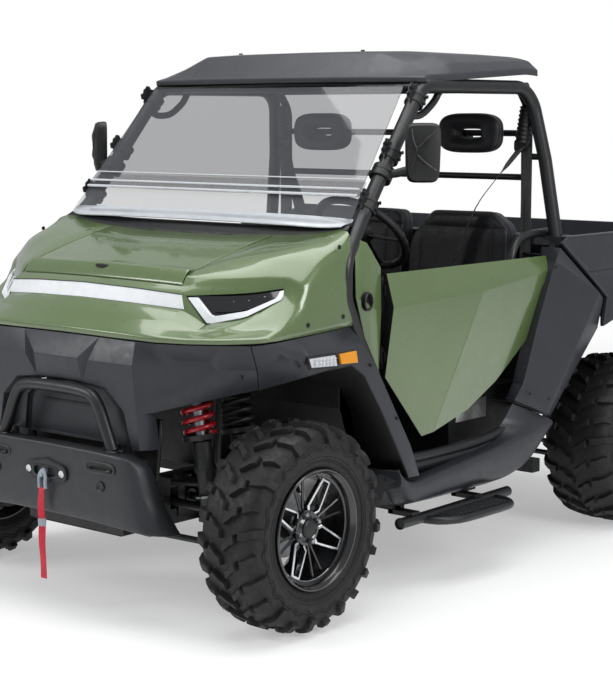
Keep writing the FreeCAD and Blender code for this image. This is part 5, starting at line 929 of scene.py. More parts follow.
def make_nose():
    """Moulded nose: rolled lip over the light bar, brow, cheeks and sides from one net of the measured
    corners, with holes where the hood, the bar and the lamps sit."""
    surface, faces = skin(NOSE_NET, NOSE_ROWS, NOSE_COLS, NET_STEPS)
    cols = surface.shape[1]
    row = lambda k: first_line(NOSE_ROWS, k)
    col = lambda k: first_line(NOSE_COLS, k)
    faces = without(faces, cols, (0, row(3) + NET_STEPS // 2), (0, col(2)))
    faces = without(faces, cols, (row(4), row(5)), (0, col(2)))
    faces = without(faces, cols, (row(4), row(5)), (col(3), col(5)))
    tray = NOSE_NET[:4, :3].copy()
    tray[..., 2] -= 26
    tray[:, 2, 0] += 8
    tray[3, :, 1] += 8
    tray[0, :, 2] -= 14
    floor = sheet(whole_width(tray), [0] * 4, [0] * 5)
    cowl = np.array([[(0, 296, 1189), (230, 301, 1190), (384, 314, 1197), (560, 344, 1211),
                      (632, 360, 1223), (664, 352, 1222)], [(0, 318, 1206), (230, 323, 1206),
                                                            (384, 334, 1211), (560, 360, 1222),
                                                            (632, 372, 1230), (662, 364, 1228)],
                     [(0, 330, 1218), (230, 334, 1218), (384, 344, 1221), (560, 366, 1229),
                      (640, 377, 1236), (660, 372, 1233)], [(0, 352, 1226), (230, 354, 1226),
                                                            (384, 360, 1228), (560, 374, 1234),
                                                            (640, 384, 1240), (658, 380, 1238)],
                     [(0, 420, 1222), (230, 420, 1222), (384, 424, 1222), (560, 430, 1222),
                      (640, 430, 1222), (656, 428, 1220)],], float)
    cover = sheet(whole_width(cowl), [0, 0, 0.3, 0.3, 0], whole_shares([0, 0, 0.3, 0.3, 0, 0], 0.3), 4)
    add_piece("nose_panel", [("panel", two_sided([(flat(surface), faces)]))], "body", "body_green", bevel=1.6,
              replaces=("nose_shell",), thick=3.2, angle=24, facing=(0, -1, 0.6))
    add_piece("nose_tray", [("dark_moulding", [floor])], "body", thick=3.0, facing=(0, 0, 1))
    add_piece("cowl_strip", [("dark_moulding", [cover])], "body", thick=3.0, facing=(0, 0, 1))
    bolts = domes([(700, 271, 1176), (706, 285, 954), (708, 109, 942)], (1, 0, 0.1), 7.5, 4.5, 12)
    add_piece("nose_bolts", [("bolt", two_sided([bolts]))], "body", merge=False)


def make_hood():
    """Hood lid inside the nose's frame: crowned panel, rolled front lip, turned edge and a bare oval
    latch."""
    net = NOSE_NET[:4, :3].copy()
    net[:, 2, 0] -= 4.5
    net[0, :, 1] -= 5
    net[3, :, 1] += 3.5
    net[3, :, 2] += 3
    net[1:3, 0, 2] += 2.5
    net[..., 2] += 0.8
    skirt = net[3:4].copy()
    skirt[..., 1] += 9
    skirt[..., 2] -= 13
    net = np.concatenate([net, skirt])
    edge = net[:, 2:].copy()
    edge[..., 0] -= 4
    edge[..., 2] -= 14
    net = np.concatenate([net, edge], axis=1)
    surface, faces = skin(whole_width(net), [0, 0.35, 0.42, 0.35, 0], whole_shares([0, 0.3, 0.10, 0], 0.3), 9)
    front = surface[..., 1].min(0)[None] + 34
    surface[..., 2] += 12.0 * np.exp(-((surface[..., 1] - front) / 17) ** 2) * (abs(surface[..., 0]) < 560)
    latch = np.array([0, -84.0, 1100.5])
    tilt = np.array([0, 0.26, 0.96])
    rim = turned([(-9, 21), (-1, 23), (2.6, 21.5), (3.2, 18.5), (0.5, 16.5), (-2.5, 14.0)], (0, 0, 0), tilt,
                 40)
    cup = turned([(-2.5, 14.0), (-1.8, 8.0), (-0.6, 5.0), (-0.4, 0.01)], (0, 0, 0), tilt, 40)
    wide = [(p * (1.7, 1.0, 1.0) + latch, f) for p, f in (rim, cup)]
    bar = moved(prism([(-5, -1.5), (5, -1.5), (4, 3.0), (-4, 3.0)], -15, 15, 0), latch)
    add_piece("hood_lid", [("panel", [(flat(surface), faces)])], "hood", "body_green", replaces=("hood",),
              thick=2.4, angle=24, bevel=1.2, facing=(0, -0.3, 1))
    add_piece("hood_latch", [("dark_moulding", wide[:1]), ("bolt", wide[1:] + [bar])], "hood", merge=False)
    hinge = [block((x - 24, 296, 1186), (x + 24, 306, 1193)) for x in (-190, 0, 190)]
    add_piece("hood_hinge_tabs", [("dark_moulding", hinge)], "body", merge=False)


def patch(top, low, back, count=16):
    """Strip between an upper and a lower line, each spread evenly over its run, with walls turned back."""
    def spread(line):
        line = np.asarray(line, float)
        run = np.concatenate([[0], np.cumsum(np.linalg.norm(np.diff(line, axis=0), axis=1))])
        at = np.linspace(0, run[-1], count)
        return np.stack([np.interp(at, run, line[:, k]) for k in range(3)], -1)
    top, low = spread(top), spread(low)
    back = np.asarray(back, float)
    rows = np.stack([top + back, top, low, low + back])
    end = count * np.arange(4)
    return flat(rows), grid_faces(4, count) + [end[::-1].tolist(), (end + count - 1).tolist()]


def make_lamps():
    """Light bar across the nose, and on each side a black lens with a bent white light guide round its
    foot."""
    bar_top = [(-398, -136, 1035), (-230, -170, 1047), (0, -180, 1053), (230, -170, 1047), (398, -136, 1035)]
    bar_low = [(-410, -141, 991), (-230, -184, 1003), (0, -194, 1008), (230, -184, 1003), (410, -141, 991)]
    bar = patch(bar_top, bar_low, (0, 14, -3), 40)
    frame_top = [(x, y - 1.0, z + 3.0) for x, y, z in bar_top]
    frame_low = [(x, y - 1.0, z + 0.2) for x, y, z in bar_top]
    trim = patch(frame_top, frame_low, (0, 10, -2), 40)
    lens_top = np.array([(404, -118, 1031), (470, -68, 1031), (560, 8, 1039), (634, 86, 1054)], float)
    lens_low = np.array([(472, -98, 948), (520, -70, 956), (576, -32, 968), (646, 64, 1024)], float)
    housing = patch(lens_top + (0, 9, 0), lens_low + (0, 9, 0), (-4, 30, 0), 16)
    glass_top = np.array([(440, -90, 1029), (500, -42, 1030), (560, 10, 1036), (622, 74, 1048)], float)
    glass_low = np.array([(486, -84, 982), (530, -56, 984), (576, -14, 992), (628, 62, 1030)], float)
    glass = patch(glass_top + (0, 3, 0), glass_low + (0, 3, 0), (-2, 14, 0), 16)
    guide_out = np.array([(410, -119, 1026), (474, -103, 950), (486, -94, 948), (578, -36, 970),
                          (644, 58, 1022), (636, 84, 1050)], float)
    guide_in = np.array([(432, -101, 1026), (484, -93, 972), (492, -84, 970), (574, -26, 988),
                         (630, 50, 1026), (624, 74, 1046)], float)
    guide = patch(guide_out + (1, -2.0, 0), guide_in + (1, -3.0, 0), (-2, 12, 0), 28)
    edge_line = tube(curved(guide_out[:5] + (0, -2.4, -2.0), 0.2, 5), 2.0, 6)
    spots = []
    at = glass_top + (glass_low - glass_top) * 0.5
    for share in (0.16, 0.38, 0.60, 0.80):
        spot = np.array([np.interp(share * 3, range(4), at[:, k]) for k in range(3)]) + (0, 8, 0)
        spots.append(turned([(-3, 12), (-6, 11.0), (0, 7.0), (3, 0.01)], spot, (0.4, -1, 0.1), 16))
    add_piece("light_bar_guide", [("light", [bar]), ("dark_moulding", [trim])], "body", "lamp_lens",
              bevel=1.2, replaces=("light_bar",))
    add_piece("headlight_housings", [("lens", two_sided([housing, edge_line]))], "body", "lamp_lens",
              replaces=("headlights",), merge=False, bevel=0.8)
    add_piece("headlight_guides", [("light", two_sided([guide]))], "body", "lamp_lens", bevel=1.0)
    add_piece("headlight_lenses", [("lens", two_sided([glass])), ("steel", two_sided(spots))], "body",
              "lamp_lens", merge=False)


def make_fascia():
    """Front fascia: flat moulded facets that share measured corners, from the shelf under the nose over
    the raised middle, the stepped brow and the leaning sides, with an arched recess and a slotted panel
    in it."""
    i0, i1, i2, i3, i4 = (0, -284, 899), (70, -283, 899), (178, -282, 898), (330, -274, 895), (412, -264, 894)
    i5, i6, seam = (500, -224, 892), (590, -163, 892), (662, -108, 892)
    c0, c1, c2, c3, c4 = (0, -312, 826), (102, -308, 826), (126, -290, 812), (150, -307, 824), (333, -290,
                                                                                                820)
    a, b, c, d, s1, s2 = ((429, -215, 815), (441, -206, 836), (532, -151, 836), (550, -142, 812),
                          (652, -68, 812), (645, -52, 751))
    low, corner, foot = (356, -265, 667), (340, -283, 700), (346, -272, 552)
    r0, r1, r2, r3, r4 = (0, -294, 752), (107, -291, 748), (212, -288, 738), (286, -284, 672), (314, -277,
                                                                                                552)
    facets = folded([(i0, i1, c1, c0), (i1, i2, c1), (c1, i2, c2), (i2, c3, c2), (i2, i3, c4, c3),
                     (i3, i4, a, c4), (i4, b, a), (i4, i5, c, b), (i5, i6, c), (i6, d, c),
                     (i6, seam, s1, d), (c0, c1, r1, r0), (c1, c2, r1), (c2, c3, r1),
                     (c3, c4, corner, r3, r2, r1), (corner, foot, r4, r3),
                     (c4, a, b, c, d, s1, s2, low, corner), (corner, low, (362, -240, 552), foot),
                     (low, s2, (600, -30, 752), (372, -225, 668)),
                     (low, (372, -225, 668), (372, -210, 552), (362, -240, 552))])
    rim = np.array([r0, r1, r2, r3, r4], float)
    inner = rim + [(0, 44, -8), (-10, 44, -10), (-24, 44, -14), (-26, 42, -2), (-20, 40, 0)]
    panel = np.array([(0, -246, 725), (150, -246, 722), (208, -246, 672), (218, -246, 600),
                      (222, -246, 556), (0, -246, 556)])
    ring = np.array([(0, -252, 740), (96, -248, 736), (188, -246, 724), (258, -244, 668), (292, -240, 556),
                     (0, -246, 552)])
    frame_band = folded([(ring[0], ring[1], panel[0]), (ring[1], panel[1], panel[0]),
                         (ring[1], ring[2], panel[1]), (ring[2], ring[3], panel[2], panel[1]),
                         (ring[3], ring[4], panel[3], panel[2]), (ring[4], panel[4], panel[3])])
    sunk = panel + (0, 14, 0)
    shell = [facets, strip(rim, inner), frame_band, strip(panel, sunk), folded([sunk])]
    add_piece("fascia_shell", [("moulding", two_sided(shell))], "body", "charcoal_plastic",
              bevel=2.4, replaces=("front_fascia",), thick=3.5, angle=20, facing=(0, -1, 0.2))
    slots = [block((-wide, -236, z - 4), (wide, -230, z + 4)) for z, wide in ((690, 96), (664, 128))]
    bolts = domes([(-169, -284, 868), (169, -284, 868), (271, -278, 868)], (0.1, -0.75, 0.6), 5.5, 4.0, 8)
    side_bolts = domes([(616, -96, 790), (640, -100, 882)], (0.7, -0.75, 0.2), 5.5, 4.0, 8)
    add_piece("fascia_bolts", [("bolt", [bolts] + two_sided([side_bolts])), ("dark_moulding", slots)], "body",
              merge=False)


def make_flares():
    """Front wing flares: shelf and brow facets round the nose's corner, the arch strip that runs down to
    the sill, the liner over the wheel, and the clear and amber side markers."""
    i1, i2, i3, i4, i5 = (665, -107, 892), (704, -64, 898), (708, 60, 905), (706, 200, 912), (702, 326, 918)
    s1, s2 = (655, -67, 812), (648, -51, 751)
    e1, e2, e3, e4, e5, e6 = ((709, 46, 812), (716, 38, 850), (737, 74, 850), (764, 182, 858),
                              (770, 262, 860), (782, 318, 846))
    a1, a2, a3 = (705, 81, 779), (744, 155, 798), (775, 248, 808)
    facets = [(i1, i2, e2, e1, s1), (i2, i3, e3, e2), (i3, i4, e4, e3), (i4, i5, e6, e5, e4),
              (s1, e1, a1, s2), (e1, e2, e3, a2, a1), (e3, e4, e5, a3, a2)]
    arch = [a3, (778, 309, 768), (781, 402, 634), (782, 510, 464), (782, 546, 400)]
    rear = [e6, (784, 366, 786), (785, 440, 672), (785, 548, 510), (785, 600, 400)]
    facets += [(e5, rear[0], arch[1], arch[0])]
    facets += [(arch[1], rear[0], rear[1])] + [(arch[k], rear[k], rear[k + 1], arch[k + 1])
                                               for k in range(1, 4)]
    inward = [(p[0] - 62, p[1] + 4, p[2] - 2) for p in rear]
    facets += [(i5, inward[0], rear[0])]
    facets += [(rear[k], inward[k], inward[k + 1], rear[k + 1]) for k in range(4)]
    edge = np.array([s2, a1, a2] + arch, float)
    inner = edge * (0, 1, 1) + (505, 0, 0) + (0, 0, 6)
    inner[0] = (560, -20, 756)
    lip = edge + (-14, 3, 3)
    add_piece("wing_flares", [("moulding", two_sided([folded(facets)]))], "body", "charcoal_plastic",
              bevel=2.4, replaces=("front_flares",), thick=3.2, angle=20)
    add_piece("arch_liners", [("dark_moulding", two_sided([strip(edge, lip, inner)]))], "body", thick=2.5)
    clear = patch([(743, 76, 842), (764, 176, 846)], [(746, 84, 814), (768, 182, 812)], (-8, 0, 0), 12)
    frame_ring = patch([(740, 70, 848), (764, 184, 853)], [(743, 78, 808), (768, 190, 806)], (-6, 0, 0), 6)
    amber = patch([(768, 194, 848), (776, 268, 852)], [(772, 198, 816), (780, 272, 814)], (-8, 0, 0), 8)
    dots = domes([(760 + 0.21 * (y - 110) + 0.4, y, z) for y in range(96, 176, 14) for z in (820, 829, 838)],
                 (1, -0.2, 0), 4.6, 2.2, 8)
    bolt = domes([(722, 52, 822), (786, 330, 800), (787, 470, 610)], (1, -0.2, 0), 6, 4, 8)
    groups = [("clear_lens", [clear, dots]), ("dark_moulding", [frame_ring]), ("amber", [amber]),
              ("bolt", [bolt])]
    add_piece("side_markers", [(finish, two_sided(group)) for finish, group in groups], "body", merge=False,
              bevel=0.8)


def oval(wide, high, count, power=2.6):
    """Rounded outline: signed powers of the cosine and sine of the turn."""
    turn = np.linspace(0, 2 * np.pi, count, endpoint=False)
    cos, sin = np.cos(turn), np.sin(turn)
    return np.column_stack([np.sign(cos) * abs(cos) ** (2 / power) * wide,
                            np.sign(sin) * abs(sin) ** (2 / power) * high])


def set_up(pairs, y, centre):
    """Outline of (x, z) pairs set upright at a distance along the vehicle, about a centre."""
    return np.insert(pairs + centre, 1, y, axis=1)


def make_bumper():
    """Winch bumper: pressed plate with rolled top, swept wings, hook slots with their loops, pin holes
    and the bent hoop on its bolted flanges."""
    net = np.array([[(0, -345, 549), (200, -345, 547), (318, -343, 543), (352, -334, 536), (366, -316, 528),
                     (372, -270, 520)], [(0, -349, 540), (200, -349, 538), (322, -347, 533),
                                         (362, -336, 520), (380, -312, 505), (388, -262, 500)],
                    [(0, -349, 430), (200, -349, 430), (332, -347, 430), (376, -338, 425), (404, -308, 415),
                     (416, -250, 410)], [(0, -349, 352), (200, -349, 350), (350, -347, 335),
                                         (404, -334, 326), (446, -290, 318), (464, -226, 312)],
                    [(0, -345, 322), (200, -345, 320), (372, -343, 312), (424, -326, 304), (462, -282, 298),
                     (476, -222, 296)], [(0, -328, 316), (200, -328, 314), (372, -326, 306),
                                         (420, -312, 300), (452, -270, 296), (464, -222, 294)],], float)
    net = np.concatenate([net[:1] + (0, 58, 0) - (0, 0, 2), net])
    net[0, 3:, 0] -= (10, 30, 40)
    plate = sheet(whole_width(net), [0, 0.3, 0.3, 0.2, 0.3, 0.4, 0],
                  whole_shares([0, 0, 0.35, 0.35, 0.35, 0], 0))
    ring, rim = oval(60, 15, 28, 3.2), oval(67, 21, 28, 3.0)
    hooks, holes = [], []
    for side in (1, -1):
        x = side * 246
        hooks.append(looped([set_up(pair, y, (x, 497)) for pair,
                             y in ((ring, -352.5), (rim, -350.8), (rim, -346.0))]))
        well = [set_up(ring, -352.5, (x, 497)), set_up(ring * (0.97, 0.9), -350.2, (x, 497))]
        holes.append(looped(well, last=True))
        bar = curved([(x - 46, -352, 492), (x - 40, -366, 488), (x + 40, -366, 488), (x + 46, -352, 492)],
                     0.4, 5)
        hooks.append(tube(bar, 6.0, 8))
        hooks.append(turned([(-353.2, 16), (-351.4, 16.5), (-349, 17)], (x + side * 2, 0, 438), (0, 1, 0),
                            20))
        holes.append(turned([(-353.2, 16), (-351.0, 12), (-350.4, 0.01)], (x + side * 2, 0, 438), (0, 1, 0),
                            20))
    add_piece("bumper_plate", [("plate", [plate] + hooks), ("chassis", holes)], "body", "charcoal_plastic",
              replaces=("bumper",), thick=4.0, angle=40, facing=(0, -1, 0.1))
    line = [(-258, -305, 546), (-252, -305, 560), (-196, -305, 690), (-150, -305, 726), (150, -305, 726),
            (196, -305, 690), (252, -305, 560), (258, -305, 546)]
    hoop = tube(curved(line, 0.42, 9), 19.5, 20)
    flange = turned([(540, 28), (546, 28), (549, 25), (549, 18)], (258, -305, 0), (0, 0, 1), 24)
    studs = [domes([(x, -305, 549)], (0, 0, 1), 6, 5, 8) for x in (222, 298, -222, -298)]
    add_piece("bumper_loop", [("tube", [hoop] + two_sided([flange])), ("bolt", studs)], "body", "black_tube",
              replaces=("bumper_hoop",), merge=False, angle=40)


def make_shade_filler():
    """Dark moulded panel behind the bumper's top edge, with six pressed slots, that closes the view to the
    ground. It is a dark sheet for painted shade under the fascia, between it and the bumper."""
    slots = [bordered([(x - 34, -179, 566), (x + 34, -179, 566), (x + 34, -179, 578), (x - 34, -179, 578)],
                      -4, 2, (0, -1, 0)) for x in (-225, -135, -45, 45, 135, 225)]
    # A dark sheet behind the bumper: painted shade under the fascia, with pressed slots.
    panel = bordered([(-330, -172, 440), (330, -172, 440), (350, -172, 640), (-350, -172, 640)], 6, 9,
                     (0, -1, 0))
    add_piece("lower_grille", [("dark_moulding", [panel] + slots)], "body", thick=3.0, merge=False)


def make_fairlead():
    """Hawse fairlead: waisted oval plate with a raised crown, a rolled slot and two bright bolts."""
    turn = np.linspace(0, 2 * np.pi, 64, endpoint=False)
    cos, sin = np.cos(turn), np.sin(turn)
    reach = 1 / ((abs(cos) / 98) ** 3 + (abs(sin) / 34) ** 3) ** (1 / 3)
    bump = 9 * np.exp(-((cos * reach) / 26) ** 2) * (sin > 0)
    outline = np.column_stack([cos * reach, sin * reach + bump])
    slot = oval(52, 15, 64, 4.0)
    middle = (0, 456)
    rings = [(outline, -349.0), (outline, -356.5), (outline * 0.965, -358.5), (outline * 0.9, -358.8),
             (outline * 0.87, -357.4), (slot * (1.22, 1.45), -357.4), (slot * (1.15, 1.3), -360.4),
             (slot * 1.04, -361.0), (slot, -358.0), (slot, -346.0)]
    plate = looped([set_up(pairs, y, middle) for pairs, y in rings])
    dark = folded([set_up(slot, -347.0, middle)])
    head = [(-357, 12.5), (-360.5, 12), (-362, 10.5), (-361.4, 6.5), (-359.6, 5.8), (-359.6, 0.01)]
    bolts = [turned(head, (x, 0, 456), (0, 1, 0), 16) for x in (-78, 78)]
    add_piece("hawse_fairlead", [("tube", [plate]), ("chassis", [dark]), ("machined", bolts)], "body",
              "steel", replaces=("fairlead",), merge=False, angle=35)


def add_pair(name, groups, body, replaces=(), facing=None, **more):
    """The piece for the vehicle's left and its mirror image for the right, each on its own side's body."""
    for side, word in SIDES:
        shapes = groups if side > 0 else [(finish, [mirrored(shape) for shape in group]) for finish,
                                          group in groups]
        way = None if facing is None else (side * facing[0], facing[1], facing[2])
        add_piece(f"{name}_{word}", shapes, body.format(word), facing=way,
                  replaces=[node.format(word) for node in replaces], **more)


def bordered(outline, rise, inset, axis_way=(1, 0, 0)):
    """Raised pad on a flat outline: foot loop, shoulder loop drawn in and up, and a flat crown."""
    loop = np.asarray(outline, float)
    centre = loop.mean(0)
    reach = np.linalg.norm(loop - centre, axis=1)[:, None]
    way = np.asarray(axis_way, float)
    top = centre + (loop - centre) * (1 - inset / reach) + way * rise
    return looped([loop, top], last=True)


def make_doors():
    """Moulded half doors: band over a rising crease, and two big facets that meet on a slanting ridge; a
    dark inner skin, hinge straps at the front edge and a latch at the rear."""
    edge = bpy.context.scene.vehicle_sizes.panel_edge / MM
    p0, p1, p2, p3, p4 = (716, 499, 1077), (716, 1520, 1079), (736, 1484, 1030), (757, 1000, 985), (744,
                                                                                                    503,
                                                                                                    968)
    p5, p6, p7, p8, p9, p10 = ((728, 1470, 994), (712, 1439, 840), (708, 1159, 648), (710, 981, 566),
                               (712, 708, 509), (714, 499, 734))
    ridge = (730, 750, 520)
    outer = folded([(p0, p4, p3, p2, p1), (p4, p10, p9, ridge, p3), (p3, ridge, p8, p7, p6, p5, p2)])
    loop = np.array([p0, p4, p10, p9, p8, p7, p6, p5, p1], float)
    inner = loop + (loop.mean(0) - loop) * 0.012
    inner[:, 0] = 698.5
    lining = folded([inner])
    hem = looped([loop - (2.5, 0, 0), inner])
    pocket = np.array([(697, 640, 760), (697, 1180, 760), (697, 1300, 900), (697, 1290, 1000),
                       (697, 620, 1000)])
    pad = bordered(pocket, 9, 26, (-1, 0, 0))
    pull = tube(curved([(694, 1250, 1045), (672, 1262, 1045), (672, 1370, 1045), (694, 1382, 1045)], 0.45,
                       6), 8, 10)
    latch = bordered([(694, 1440, 985), (694, 1440, 1050), (694, 1502, 1060), (694, 1476, 985)], 10, 8,
                     (-1, 0, 0))
    add_pair("door_skin", [("panel", [outer]), ("dark_moulding", [hem, lining])], "door_{}", ["door_{}"],
             slot="body_green", bevel=edge, angle=2.5)
    add_pair("door_inner_trim", [("dark_moulding", [pad, pull]), ("bolt", [latch])], "door_{}", bevel=2.0,
             angle=30)
    straps = [block((700, 500, z - 16), (711, 560, z + 16)) for z in (800, 1020)]
    add_pair("door_hinges", [("bolt", straps)], "door_{}", bevel=2.0)


def make_kick_panels():
    """Green panels ahead of the doors: folded face with a round air inlet in a dark surround."""
    k0, k1, k2, k3, k4, k5 = ((688, 366, 1200), (700, 415, 1182), (704, 484, 1098), (708, 484, 955),
                              (700, 484, 750), (688, 462, 748))
    m0, m1 = (712, 412, 975), (694, 366, 1010)
    face = folded([(k0, k1, k2, k3, m0, m1), (m0, k3, k4, k5), (m1, m0, k5)])
    turn = np.linspace(0, 2 * np.pi, 28, endpoint=False)
    rings = ((31, 703), (30, 716), (26, 718), (24, 716), (22, 702), (0.1, 700))
    inlet = looped([np.column_stack([np.full(28, x), 408 + 0.75 * r * np.cos(turn), 992 + r * np.sin(turn)])
                    for r, x in rings])
    add_pair("kick_face", [("panel", [face])], "body", ["kick_panels"], slot="body_green", bevel=3.0,
             thick=4.0, angle=5, facing=(1, 0, 0))
    add_pair("kick_inlet", [("dark_moulding", [inlet])], "body", merge=False, angle=35)
    post = block((640, 500, 700), (686, 512, 1080))
    add_pair("kick_return", [("dark_moulding", [post])], "body", bevel=3.0)


def make_sills():
    """Sill covers: top that falls in to the tube, rounded ridge, leaning outer face and turned-under foot,
    swept up at the rear to meet the rear fender, with a closed front."""
    net = np.array([[(690, 500, 424), (690, 545, 386), (690, 620, 372), (690, 777, 390), (690, 962, 408),
                     (698, 1110, 430), (712, 1190, 482), (732, 1232, 558)],
                    [(774, 500, 432), (778, 540, 390), (780, 600, 379), (781, 777, 399), (781, 962, 419),
                     (781, 1126, 437), (780, 1284, 462), (774, 1430, 480)],
                    [(779, 508, 400), (783, 548, 358), (784, 604, 348), (785, 777, 362), (785, 962, 372),
                     (784, 1130, 378), (782, 1304, 398), (776, 1438, 462)],
                    [(772, 514, 372), (774, 558, 324), (775, 606, 307), (774, 777, 311), (774, 962, 316),
                     (773, 1160, 307), (771, 1300, 340), (768, 1428, 450)],
                    [(700, 520, 350), (700, 560, 300), (700, 610, 282), (700, 777, 278), (700, 962, 278),
                     (700, 1160, 276), (700, 1290, 306), (700, 1400, 430)],], float)
    cover = sheet(net, [0, 0.3, 0.35, 0.4, 0], [0, 0.45, 0.35, 0.2, 0.2, 0.35, 0.4, 0], 6)
    front = folded([[(560, 497, 428), (690, 499, 424), (774, 500, 432), (779, 508, 400), (772, 514, 372),
                     (700, 520, 350), (690, 508, 300), (560, 497, 300)]])
    under = folded([[(700, 520, 350), (700, 560, 300), (700, 610, 282), (560, 640, 262), (560, 497, 300),
                     (690, 508, 300)]])
    bolts = domes([(724, 494, 392), (640, 492, 330)], (0, -1, 0), 5.5, 4, 8)
    add_pair("sill_cover", [("moulding", [cover, front, under])], "body", ["sills"],
             slot="charcoal_plastic", thick=3.2, angle=30, facing=(1, 0, 0.2), bevel=1.5)
    add_pair("sill_bolts", [("bolt", [bolts])], "body", merge=False)


def make_rear_fenders():
    """Rear wing panels: tall folded face ahead of the wheel, outer band along the arch and its liner."""
    f0, f1, f2, f3, f4 = (738, 1234, 570), (746, 1277, 622), (752, 1362, 840), (764, 1450, 1060), (782,
                                                                                                   1453,
                                                                                                   1110)
    g0, g1, g2 = (787, 1728, 926), (787, 1571, 735), (781, 1384, 508)
    b0, b1, b2, b3, b4 = (784, 1762, 902), (772, 1744, 790), (766, 1646, 689), (765, 1511, 561), (766, 1436,
                                                                                                  492)
    face = folded([(f0, f1, g2), (f1, f2, g1, g2), (f2, f3, g0, g1), (f3, f4, g0), (g0, b0, b1, b2, g1),
                   (g1, b2, b3, b4, g2)])
    edge = np.array([b0, b1, b2, b3, b4, (742, 1240, 560)], float)
    inner = edge * (0, 1, 1) + (630, 0, 4)
    liner = strip(edge, edge - (12, 3, 0), inner)
    jamb = np.array([f0, f1, f2, f3, f4], float)
    jamb_in = jamb * (0, 1, 1) + (690, 14, 0)
    side = strip(jamb, jamb_in)
    bolts = domes([(777, 1404, 560), (764, 1296, 590), (772, 1440, 1040)], (1, 0, 0), 5.5, 4, 8)
    add_pair("rear_wing", [("moulding", [face, side])], "body", ["rear_fenders"], slot="charcoal_plastic",
             bevel=3.0, thick=3.2, angle=5, facing=(1, 0, 0))
    add_pair("rear_arch_liner", [("dark_moulding", [liner])], "body", thick=2.5, facing=(0, 0, -1))
    add_pair("rear_wing_bolts", [("bolt", [bolts])], "body", merge=False)


def make_steps():
    """Side steps: capped rod, bent outer loop, pressed tread plate with rows of raised teeth, and two
    hangers."""
    rod = tube([(738, 560, 235), (735, 700, 235), (724, 1100, 236), (720, 1228, 236)], 18.5, 20)
    cap = turned([(555, 17), (552, 19.5), (559, 20.5), (563, 19)], (738, 0, 235), (0, 1, 0), 20)
    line = [(736, 690, 228), (790, 712, 226), (828, 780, 226), (833, 860, 226), (832, 1040, 226),
            (826, 1090, 226), (790, 1122, 228), (726, 1120, 230)]
    loop = tube(curved(line, 0.42, 7), 14.5, 16)
    plate = np.array([[(744, 724, 238), (742, 900, 238), (738, 1106, 238)], [(800, 752, 236), (822, 900, 236),
                                                                        (812, 1096, 236)]], float)
    surface = skin(plate, [0, 0], [0, 0.3, 0], 6)[0]
    teeth = []
    for row, x in enumerate((758, 776, 794, 810)):
        for y in np.arange(770 + 12 * (row % 2), 1080, 24):
            teeth.append(bordered([(x - 5, y - 8, 237.5), (x + 5, y - 4, 237.5), (x + 5, y + 8, 237.5),
                                   (x - 5, y + 4, 237.5)], 5, 2.2, (0, 0, 1)))
    hangers = [block((640, y - 22, 246), (742, y + 22, 262)) for y in (640, 1010)]
    hangers += [block((640, y - 22, 246), (660, y + 22, 300)) for y in (640, 1010)]
    tread = wall(surface, 4.0, (0, 0, 1))
    add_pair("step_bar", [("tube", [rod, loop]), ("plate", [tread] + teeth), ("grip", [cap]),
                          ("chassis", hangers)], "body", ["side_steps"], slot="black_tube", merge=False,
             angle=35)


def make_roof():
    """Moulded roof: crowned top, sloping front with a two-step lip, side slopes with a turned flange,
    hooked rear corners, two shallow stiffening channels and the screws that hold it."""
    net = np.array([[(0, 750, 1704), (250, 754, 1704), (412, 762, 1703), (560, 772, 1702), (612, 780, 1702),
                     (636, 806, 1702)], [(0, 742, 1722), (250, 747, 1722), (412, 756, 1721),
                                         (560, 768, 1719), (614, 777, 1718), (640, 804, 1718)],
                    [(0, 752, 1728), (250, 757, 1728), (412, 766, 1727), (552, 779, 1725), (602, 788, 1724),
                     (630, 812, 1724)], [(0, 838, 1812), (250, 840, 1811), (412, 848, 1807),
                                         (520, 858, 1768), (582, 856, 1742), (626, 850, 1728)],
                    [(0, 980, 1819), (250, 980, 1818), (430, 985, 1815), (548, 990, 1802), (606, 985, 1770),
                     (640, 975, 1732)], [(0, 1430, 1818), (250, 1430, 1817), (430, 1430, 1813),
                                         (562, 1428, 1802), (606, 1424, 1789), (640, 1420, 1758)],
                    [(0, 1520, 1808), (250, 1518, 1807), (430, 1514, 1804), (560, 1500, 1798),
                     (608, 1486, 1788), (641, 1470, 1756)], [(0, 1540, 1764), (250, 1538, 1764),
                                                             (430, 1534, 1764), (560, 1524, 1764),
                                                             (614, 1514, 1766), (640, 1498, 1754)],], float)
    flange = net[:, -1:] + (3, 0, -22)
    flange[0, 0] = (638, 808, 1700)
    flange[1, 0] = (641, 808, 1702)
    flange[2, 0] = (640, 816, 1703)
    net = np.concatenate([net, flange], axis=1)
    net[:, -1, 0] = np.minimum(net[:, -1, 0], 641)
    surface, faces = skin(whole_width(net), [0, 0.3, 0.25, 0.08, 0.2, 0.12, 0.2, 0],
                          whole_shares([0, 0, 0.10, 0.12, 0.16, 0.16, 0], 0), 5)
    x, y = surface[..., 0], surface[..., 1]
    channel = sum(np.exp(-((abs(x) - at) / 16) ** 2) for at in (150, 300))
    along = 1 / (1 + np.exp(-(y - 900) / 12)) / (1 + np.exp((y - 1440) / 12))
    surface[..., 2] -= 5.0 * channel * along
    # Dark strip under the roof's front lip, over the screen's top edge.
    strip_net = np.array([[(0, 772, 1702), (560, 792, 1700), (612, 800, 1698)], [(0, 776, 1690), (560, 796, 1688),
                                                                            (606, 803, 1688)]], float)
    dark_strip = sheet(whole_width(strip_net), [0, 0], [0] * 5)
    screws = domes([(291, 906, 1815), (-291, 906, 1815), (291, 1460, 1803), (-291, 1460, 1803),
                    (520, 1180, 1799), (-520, 1180, 1799)], (0, 0, 1), 8, 5, 10)
    add_piece("roof_panel", [("roof", [(flat(surface), faces)])], "body", "charcoal_plastic",
              replaces=("roof",), thick=4.0, angle=30, bevel=1.2, facing=(0, 0, 1))
    add_piece("roof_screws", [("bolt", [screws])], "body", merge=False)
    add_piece("roof_lip_dark_strip", [("dark_moulding", [dark_strip])], "body", thick=4.0, facing=(0, -1, 0))


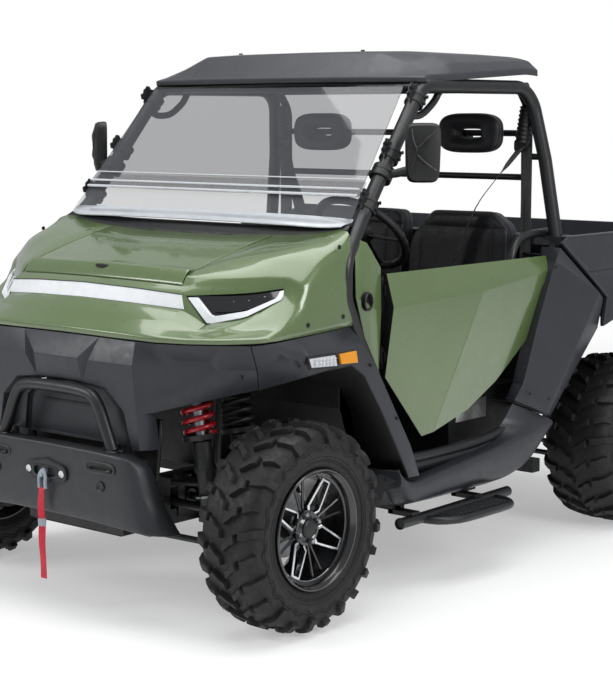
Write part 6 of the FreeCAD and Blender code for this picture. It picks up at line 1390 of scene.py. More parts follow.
def make_mirrors():
    """Side mirrors: rounded shell that tapers to the foot, raised spider ribs on its front, silvered
    glass at the rear, ball arm and split clamp on the windscreen post."""
    outline = oval(1.0, 1.0, 44, 5.5)

    def ring(wide, high, y):
        return np.column_stack([766 + outline[:, 0] * wide * (1 + 0.04 * outline[:, 1]), np.full(44, y),
                                1468 + outline[:, 1] * high])
    shell = looped([ring(60, 91, 652), ring(65, 97, 650), ring(66, 98, 642), ring(64, 96, 622),
                    ring(59, 90, 611), ring(40, 66, 604), ring(0.1, 0.1, 602)])
    glass = looped([ring(58, 90, 652), ring(57, 89, 649.5)], last=True)
    ribs = []
    for line in (((722, 613, 1546), (726, 606, 1508), (742, 603, 1478), (732, 605, 1452), (716, 613, 1402)),
                 ((742, 603, 1484), (775, 602, 1512), (816, 613, 1540)),
                 ((742, 603, 1462), (772, 602, 1436), (816, 613, 1410))):
        ribs.append(tube(curved(line, 0.2, 4), 6.0, 8))
    arm = tube([(648, 576, 1398), (684, 584, 1400), (728, 604, 1412)], np.array([15.0, 14.0, 16.0]), 16)
    yaw = math.radians(40)

    def turned_out(shape):
        points = flat(shape[0])
        x, y = (points[:, 0] - 766) * 0.88, points[:, 1] - 625
        return np.column_stack([768 + x * math.cos(yaw) - y * math.sin(yaw),
                                622 + x * math.sin(yaw) + y * math.cos(yaw), points[:, 2]]), shape[1]
    shell, glass, ribs = turned_out(shell), turned_out(glass), [turned_out(rib) for rib in ribs]
    ball = turned([(-16, 0.01), (-14, 9), (-8, 15), (0, 17), (8, 15), (14, 9), (16, 0.01)],
                  (730, 602, 1412), (1, 0.5, 0), 20)
    clamp = turned([(-24, 34), (-22, 38), (-2, 38), (-1, 36.5), (1, 36.5), (2, 38), (22, 38), (24, 34)],
                   (637, 573, 1398), (-0.051, 0.637, 0.769), 28)
    studs = domes([(672, 566, 1412), (672, 556, 1392)], (1, -0.5, 0), 6, 5, 8)
    add_pair("mirror_shell", [("mirror_shell", [shell] + ribs), ("dark_moulding", [arm, ball, clamp]),
                              ("mirror", [glass]), ("bolt", [studs])], "body", ["mirrors"],
             slot="charcoal_plastic", merge=False, angle=40)


def make_cage_trim():
    """Grab handles on the windscreen posts, hip bars beside the seats and the tube loops that frame the
    doors."""
    handle = tube(curved([(606, 962, 1690), (602, 935, 1668), (600, 912, 1636), (600, 842, 1590),
                          (602, 776, 1586), (612, 752, 1600)], 0.42, 7), 12.5, 14)
    hip = tube(curved([(672, 1290, 1010), (672, 1296, 1084), (672, 1328, 1134), (668, 1402, 1156),
                       (650, 1566, 1158)], 0.42, 7), 15.5, 16)
    loop = tube(curved([(700, 1470, 1010), (708, 1392, 754), (710, 1346, 580), (710, 1262, 478),
                        (710, 1120, 446), (710, 930, 438), (710, 640, 438), (706, 545, 470)], 0.4, 7), 18.0,
                16)
    for name, bar in (("door_loop", loop), ("grab_handle", handle), ("hip_bar", hip)):
        add_pair(name, [("tube", [bar])], "body", slot="black_tube", merge=False, angle=40)


CLOTH_STEPS = 20  # frames of the air pressure's run
AIR_PRESSURE = 4.0
SEAM_CALM = 26.0  # mm, width of the bell that holds the swelling back beside a seam
SEAM_WIDTH = 5.5  # mm, width of the bell that draws the seam in
SEAM_DEPTH = 4.0  # mm
SEAT_VOXEL, HEADREST_VOXEL = 7.5, 6.0  # mm, the remesher's steps
HEADREST_SWELL = 4.0  # mm


def read_points(mesh, key):
    """One vector of three numbers for every vertex of a mesh."""
    values = np.zeros(len(mesh.vertices) * 3, np.float32)
    mesh.vertices.foreach_get(key, values)
    return values.reshape(-1, 3).astype(float)


def swell(piece, voxel, cap, seams):
    """Cloth under air pressure. The shape is remeshed evenly, blown up with gravity off, and each point's
    move is held to the cap, and to less near a seam: the cap times one less a bell curve of the distance
    to the seam. Then every seam is drawn in along the surface's normal by the same bell curve, narrower.
    A seam is a plane and the direction that its side of the pad faces."""
    mesher = piece.modifiers.new("Even", "REMESH")
    mesher.mode = "VOXEL"
    mesher.voxel_size = voxel * MM
    finish = piece.data.materials[0]
    graph = bpy.context.evaluated_depsgraph_get()
    mesh = bpy.data.meshes.new_from_object(piece.evaluated_get(graph))
    piece.modifiers.clear()
    piece.data = mesh
    mesh.materials.clear()
    mesh.materials.append(finish)
    count = len(mesh.vertices)
    start = after = read_points(mesh, "co")
    cloth = piece.modifiers.new("Air", "CLOTH")
    cloth.settings.use_pressure = True
    cloth.settings.uniform_pressure_force = AIR_PRESSURE
    cloth.settings.effector_weights.gravity = 0.0
    cloth.point_cache.frame_end = CLOTH_STEPS
    for frame_number in range(1, CLOTH_STEPS + 1):
        bpy.context.scene.frame_set(frame_number)
    graph = bpy.context.evaluated_depsgraph_get()
    after = read_points(piece.evaluated_get(graph).data, "co")
    piece.modifiers.clear()
    bpy.context.scene.frame_set(1)
    way = read_points(mesh, "normal")
    move = after - start
    length = np.linalg.norm(move, axis=1)[:, None] + 1e-9
    free, drawn = np.ones(count), np.zeros(count)
    for place, normal, side in seams:
        normal = np.asarray(normal, float) / np.linalg.norm(normal)
        gap = abs((start - (np.asarray(place, float) + (0, AXLE_SHIFT, 0)) * MM) @ normal) / MM
        on = np.ones(count) if side is None else 1 / (1
                                                      + np.exp(-(way @ np.asarray(side, float) - 0.35) * 12))
        free *= 1 - 0.8 * on * np.exp(-(gap / SEAM_CALM) ** 2)
        drawn = np.maximum(drawn, on * np.exp(-(gap / SEAM_WIDTH) ** 2))
    final = start + move * np.minimum(1, cap * MM / length) * free[:, None]
    final -= way * drawn[:, None] * SEAM_DEPTH * MM
    mesh.vertices.foreach_set("co", final.astype(np.float32).ravel())
    mesh.update()
    mesh.polygons.foreach_set("use_smooth", np.ones(len(mesh.polygons), bool))
    finer = piece.modifiers.new("Finer", "SUBSURF")
    finer.levels = finer.render_levels = 1


def pad_loops(outline, depths, insets, place):
    """Closed pad from one outline of pairs: loops at several depths, each drawn in toward the outline's
    middle by its inset, with both ends closed. place turns (pair, pair, depth) columns into points."""
    outline = np.asarray(outline, float)
    middle = (outline.max(0) + outline.min(0)) / 2
    reach = (outline.max(0) - outline.min(0)) / 2
    loops = [place(middle + (outline - middle) * (1 - inset / reach), np.full(len(outline), depth))
             for depth, inset in zip(depths, insets)]
    return looped(loops, first=True, last=True)


def make_seat_cushions():
    """Seat cushions: rounded pads with raised side bolsters and a front roll, sewn in three channels."""
    cap = round(bpy.context.scene.vehicle_sizes.seat_swell / MM, 3)
    for name, low_x, high_x, seams_x in (("driver", 92.0, 556.0, (166.0, 482.0)),
                                         ("bench", -556.0, 82.0, (-482.0, -150.0, 8.0))):
        half, centre = (high_x - low_x) / 2, (high_x + low_x) / 2
        outline = oval(half - 6, 190, 72, 7.0) + (centre, 1195)

        def place(pair, depth):
            across = abs(pair[:, 0] - centre) / half
            bolster = 9 * np.clip((across - 0.66) / 0.34, 0, 1) ** 1.5 * (depth > 660)
            roll = 14 * np.clip((1075 - pair[:, 1]) / 75, 0, 1) ** 2 * (depth > 660)
            return np.column_stack([pair, depth + bolster - roll])
        pad = pad_loops(outline, (604, 616, 650, 685, 700, 706), (16, 5, 1, 3, 12, 30), place)
        piece = add_piece(f"seat_cushion_{name}", [("vinyl", [pad])], "body", "vinyl",
                          replaces=("seat_cushions",) if name == "driver" else ())
        seams = [((x, 0, 0), (1, 0, 0), (0, 0, 1)) for x in seams_x]
        seams += [((0, y, 0), (0, 1, 0), (0, 0, 1)) for y in (1088.0, 1210.0)]
        seams.append(((0, 0, 676), (0, 0, 1), None))
        swell(piece, SEAT_VOXEL, cap, seams)


def make_seat_backs():
    """Seat backs: leaning pads with slanted inner shoulders, side bolsters, two sewn channels and a top
    band."""
    cap = round(bpy.context.scene.vehicle_sizes.seat_swell / MM, 3)
    backs = (("driver", [(566, 640), (566, 1140), (552, 1188), (490, 1232), (462, 1238), (214, 1236),
                         (190, 1230), (108, 1140), (94, 1060), (90, 640)], (172.0, 486.0)),
             ("bench", [(80, 640), (80, 1190), (62, 1224), (38, 1234), (-452, 1238), (-490, 1232),
                        (-552, 1188), (-566, 1140), (-566, 640)], (-486.0, -150.0, 6.0)))
    for name, line, seams_x in backs:
        line = np.array(line, float)
        count = len(line)
        rounded = corner_weights([0] + [0.36] * count + [0], 6)[1:-1] @ line[np.arange(-1, count + 1) % count]
        fine = np.concatenate([rounded[:-1] + (rounded[1:] - rounded[:-1]) * t for t in (0.0, 0.5)])
        order = np.arange(len(rounded) - 1)
        outline = fine[np.stack([order, order + len(rounded) - 1], 1).ravel()]
        outline = np.concatenate([outline, rounded[-1:]])
        low_x, high_x = outline[:, 0].min(), outline[:, 0].max()

        def place(pair, depth):
            rise = (pair[:, 1] - 606) / 635
            across = abs(pair[:, 0] - (low_x + high_x) / 2) / ((high_x - low_x) / 2)
            bolster = 10 * np.clip((across - 0.68) / 0.32, 0, 1) ** 1.5 * (depth < 30)
            lumbar = 8 * np.exp(-((rise - 0.3) / 0.18) ** 2) * (depth < 30)
            return np.column_stack([pair[:, 0], 1398 + 36 * rise + depth - bolster - lumbar, pair[:, 1]])
        pad = pad_loops(outline, (16, 18, 26, 50, 84, 100, 102), (40, 20, 6, 1, 1, 8, 20), place)
        piece = add_piece(f"seat_back_{name}", [("vinyl", [pad])], "body", "vinyl",
                          replaces=("seat_backs",) if name == "driver" else ())
        seams = [((x, 0, 0), (1, 0, 0), (0, -1, 0)) for x in seams_x]
        seams += [((0, 0, z), (0, 0, 1), (0, -1, 0)) for z in (1168.0, 960.0)]
        seams.append(((0, 1440, 900), (0, 1, -0.06), None))
        swell(piece, SEAT_VOXEL, cap, seams)


def make_headrests():
    """Headrests: moulded oval pads with a slot through them and a dished front, on two steel lugs."""
    turn = 56
    outer, slot = oval(140, 76, turn, 3.4), oval(52, 15, turn, 4.0)
    rings = []
    for depth, mix, grow in ((60, 0.0, -12), (66, 0.10, -14), (66, 0.65, 0), (62, 1.0, 3), (40, 1.0, 0),
                             (20, 1.0, 6), (10, 0.72, 0), (2, 0.34, 0), (3, 0.16, 0), (12, 0.0, -3),
                             (34, 0.0, 0), (50, 0.0, -4)):
        pair = outer * (1 - mix) + slot * mix
        pair = pair * (1 + grow / np.linalg.norm(pair, axis=1))[:, None]
        rings.append(np.column_stack([362 + pair[:, 0], np.full(turn, 1446 + depth), 1523 + pair[:, 1]]))
    pad = looped(rings, wrap=True)
    for side, word in SIDES:
        shape = pad if side > 0 else mirrored(pad)
        piece = add_piece(f"headrest_{word}", [("vinyl", [shape])], "body", "vinyl",
                          replaces=("headrests",) if side > 0 else ())
        swell(piece, HEADREST_VOXEL, HEADREST_SWELL, [((0, 1478, 0), (0, 1, 0), None)])
    lugs = [block((x, 1508, 1506), (x + 26, 1548, 1534)) for x in (300, 398)]
    add_pair("headrest_lugs", [("tube", lugs)], "body", bevel=2.0)


def make_belts():
    """Seat belts: corrugated boots hung from a bolted plate, a guide at the foot, webbing across the seat
    back and down to the reel, and the stalk with its buckle."""
    foot, top = np.array([579.0, 1500.0, 1492.0]), np.array([597.0, 1500.0, 1618.0])
    way = (top - foot) / np.linalg.norm(top - foot)
    steps = np.linspace(0, 1, 49)
    profile = np.column_stack([steps * np.linalg.norm(top - foot),
                               24.5 - 1.5 * steps + 4.6 * np.abs(2 * ((steps * 8) % 1) - 1)])
    profile = np.concatenate([[(-2, 12)], [(-2, 24)], profile, [(130, 22), (134, 17), (134, 8)]])
    boot = turned(profile, foot, way, 28)
    plate = prism([(1494, 1612), (1506, 1612), (1512, 1686), (1506, 1694), (1494, 1694), (1488, 1686)], 592,
                  597)
    bolt = turned([(0, 12), (3, 12), (3, 9), (9, 9), (10, 7), (10, 0.1)], (597, 1500, 1668), (1, 0, 0), 6)
    guide = prism(oval(27, 21, 32, 5.0) + (577, 1478), 1488, 1500, axis=1)
    shoulder = curved([(586, 1494, 1480), (510, 1440, 1360), (438, 1412, 1258), (380, 1396, 1112),
                       (344, 1382, 965), (322, 1369, 850)], 0.4, 8)
    down = curved([(590, 1510, 1474), (592, 1512, 1300), (592, 1512, 1150), (590, 1512, 985)], 0.3, 6)
    reel = bordered([(572, 1490, 935), (612, 1490, 935), (612, 1530, 935), (572, 1530, 935)], 62, 3,
                    (0, 0, 1))
    buckle = bordered([(306, 1362, 838), (340, 1362, 838), (340, 1380, 838), (306, 1380, 838)], 56, 2,
                      (0, 0, 1))
    stalk = tube([(322, 1371, 842), (312, 1384, 760), (306, 1392, 700)], 7.5, 10)
    press = bordered([(313, 1363, 878), (333, 1363, 878), (333, 1363, 892), (313, 1363, 892)], 3, 2,
                     (0, -1, 0))
    add_pair("belt_boot", [("dark_moulding", [boot, guide, reel, buckle, stalk]), ("tube", [plate]),
                           ("brass", [bolt]), ("red_lens", [press])], "body", ["seat_belts"], merge=False,
             angle=38)
    for name, line in (("shoulder", shoulder), ("reel", down)):
        ahead = np.gradient(line, axis=0)
        side = np.cross(ahead, (0, 1.0, 0))
        front = np.cross(side, ahead) / np.linalg.norm(ahead, axis=1)[:, None]
        edge_on = np.arctan2(front @ TO_CAMERA, side @ TO_CAMERA)
        hold = np.interp(np.linspace(0, 1, len(line)), (0, 0.1, 0.5, 0.8, 1), (0.6, 1, 1, 0.25, 0.0))
        twist = edge_on * hold if name == "shoulder" else np.zeros(len(line))
        band, faces, places = ribbon(line, 46.0, 1.8, twist)
        for side, word in SIDES:
            shape = (band, faces) if side > 0 else mirrored((band, faces))
            piece = add_piece(f"belt_{name}_{word}", [("webbing", [shape])], "body", "webbing", merge=False)
            lay_pattern(piece, places)


def post_point(z, out=0.0):
    """Middle of the windscreen post's tube at a height."""
    return np.array([644 - 0.0667 * (z - 1295) + out, 488 + 0.829 * (z - 1295), z])


SCREEN_FOOT, SCREEN_FOOT_Y = 1240, 376  # mm, the screen's foot: its height and its place along the vehicle
SCREEN_LEAN, SCREEN_TAPER = 0.85, 0.144  # run rearward and loss of half width, both per height


def screen_edge(z, half, step):
    """Half width and place along the vehicle of the screen at a height, stepped out from its face."""
    return half - (z - SCREEN_FOOT) * SCREEN_TAPER, SCREEN_FOOT_Y + SCREEN_LEAN * (z - SCREEN_FOOT) + step


def make_windscreen():
    """Two-part screen: smoky upper sheet with folded lower rim, clear lower sheet, a bright air deflector
    over the cowl, and six split clamps with wavy plates and black bolts."""
    square = (0, -0.76, 0.65)

    def pane(heights, back):
        rows = []
        for z, step in zip(heights, back):
            half, y = screen_edge(z, 655.0, step)
            rows.append([(-half, y, z), (-half * 0.5, y - 3, z), (0, y - 5, z), (half * 0.5, y - 3, z),
                         (half, y, z)])
        surface, _ = skin(np.array(rows, float), [0] * len(rows), [0, 0.5, 0.5, 0.5, 0], 5)
        return wall(surface, 4.5, square)
    upper = pane((1331, 1350, 1381, 1500, 1640, 1688), (-9, -14, -10, -10, -10, -10))
    lower = pane((1242, 1300, 1374), (0, 0, 0))
    ribs = []
    for z, step, size in ((1331, -12, 5.0), (1352, -18, 4.0), (1382, -14, 2.6)):
        half, y = screen_edge(z, 652, step)
        ribs.append(tube([(-half, y, z), (0, y - 5, z), (half, y, z)], size, 8))
    lip = np.array([[(0, 392, 1266), (400, 392, 1264), (600, 395, 1260), (652, 402, 1256)],
                    [(0, 380, 1256), (400, 380, 1254), (600, 383, 1250), (655, 391, 1248)],
                    [(0, 340, 1247), (400, 342, 1245), (590, 350, 1240), (640, 368, 1240)],
                    [(0, 328, 1236), (400, 330, 1234), (580, 340, 1230), (634, 362, 1234)]], float)
    surface, _ = skin(whole_width(lip), [0, 0.4, 0.3, 0], whole_shares([0, 0.4, 0.4, 0], 0.4), 5)
    deflector = wall(surface, 3.0, (0, -0.3, 0.95))
    add_piece("screen_upper", [("upper_glass", [upper])], "body", "glazing", replaces=("windscreen",),
              merge=False)
    add_piece("screen_lower", [("lower_glass", [lower])], "body", "glazing", merge=False)
    add_piece("screen_rims", [("clear_lens", ribs)], "body", merge=False)
    add_piece("screen_deflector", [("deflector", [deflector])], "body", merge=False)
    run = (post_point(1500) - post_point(1300)) / np.linalg.norm(post_point(1500) - post_point(1300))
    deep = np.array(square)
    bands, plates, bolts = [], [], []
    for z in (1295.0, 1456.0, 1640.0):
        centre = post_point(z)
        bands.append(turned([(-22, 27), (-22, 31), (-20, 33.5), (-9, 33.5), (-8, 31.5), (8, 31.5),
                             (9, 33.5), (20, 33.5), (22, 31), (22, 27)], centre, run, 36))
        line = [(-30, 14), (-34, 34), (-24, 40), (-30, 52), (-20, 62), (-6, 60), (2, 66), (14, 62),
                (24, 64), (32, 52), (28, 40), (34, 30), (30, 14)]
        loops = [np.array([centre + run * a + deep * b + (out, 0, 0) for a, b in line])
                 for out in (6.0, 10.0)]
        plates.append(looped(loops, first=True, last=True))
        for a in (-13, 13):
            spot = centre + run * a + deep * 52 + (10, 0, 0)
            bolts.append(turned([(0, 9), (2, 9.5), (2.4, 7.5), (7.5, 7.5), (9, 5.5), (9, 0.1)], spot,
                                (1, -0.2, 0), 12))
            spot = centre + run * a * 1.1 + (34, 10, 0)
            bolts.append(turned([(0, 6), (5, 6), (6, 4), (6, 0.1)], spot, (1, 0.2, 0), 12))
    add_pair("screen_clamps", [("dark_moulding", bands), ("tube", plates), ("bolt", bolts)], "body",
             ["windscreen_clamps"], merge=False, angle=35)


def make_dash():
    """Moulded dash: crowned cap, upright fascia with a raised instrument hood and dark display, glove box
    lid, vents, switches, shift gate and the steering column's shroud."""
    net = np.array([
        [(0, 348, 1188), (300, 348, 1186), (540, 356, 1176), (592, 372, 1150)],
        [(0, 470, 1202), (300, 470, 1200), (545, 474, 1190), (598, 480, 1160)],
        [(0, 560, 1192), (300, 560, 1190), (545, 560, 1176), (598, 556, 1146)],
        [(0, 604, 1150), (300, 604, 1148), (545, 598, 1134), (598, 586, 1110)],
        [(0, 590, 1040), (300, 590, 1040), (545, 586, 1036), (596, 576, 1020)],
        [(0, 540, 938), (300, 540, 938), (540, 540, 938), (588, 536, 936)],
    ], float)
    shell = sheet(whole_width(net), [0, 0.45, 0.3, 0.4, 0.4, 0], whole_shares([0, 0, 0.4, 0], 0), 6)
    hood = pad_loops(oval(118, 44, 40, 3.0) + (358, 1186), (540, 560, 606, 640, 646), (20, 4, 0, 2, 10),
                     lambda pair, depth: np.column_stack([pair[:, 0], depth, pair[:, 1]]))
    display = prism(oval(92, 30, 36, 4.0) + (358, 1188), 645, 650, axis=1)
    lid = bordered([(-520, 598, 1052), (-180, 598, 1052), (-180, 604, 1128), (-520, 604, 1128)], 9, 10,
                   (0, 1, 0))
    panel = bordered([(-120, 596, 1040), (150, 596, 1040), (150, 606, 1136), (-120, 606, 1136)], 8, 8,
                     (0, 1, 0))
    keys = [bordered([(x, 606, 1096), (x + 34, 606, 1096), (x + 34, 608, 1126), (x, 608, 1126)], 7, 3,
                     (0, 1, 0)) for x in (-106, -62, -18, 26, 70, 112)]
    vents = [turned([(0, 34), (6, 34), (8, 30), (3, 26), (2, 0.1)], (x, 598, 1120), (0, 1, 0.2), 28)
             for x in (-560, -150, 180, 548)]
    shroud = pad_loops(oval(46, 40, 28, 2.6) + (358, 1140), (600, 640, 730, 770), (0, 0, 8, 14),
                       lambda pair, depth: np.column_stack([pair[:, 0], depth,
                                                            pair[:, 1] + (depth - 685) * 0.45]))
    grab = tube(curved([(-500, 606, 1150), (-494, 640, 1160), (-300, 642, 1162), (-206, 640, 1160),
                        (-200, 606, 1150)], 0.3, 5), 11, 12)
    shift = joined([tube([(60, 590, 1010), (64, 650, 1046)], 8, 12),
                    turned([(-22, 4), (-20, 14), (-6, 20), (8, 18), (16, 10), (18, 0.1)], (66, 662, 1056),
                           (0, 0.8, 0.6), 20)])
    add_piece("dash_shell", [("moulding", [shell])], "body", "charcoal_plastic", replaces=("dash",),
              thick=4.0, angle=35, facing=(0, 1, 0.4))
    add_piece("dash_trim", [("dark_moulding", [hood, lid, panel, shroud] + vents), ("lens", [display]),
                            ("moulding", keys), ("grip", [grab, shift])], "body", bevel=1.5, angle=30,
              merge=False)


def make_steering_wheel():
    """Steering wheel: foam-gripped rim with finger swells, three flat spokes and a padded hub."""
    centre, tilt = np.array([358.0, 820.0, 1178.0]), math.radians(45)
    right, up = np.array([1.0, 0, 0]), np.array([0, -math.sin(tilt), math.cos(tilt)])
    out = np.array([0, math.cos(tilt), math.sin(tilt)])
    turn = np.linspace(0, 2 * np.pi, 96, endpoint=False)
    ring = centre + 171 * (np.cos(turn)[:, None] * right + np.sin(turn)[:, None] * up)
    size = 14.2 + 1.3 * np.cos(turn * 24) * (np.sin(turn) < 0.2)
    rim = tube(ring, size, 16, True)
    spokes = []
    for angle in (math.radians(-10), math.radians(190), math.radians(270)):
        way = math.cos(angle) * right + math.sin(angle) * up
        line = np.array([centre + way * r + out * h for r, h in ((30, -2), (80, -4), (125, -3), (168, 0))])
        spokes.append(tube(line, np.array([20.0, 16.0, 13.0, 12.0]), 14, squash=0.36))
    hub = turned([(-30, 0.1), (-30, 26), (-14, 40), (8, 47), (16, 42), (20, 28), (21, 0.1)], centre, out, 36)
    badge = turned([(20, 0.1), (20, 24), (23, 23), (23, 0.1)], centre, out, 28)
    add_piece("steering_rim", [("grip", [rim]), ("dark_moulding", spokes + [hub]), ("moulding", [badge])],
              "steering_wheel", "soft_grip", replaces=("steering_wheel",), merge=False, angle=40)


def softened(name, node, finish, body, width=2.0, angle=35):
    """A rigid solid's own mesh, copied, its doubles merged and its flat facets joined, with its edges
    rounded."""
    work = bmesh.new()
    work.from_mesh(NODES[node].data)
    bmesh.ops.remove_doubles(work, verts=work.verts, dist=SOLID_MERGE_GAP)
    bmesh.ops.dissolve_limit(work, angle_limit=math.radians(1.0), verts=work.verts, edges=work.edges,
                             delimit={"NORMAL"})
    bmesh.ops.recalc_face_normals(work, faces=work.faces)
    mesh = bpy.data.meshes.new(name)
    work.to_mesh(mesh)
    work.free()
    mesh.materials.clear()
    mesh.materials.append(FINISHES[finish])
    mesh.polygons.foreach_set("material_index", np.zeros(len(mesh.polygons), np.int32))
    piece = shown(name, mesh, angle)
    round_edges(piece, width, angle)
    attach(piece, body)
    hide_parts(node)


def make_bed():
    """Cargo bed: the box with softened edges, folded rim lips, stamped outer flanks, ribbed floor and
    front wall, and tie-down loops."""
    softened("bed_box", "bed", "moulding", "bed", 2.5)
    top = [(1466, 1124), (1500, 1142), (2538, 1142), (2538, 1016), (1640, 1016)]
    low = [(1648, 1010), (2538, 1010), (2538, 905), (2470, 832), (1850, 822), (1768, 800), (1790, 905)]
    flank = bordered([(786, y, z) for y, z in top], 4, 8)
    lower = bordered([(786, y, z) for y, z in low], 3, 8)
    carrier = prism([(1462, 1126), (1500, 1146), (2545, 1146), (2545, 903), (2474, 828), (1850, 817),
                     (1762, 795), (1786, 906)], 772, 786.5)
    lip = prism([(744, 1148), (783, 1149), (787, 1146), (787, 1141), (744, 1141)], 1504, 2540, axis=1)
    bolts = domes([(785, y, 1126) for y in (1590, 1720, 1900, 2080, 2260, 2440)], (1, 0, 0), 5.5, 3.5, 8)
    add_pair("bed_flank", [("moulding", [flank, lower, carrier, lip]), ("bolt", [bolts])], "bed",
             slot="charcoal_plastic", bevel=1.5, angle=30, merge=False)
    ribs = [bordered([(x - 16, 1600, 851), (x + 16, 1600, 851), (x + 16, 2500, 851), (x - 16, 2500, 851)],
                     8, 7, (0, 0, 1)) for x in np.linspace(-560, 560, 9)]
    front = [prism([(1522, 1112), (1526, 1146), (1560, 1146), (1560, 1140), (1532, 1140), (1528, 1112)],
                   -742, 742)]
    wall_ribs = [bordered([(x - 30, 1557, 880), (x + 30, 1557, 880), (x + 30, 1557, 1100),
                           (x - 30, 1557, 1100)], 7, 8, (0, 1, 0)) for x in (-540, -270, 0, 270, 540)]
    loops = [tube(curved([(x - 34, 1524, 1076), (x - 34, 1506, 1076), (x + 34, 1506, 1076),
                          (x + 34, 1524, 1076)], 0.4, 5), 4.5, 8) for x in (-620, -340, 340, 620)]
    rings = [tube(curved([(x * 0.99, y - 30, 1098), (x * 0.962, y - 30, 1092), (x * 0.962, y + 30, 1092),
                          (x * 0.99, y + 30, 1098)], 0.4, 5), 4.5, 8) for x in (-746, 746)
             for y in (1720, 2280)]
    add_piece("bed_ribs", [("moulding", ribs + front + wall_ribs), ("bolt", loops + rings)], "bed", bevel=1.2,
              angle=30, merge=False)


def make_tailgate():
    """Tailgate: softened panel with a pressed outer frame and a recessed latch handle."""
    softened("tailgate_panel", "tailgate", "moulding", "tailgate", 3.0)
    frames = [bordered([(x0, 2551, 858), (x0, 2551, 1108), (x1, 2551, 1108), (x1, 2551, 858)], 5, 14,
                       (0, 1, 0)) for x0, x1 in ((-728, -170), (170, 728))]
    cup = bordered([(-110, 2551, 1010), (-110, 2551, 1092), (110, 2551, 1092), (110, 2551, 1010)], 4, 10,
                   (0, 1, 0))
    paddle = bordered([(-80, 2556, 1034), (-80, 2556, 1072), (80, 2556, 1072), (80, 2556, 1034)], 6, 5,
                      (0, 1, 0))
    add_piece("tailgate_trim", [("moulding", frames), ("dark_moulding", [cup]), ("grip", [paddle])],
              "tailgate", bevel=2.0, angle=30, merge=False)


def make_tail_lamps():
    """Tail lamps: red lens over a clear reversing lens in a dark bezel."""
    lens = bordered([(751, 2545, 948), (751, 2545, 1022), (779, 2545, 1022), (779, 2545, 948)], 8, 4,
                    (0, 1, 0))
    clear = bordered([(751, 2545, 908), (751, 2545, 942), (779, 2545, 942), (779, 2545, 908)], 8, 4,
                     (0, 1, 0))
    bezel = prism([(747, 902), (783, 902), (783, 1028), (747, 1028)], 2534, 2548, axis=1)
    add_pair("tail_lamp", [("red_lens", [lens]), ("clear_lens", [clear]), ("dark_moulding", [bezel])], "bed",
             ["tail_lamps"], bevel=1.5, angle=30, merge=False)


COIL_RADIUS, COIL_WIRE = 46.0, 8.5  # mm, to the wire's middle, and the wire's own radius


def make_springs():
    """Coil springs: round wire wound at a steady climb round each shock, its ends closed flat on two
    seats. The wire's middle is the shock's line plus the coil's radius times the cosine and sine of the
    turn."""
    low, high = np.array([500.0, 242.0]), np.array([400.0, 775.0])
    turns = bpy.context.scene.vehicle_sizes.coil_turns
    turn = np.linspace(0, 1, int(turns * 20) + 1)
    climb = 0.66 + 0.26 * np.clip((turn - 0.06) / 0.88, 0, 1)
    groups, seats = ({"front": [], "rear": []} for _ in range(2))
    for word, along in (("front", 0.0), ("rear", WHEELBASE)):
        for y in (along - 90, along + 90):
            angle = turn * turns * 2 * np.pi
            run = (high - low) / np.linalg.norm(high - low)
            centre = low + (high - low) * climb[:, None]
            x = centre[:, 0] + COIL_RADIUS * np.cos(angle) * run[1]
            z = centre[:, 1] - COIL_RADIUS * np.cos(angle) * run[0]
            line = np.column_stack([x, y + COIL_RADIUS * np.sin(angle), z])
            # The rear coil of each pair goes in with the black seats and sleeves: painted shade for the dark
            # behind the front coil.
            (groups if y < along else seats)[word].append(tube(line, COIL_WIRE, 10))
            for at in (0.64, 0.945):
                spot = low + (high - low) * at
                seats[word].append(turned([(-8, 24), (-8, 56), (8, 58), (8, 24)], (spot[0], y, spot[1]),
                                          (run[0], 0, run[1]), 32))
            spot = low + (high - low) * 0.06
            sleeve = [(0, 18), (0, 27), (16, 31), (200, 31), (206, 35), (218, 35), (224, 31), (300, 31),
                      (306, 14)]
            seats[word].append(turned(sleeve, (spot[0], y, spot[1]), (run[0], 0, run[1]), 28))
    for word in ("front", "rear"):
        add_pair("coil_spring_" + word, [("spring", groups[word]), ("chassis", seats[word])], "body",
                 ["springs"] if word == "front" else (), slot="spring_red", merge=False, angle=40)


SOFT_EDGES = (
    ("cab_tub", "dark_moulding", "body", 3.0), ("seat_base", "dark_moulding", "body", 3.0),
    ("skid_plate", "chassis", "body", 2.0), ("drive_units", "casting", "body", 2.5),
    ("hitch_receiver", "chassis", "body", 1.0), ("rack_housing", "chassis", "body", 1.5),
    ("battery", "battery", "body", 2.0), ("winch", "casting", "body", 1.5),
)


def make_soft_edges():
    """Rounds the edges of the large rigid solids that need no other form."""
    for node, finish, body, width in SOFT_EDGES:
        softened(node + "_finished", node, finish, body, width)
    label = bordered([(591.5, 1080, 492), (591.5, 1270, 492), (591.5, 1270, 566), (591.5, 1080, 566)], 1, 2)
    add_piece("seat_base_label", [("alloy_label", [label])], "body", merge=False)


FLOOR_HALF = 9.0  # m
FOCAL_LENGTH, SIDE_SHIFT = 93.16, 0.0643  # mm, and share of the sensor's width
CAMERA_PLACE, CAMERA_AIM = (4.199, -5.1635, 1.596), (0.0, -0.3975, 0.7784)  # m


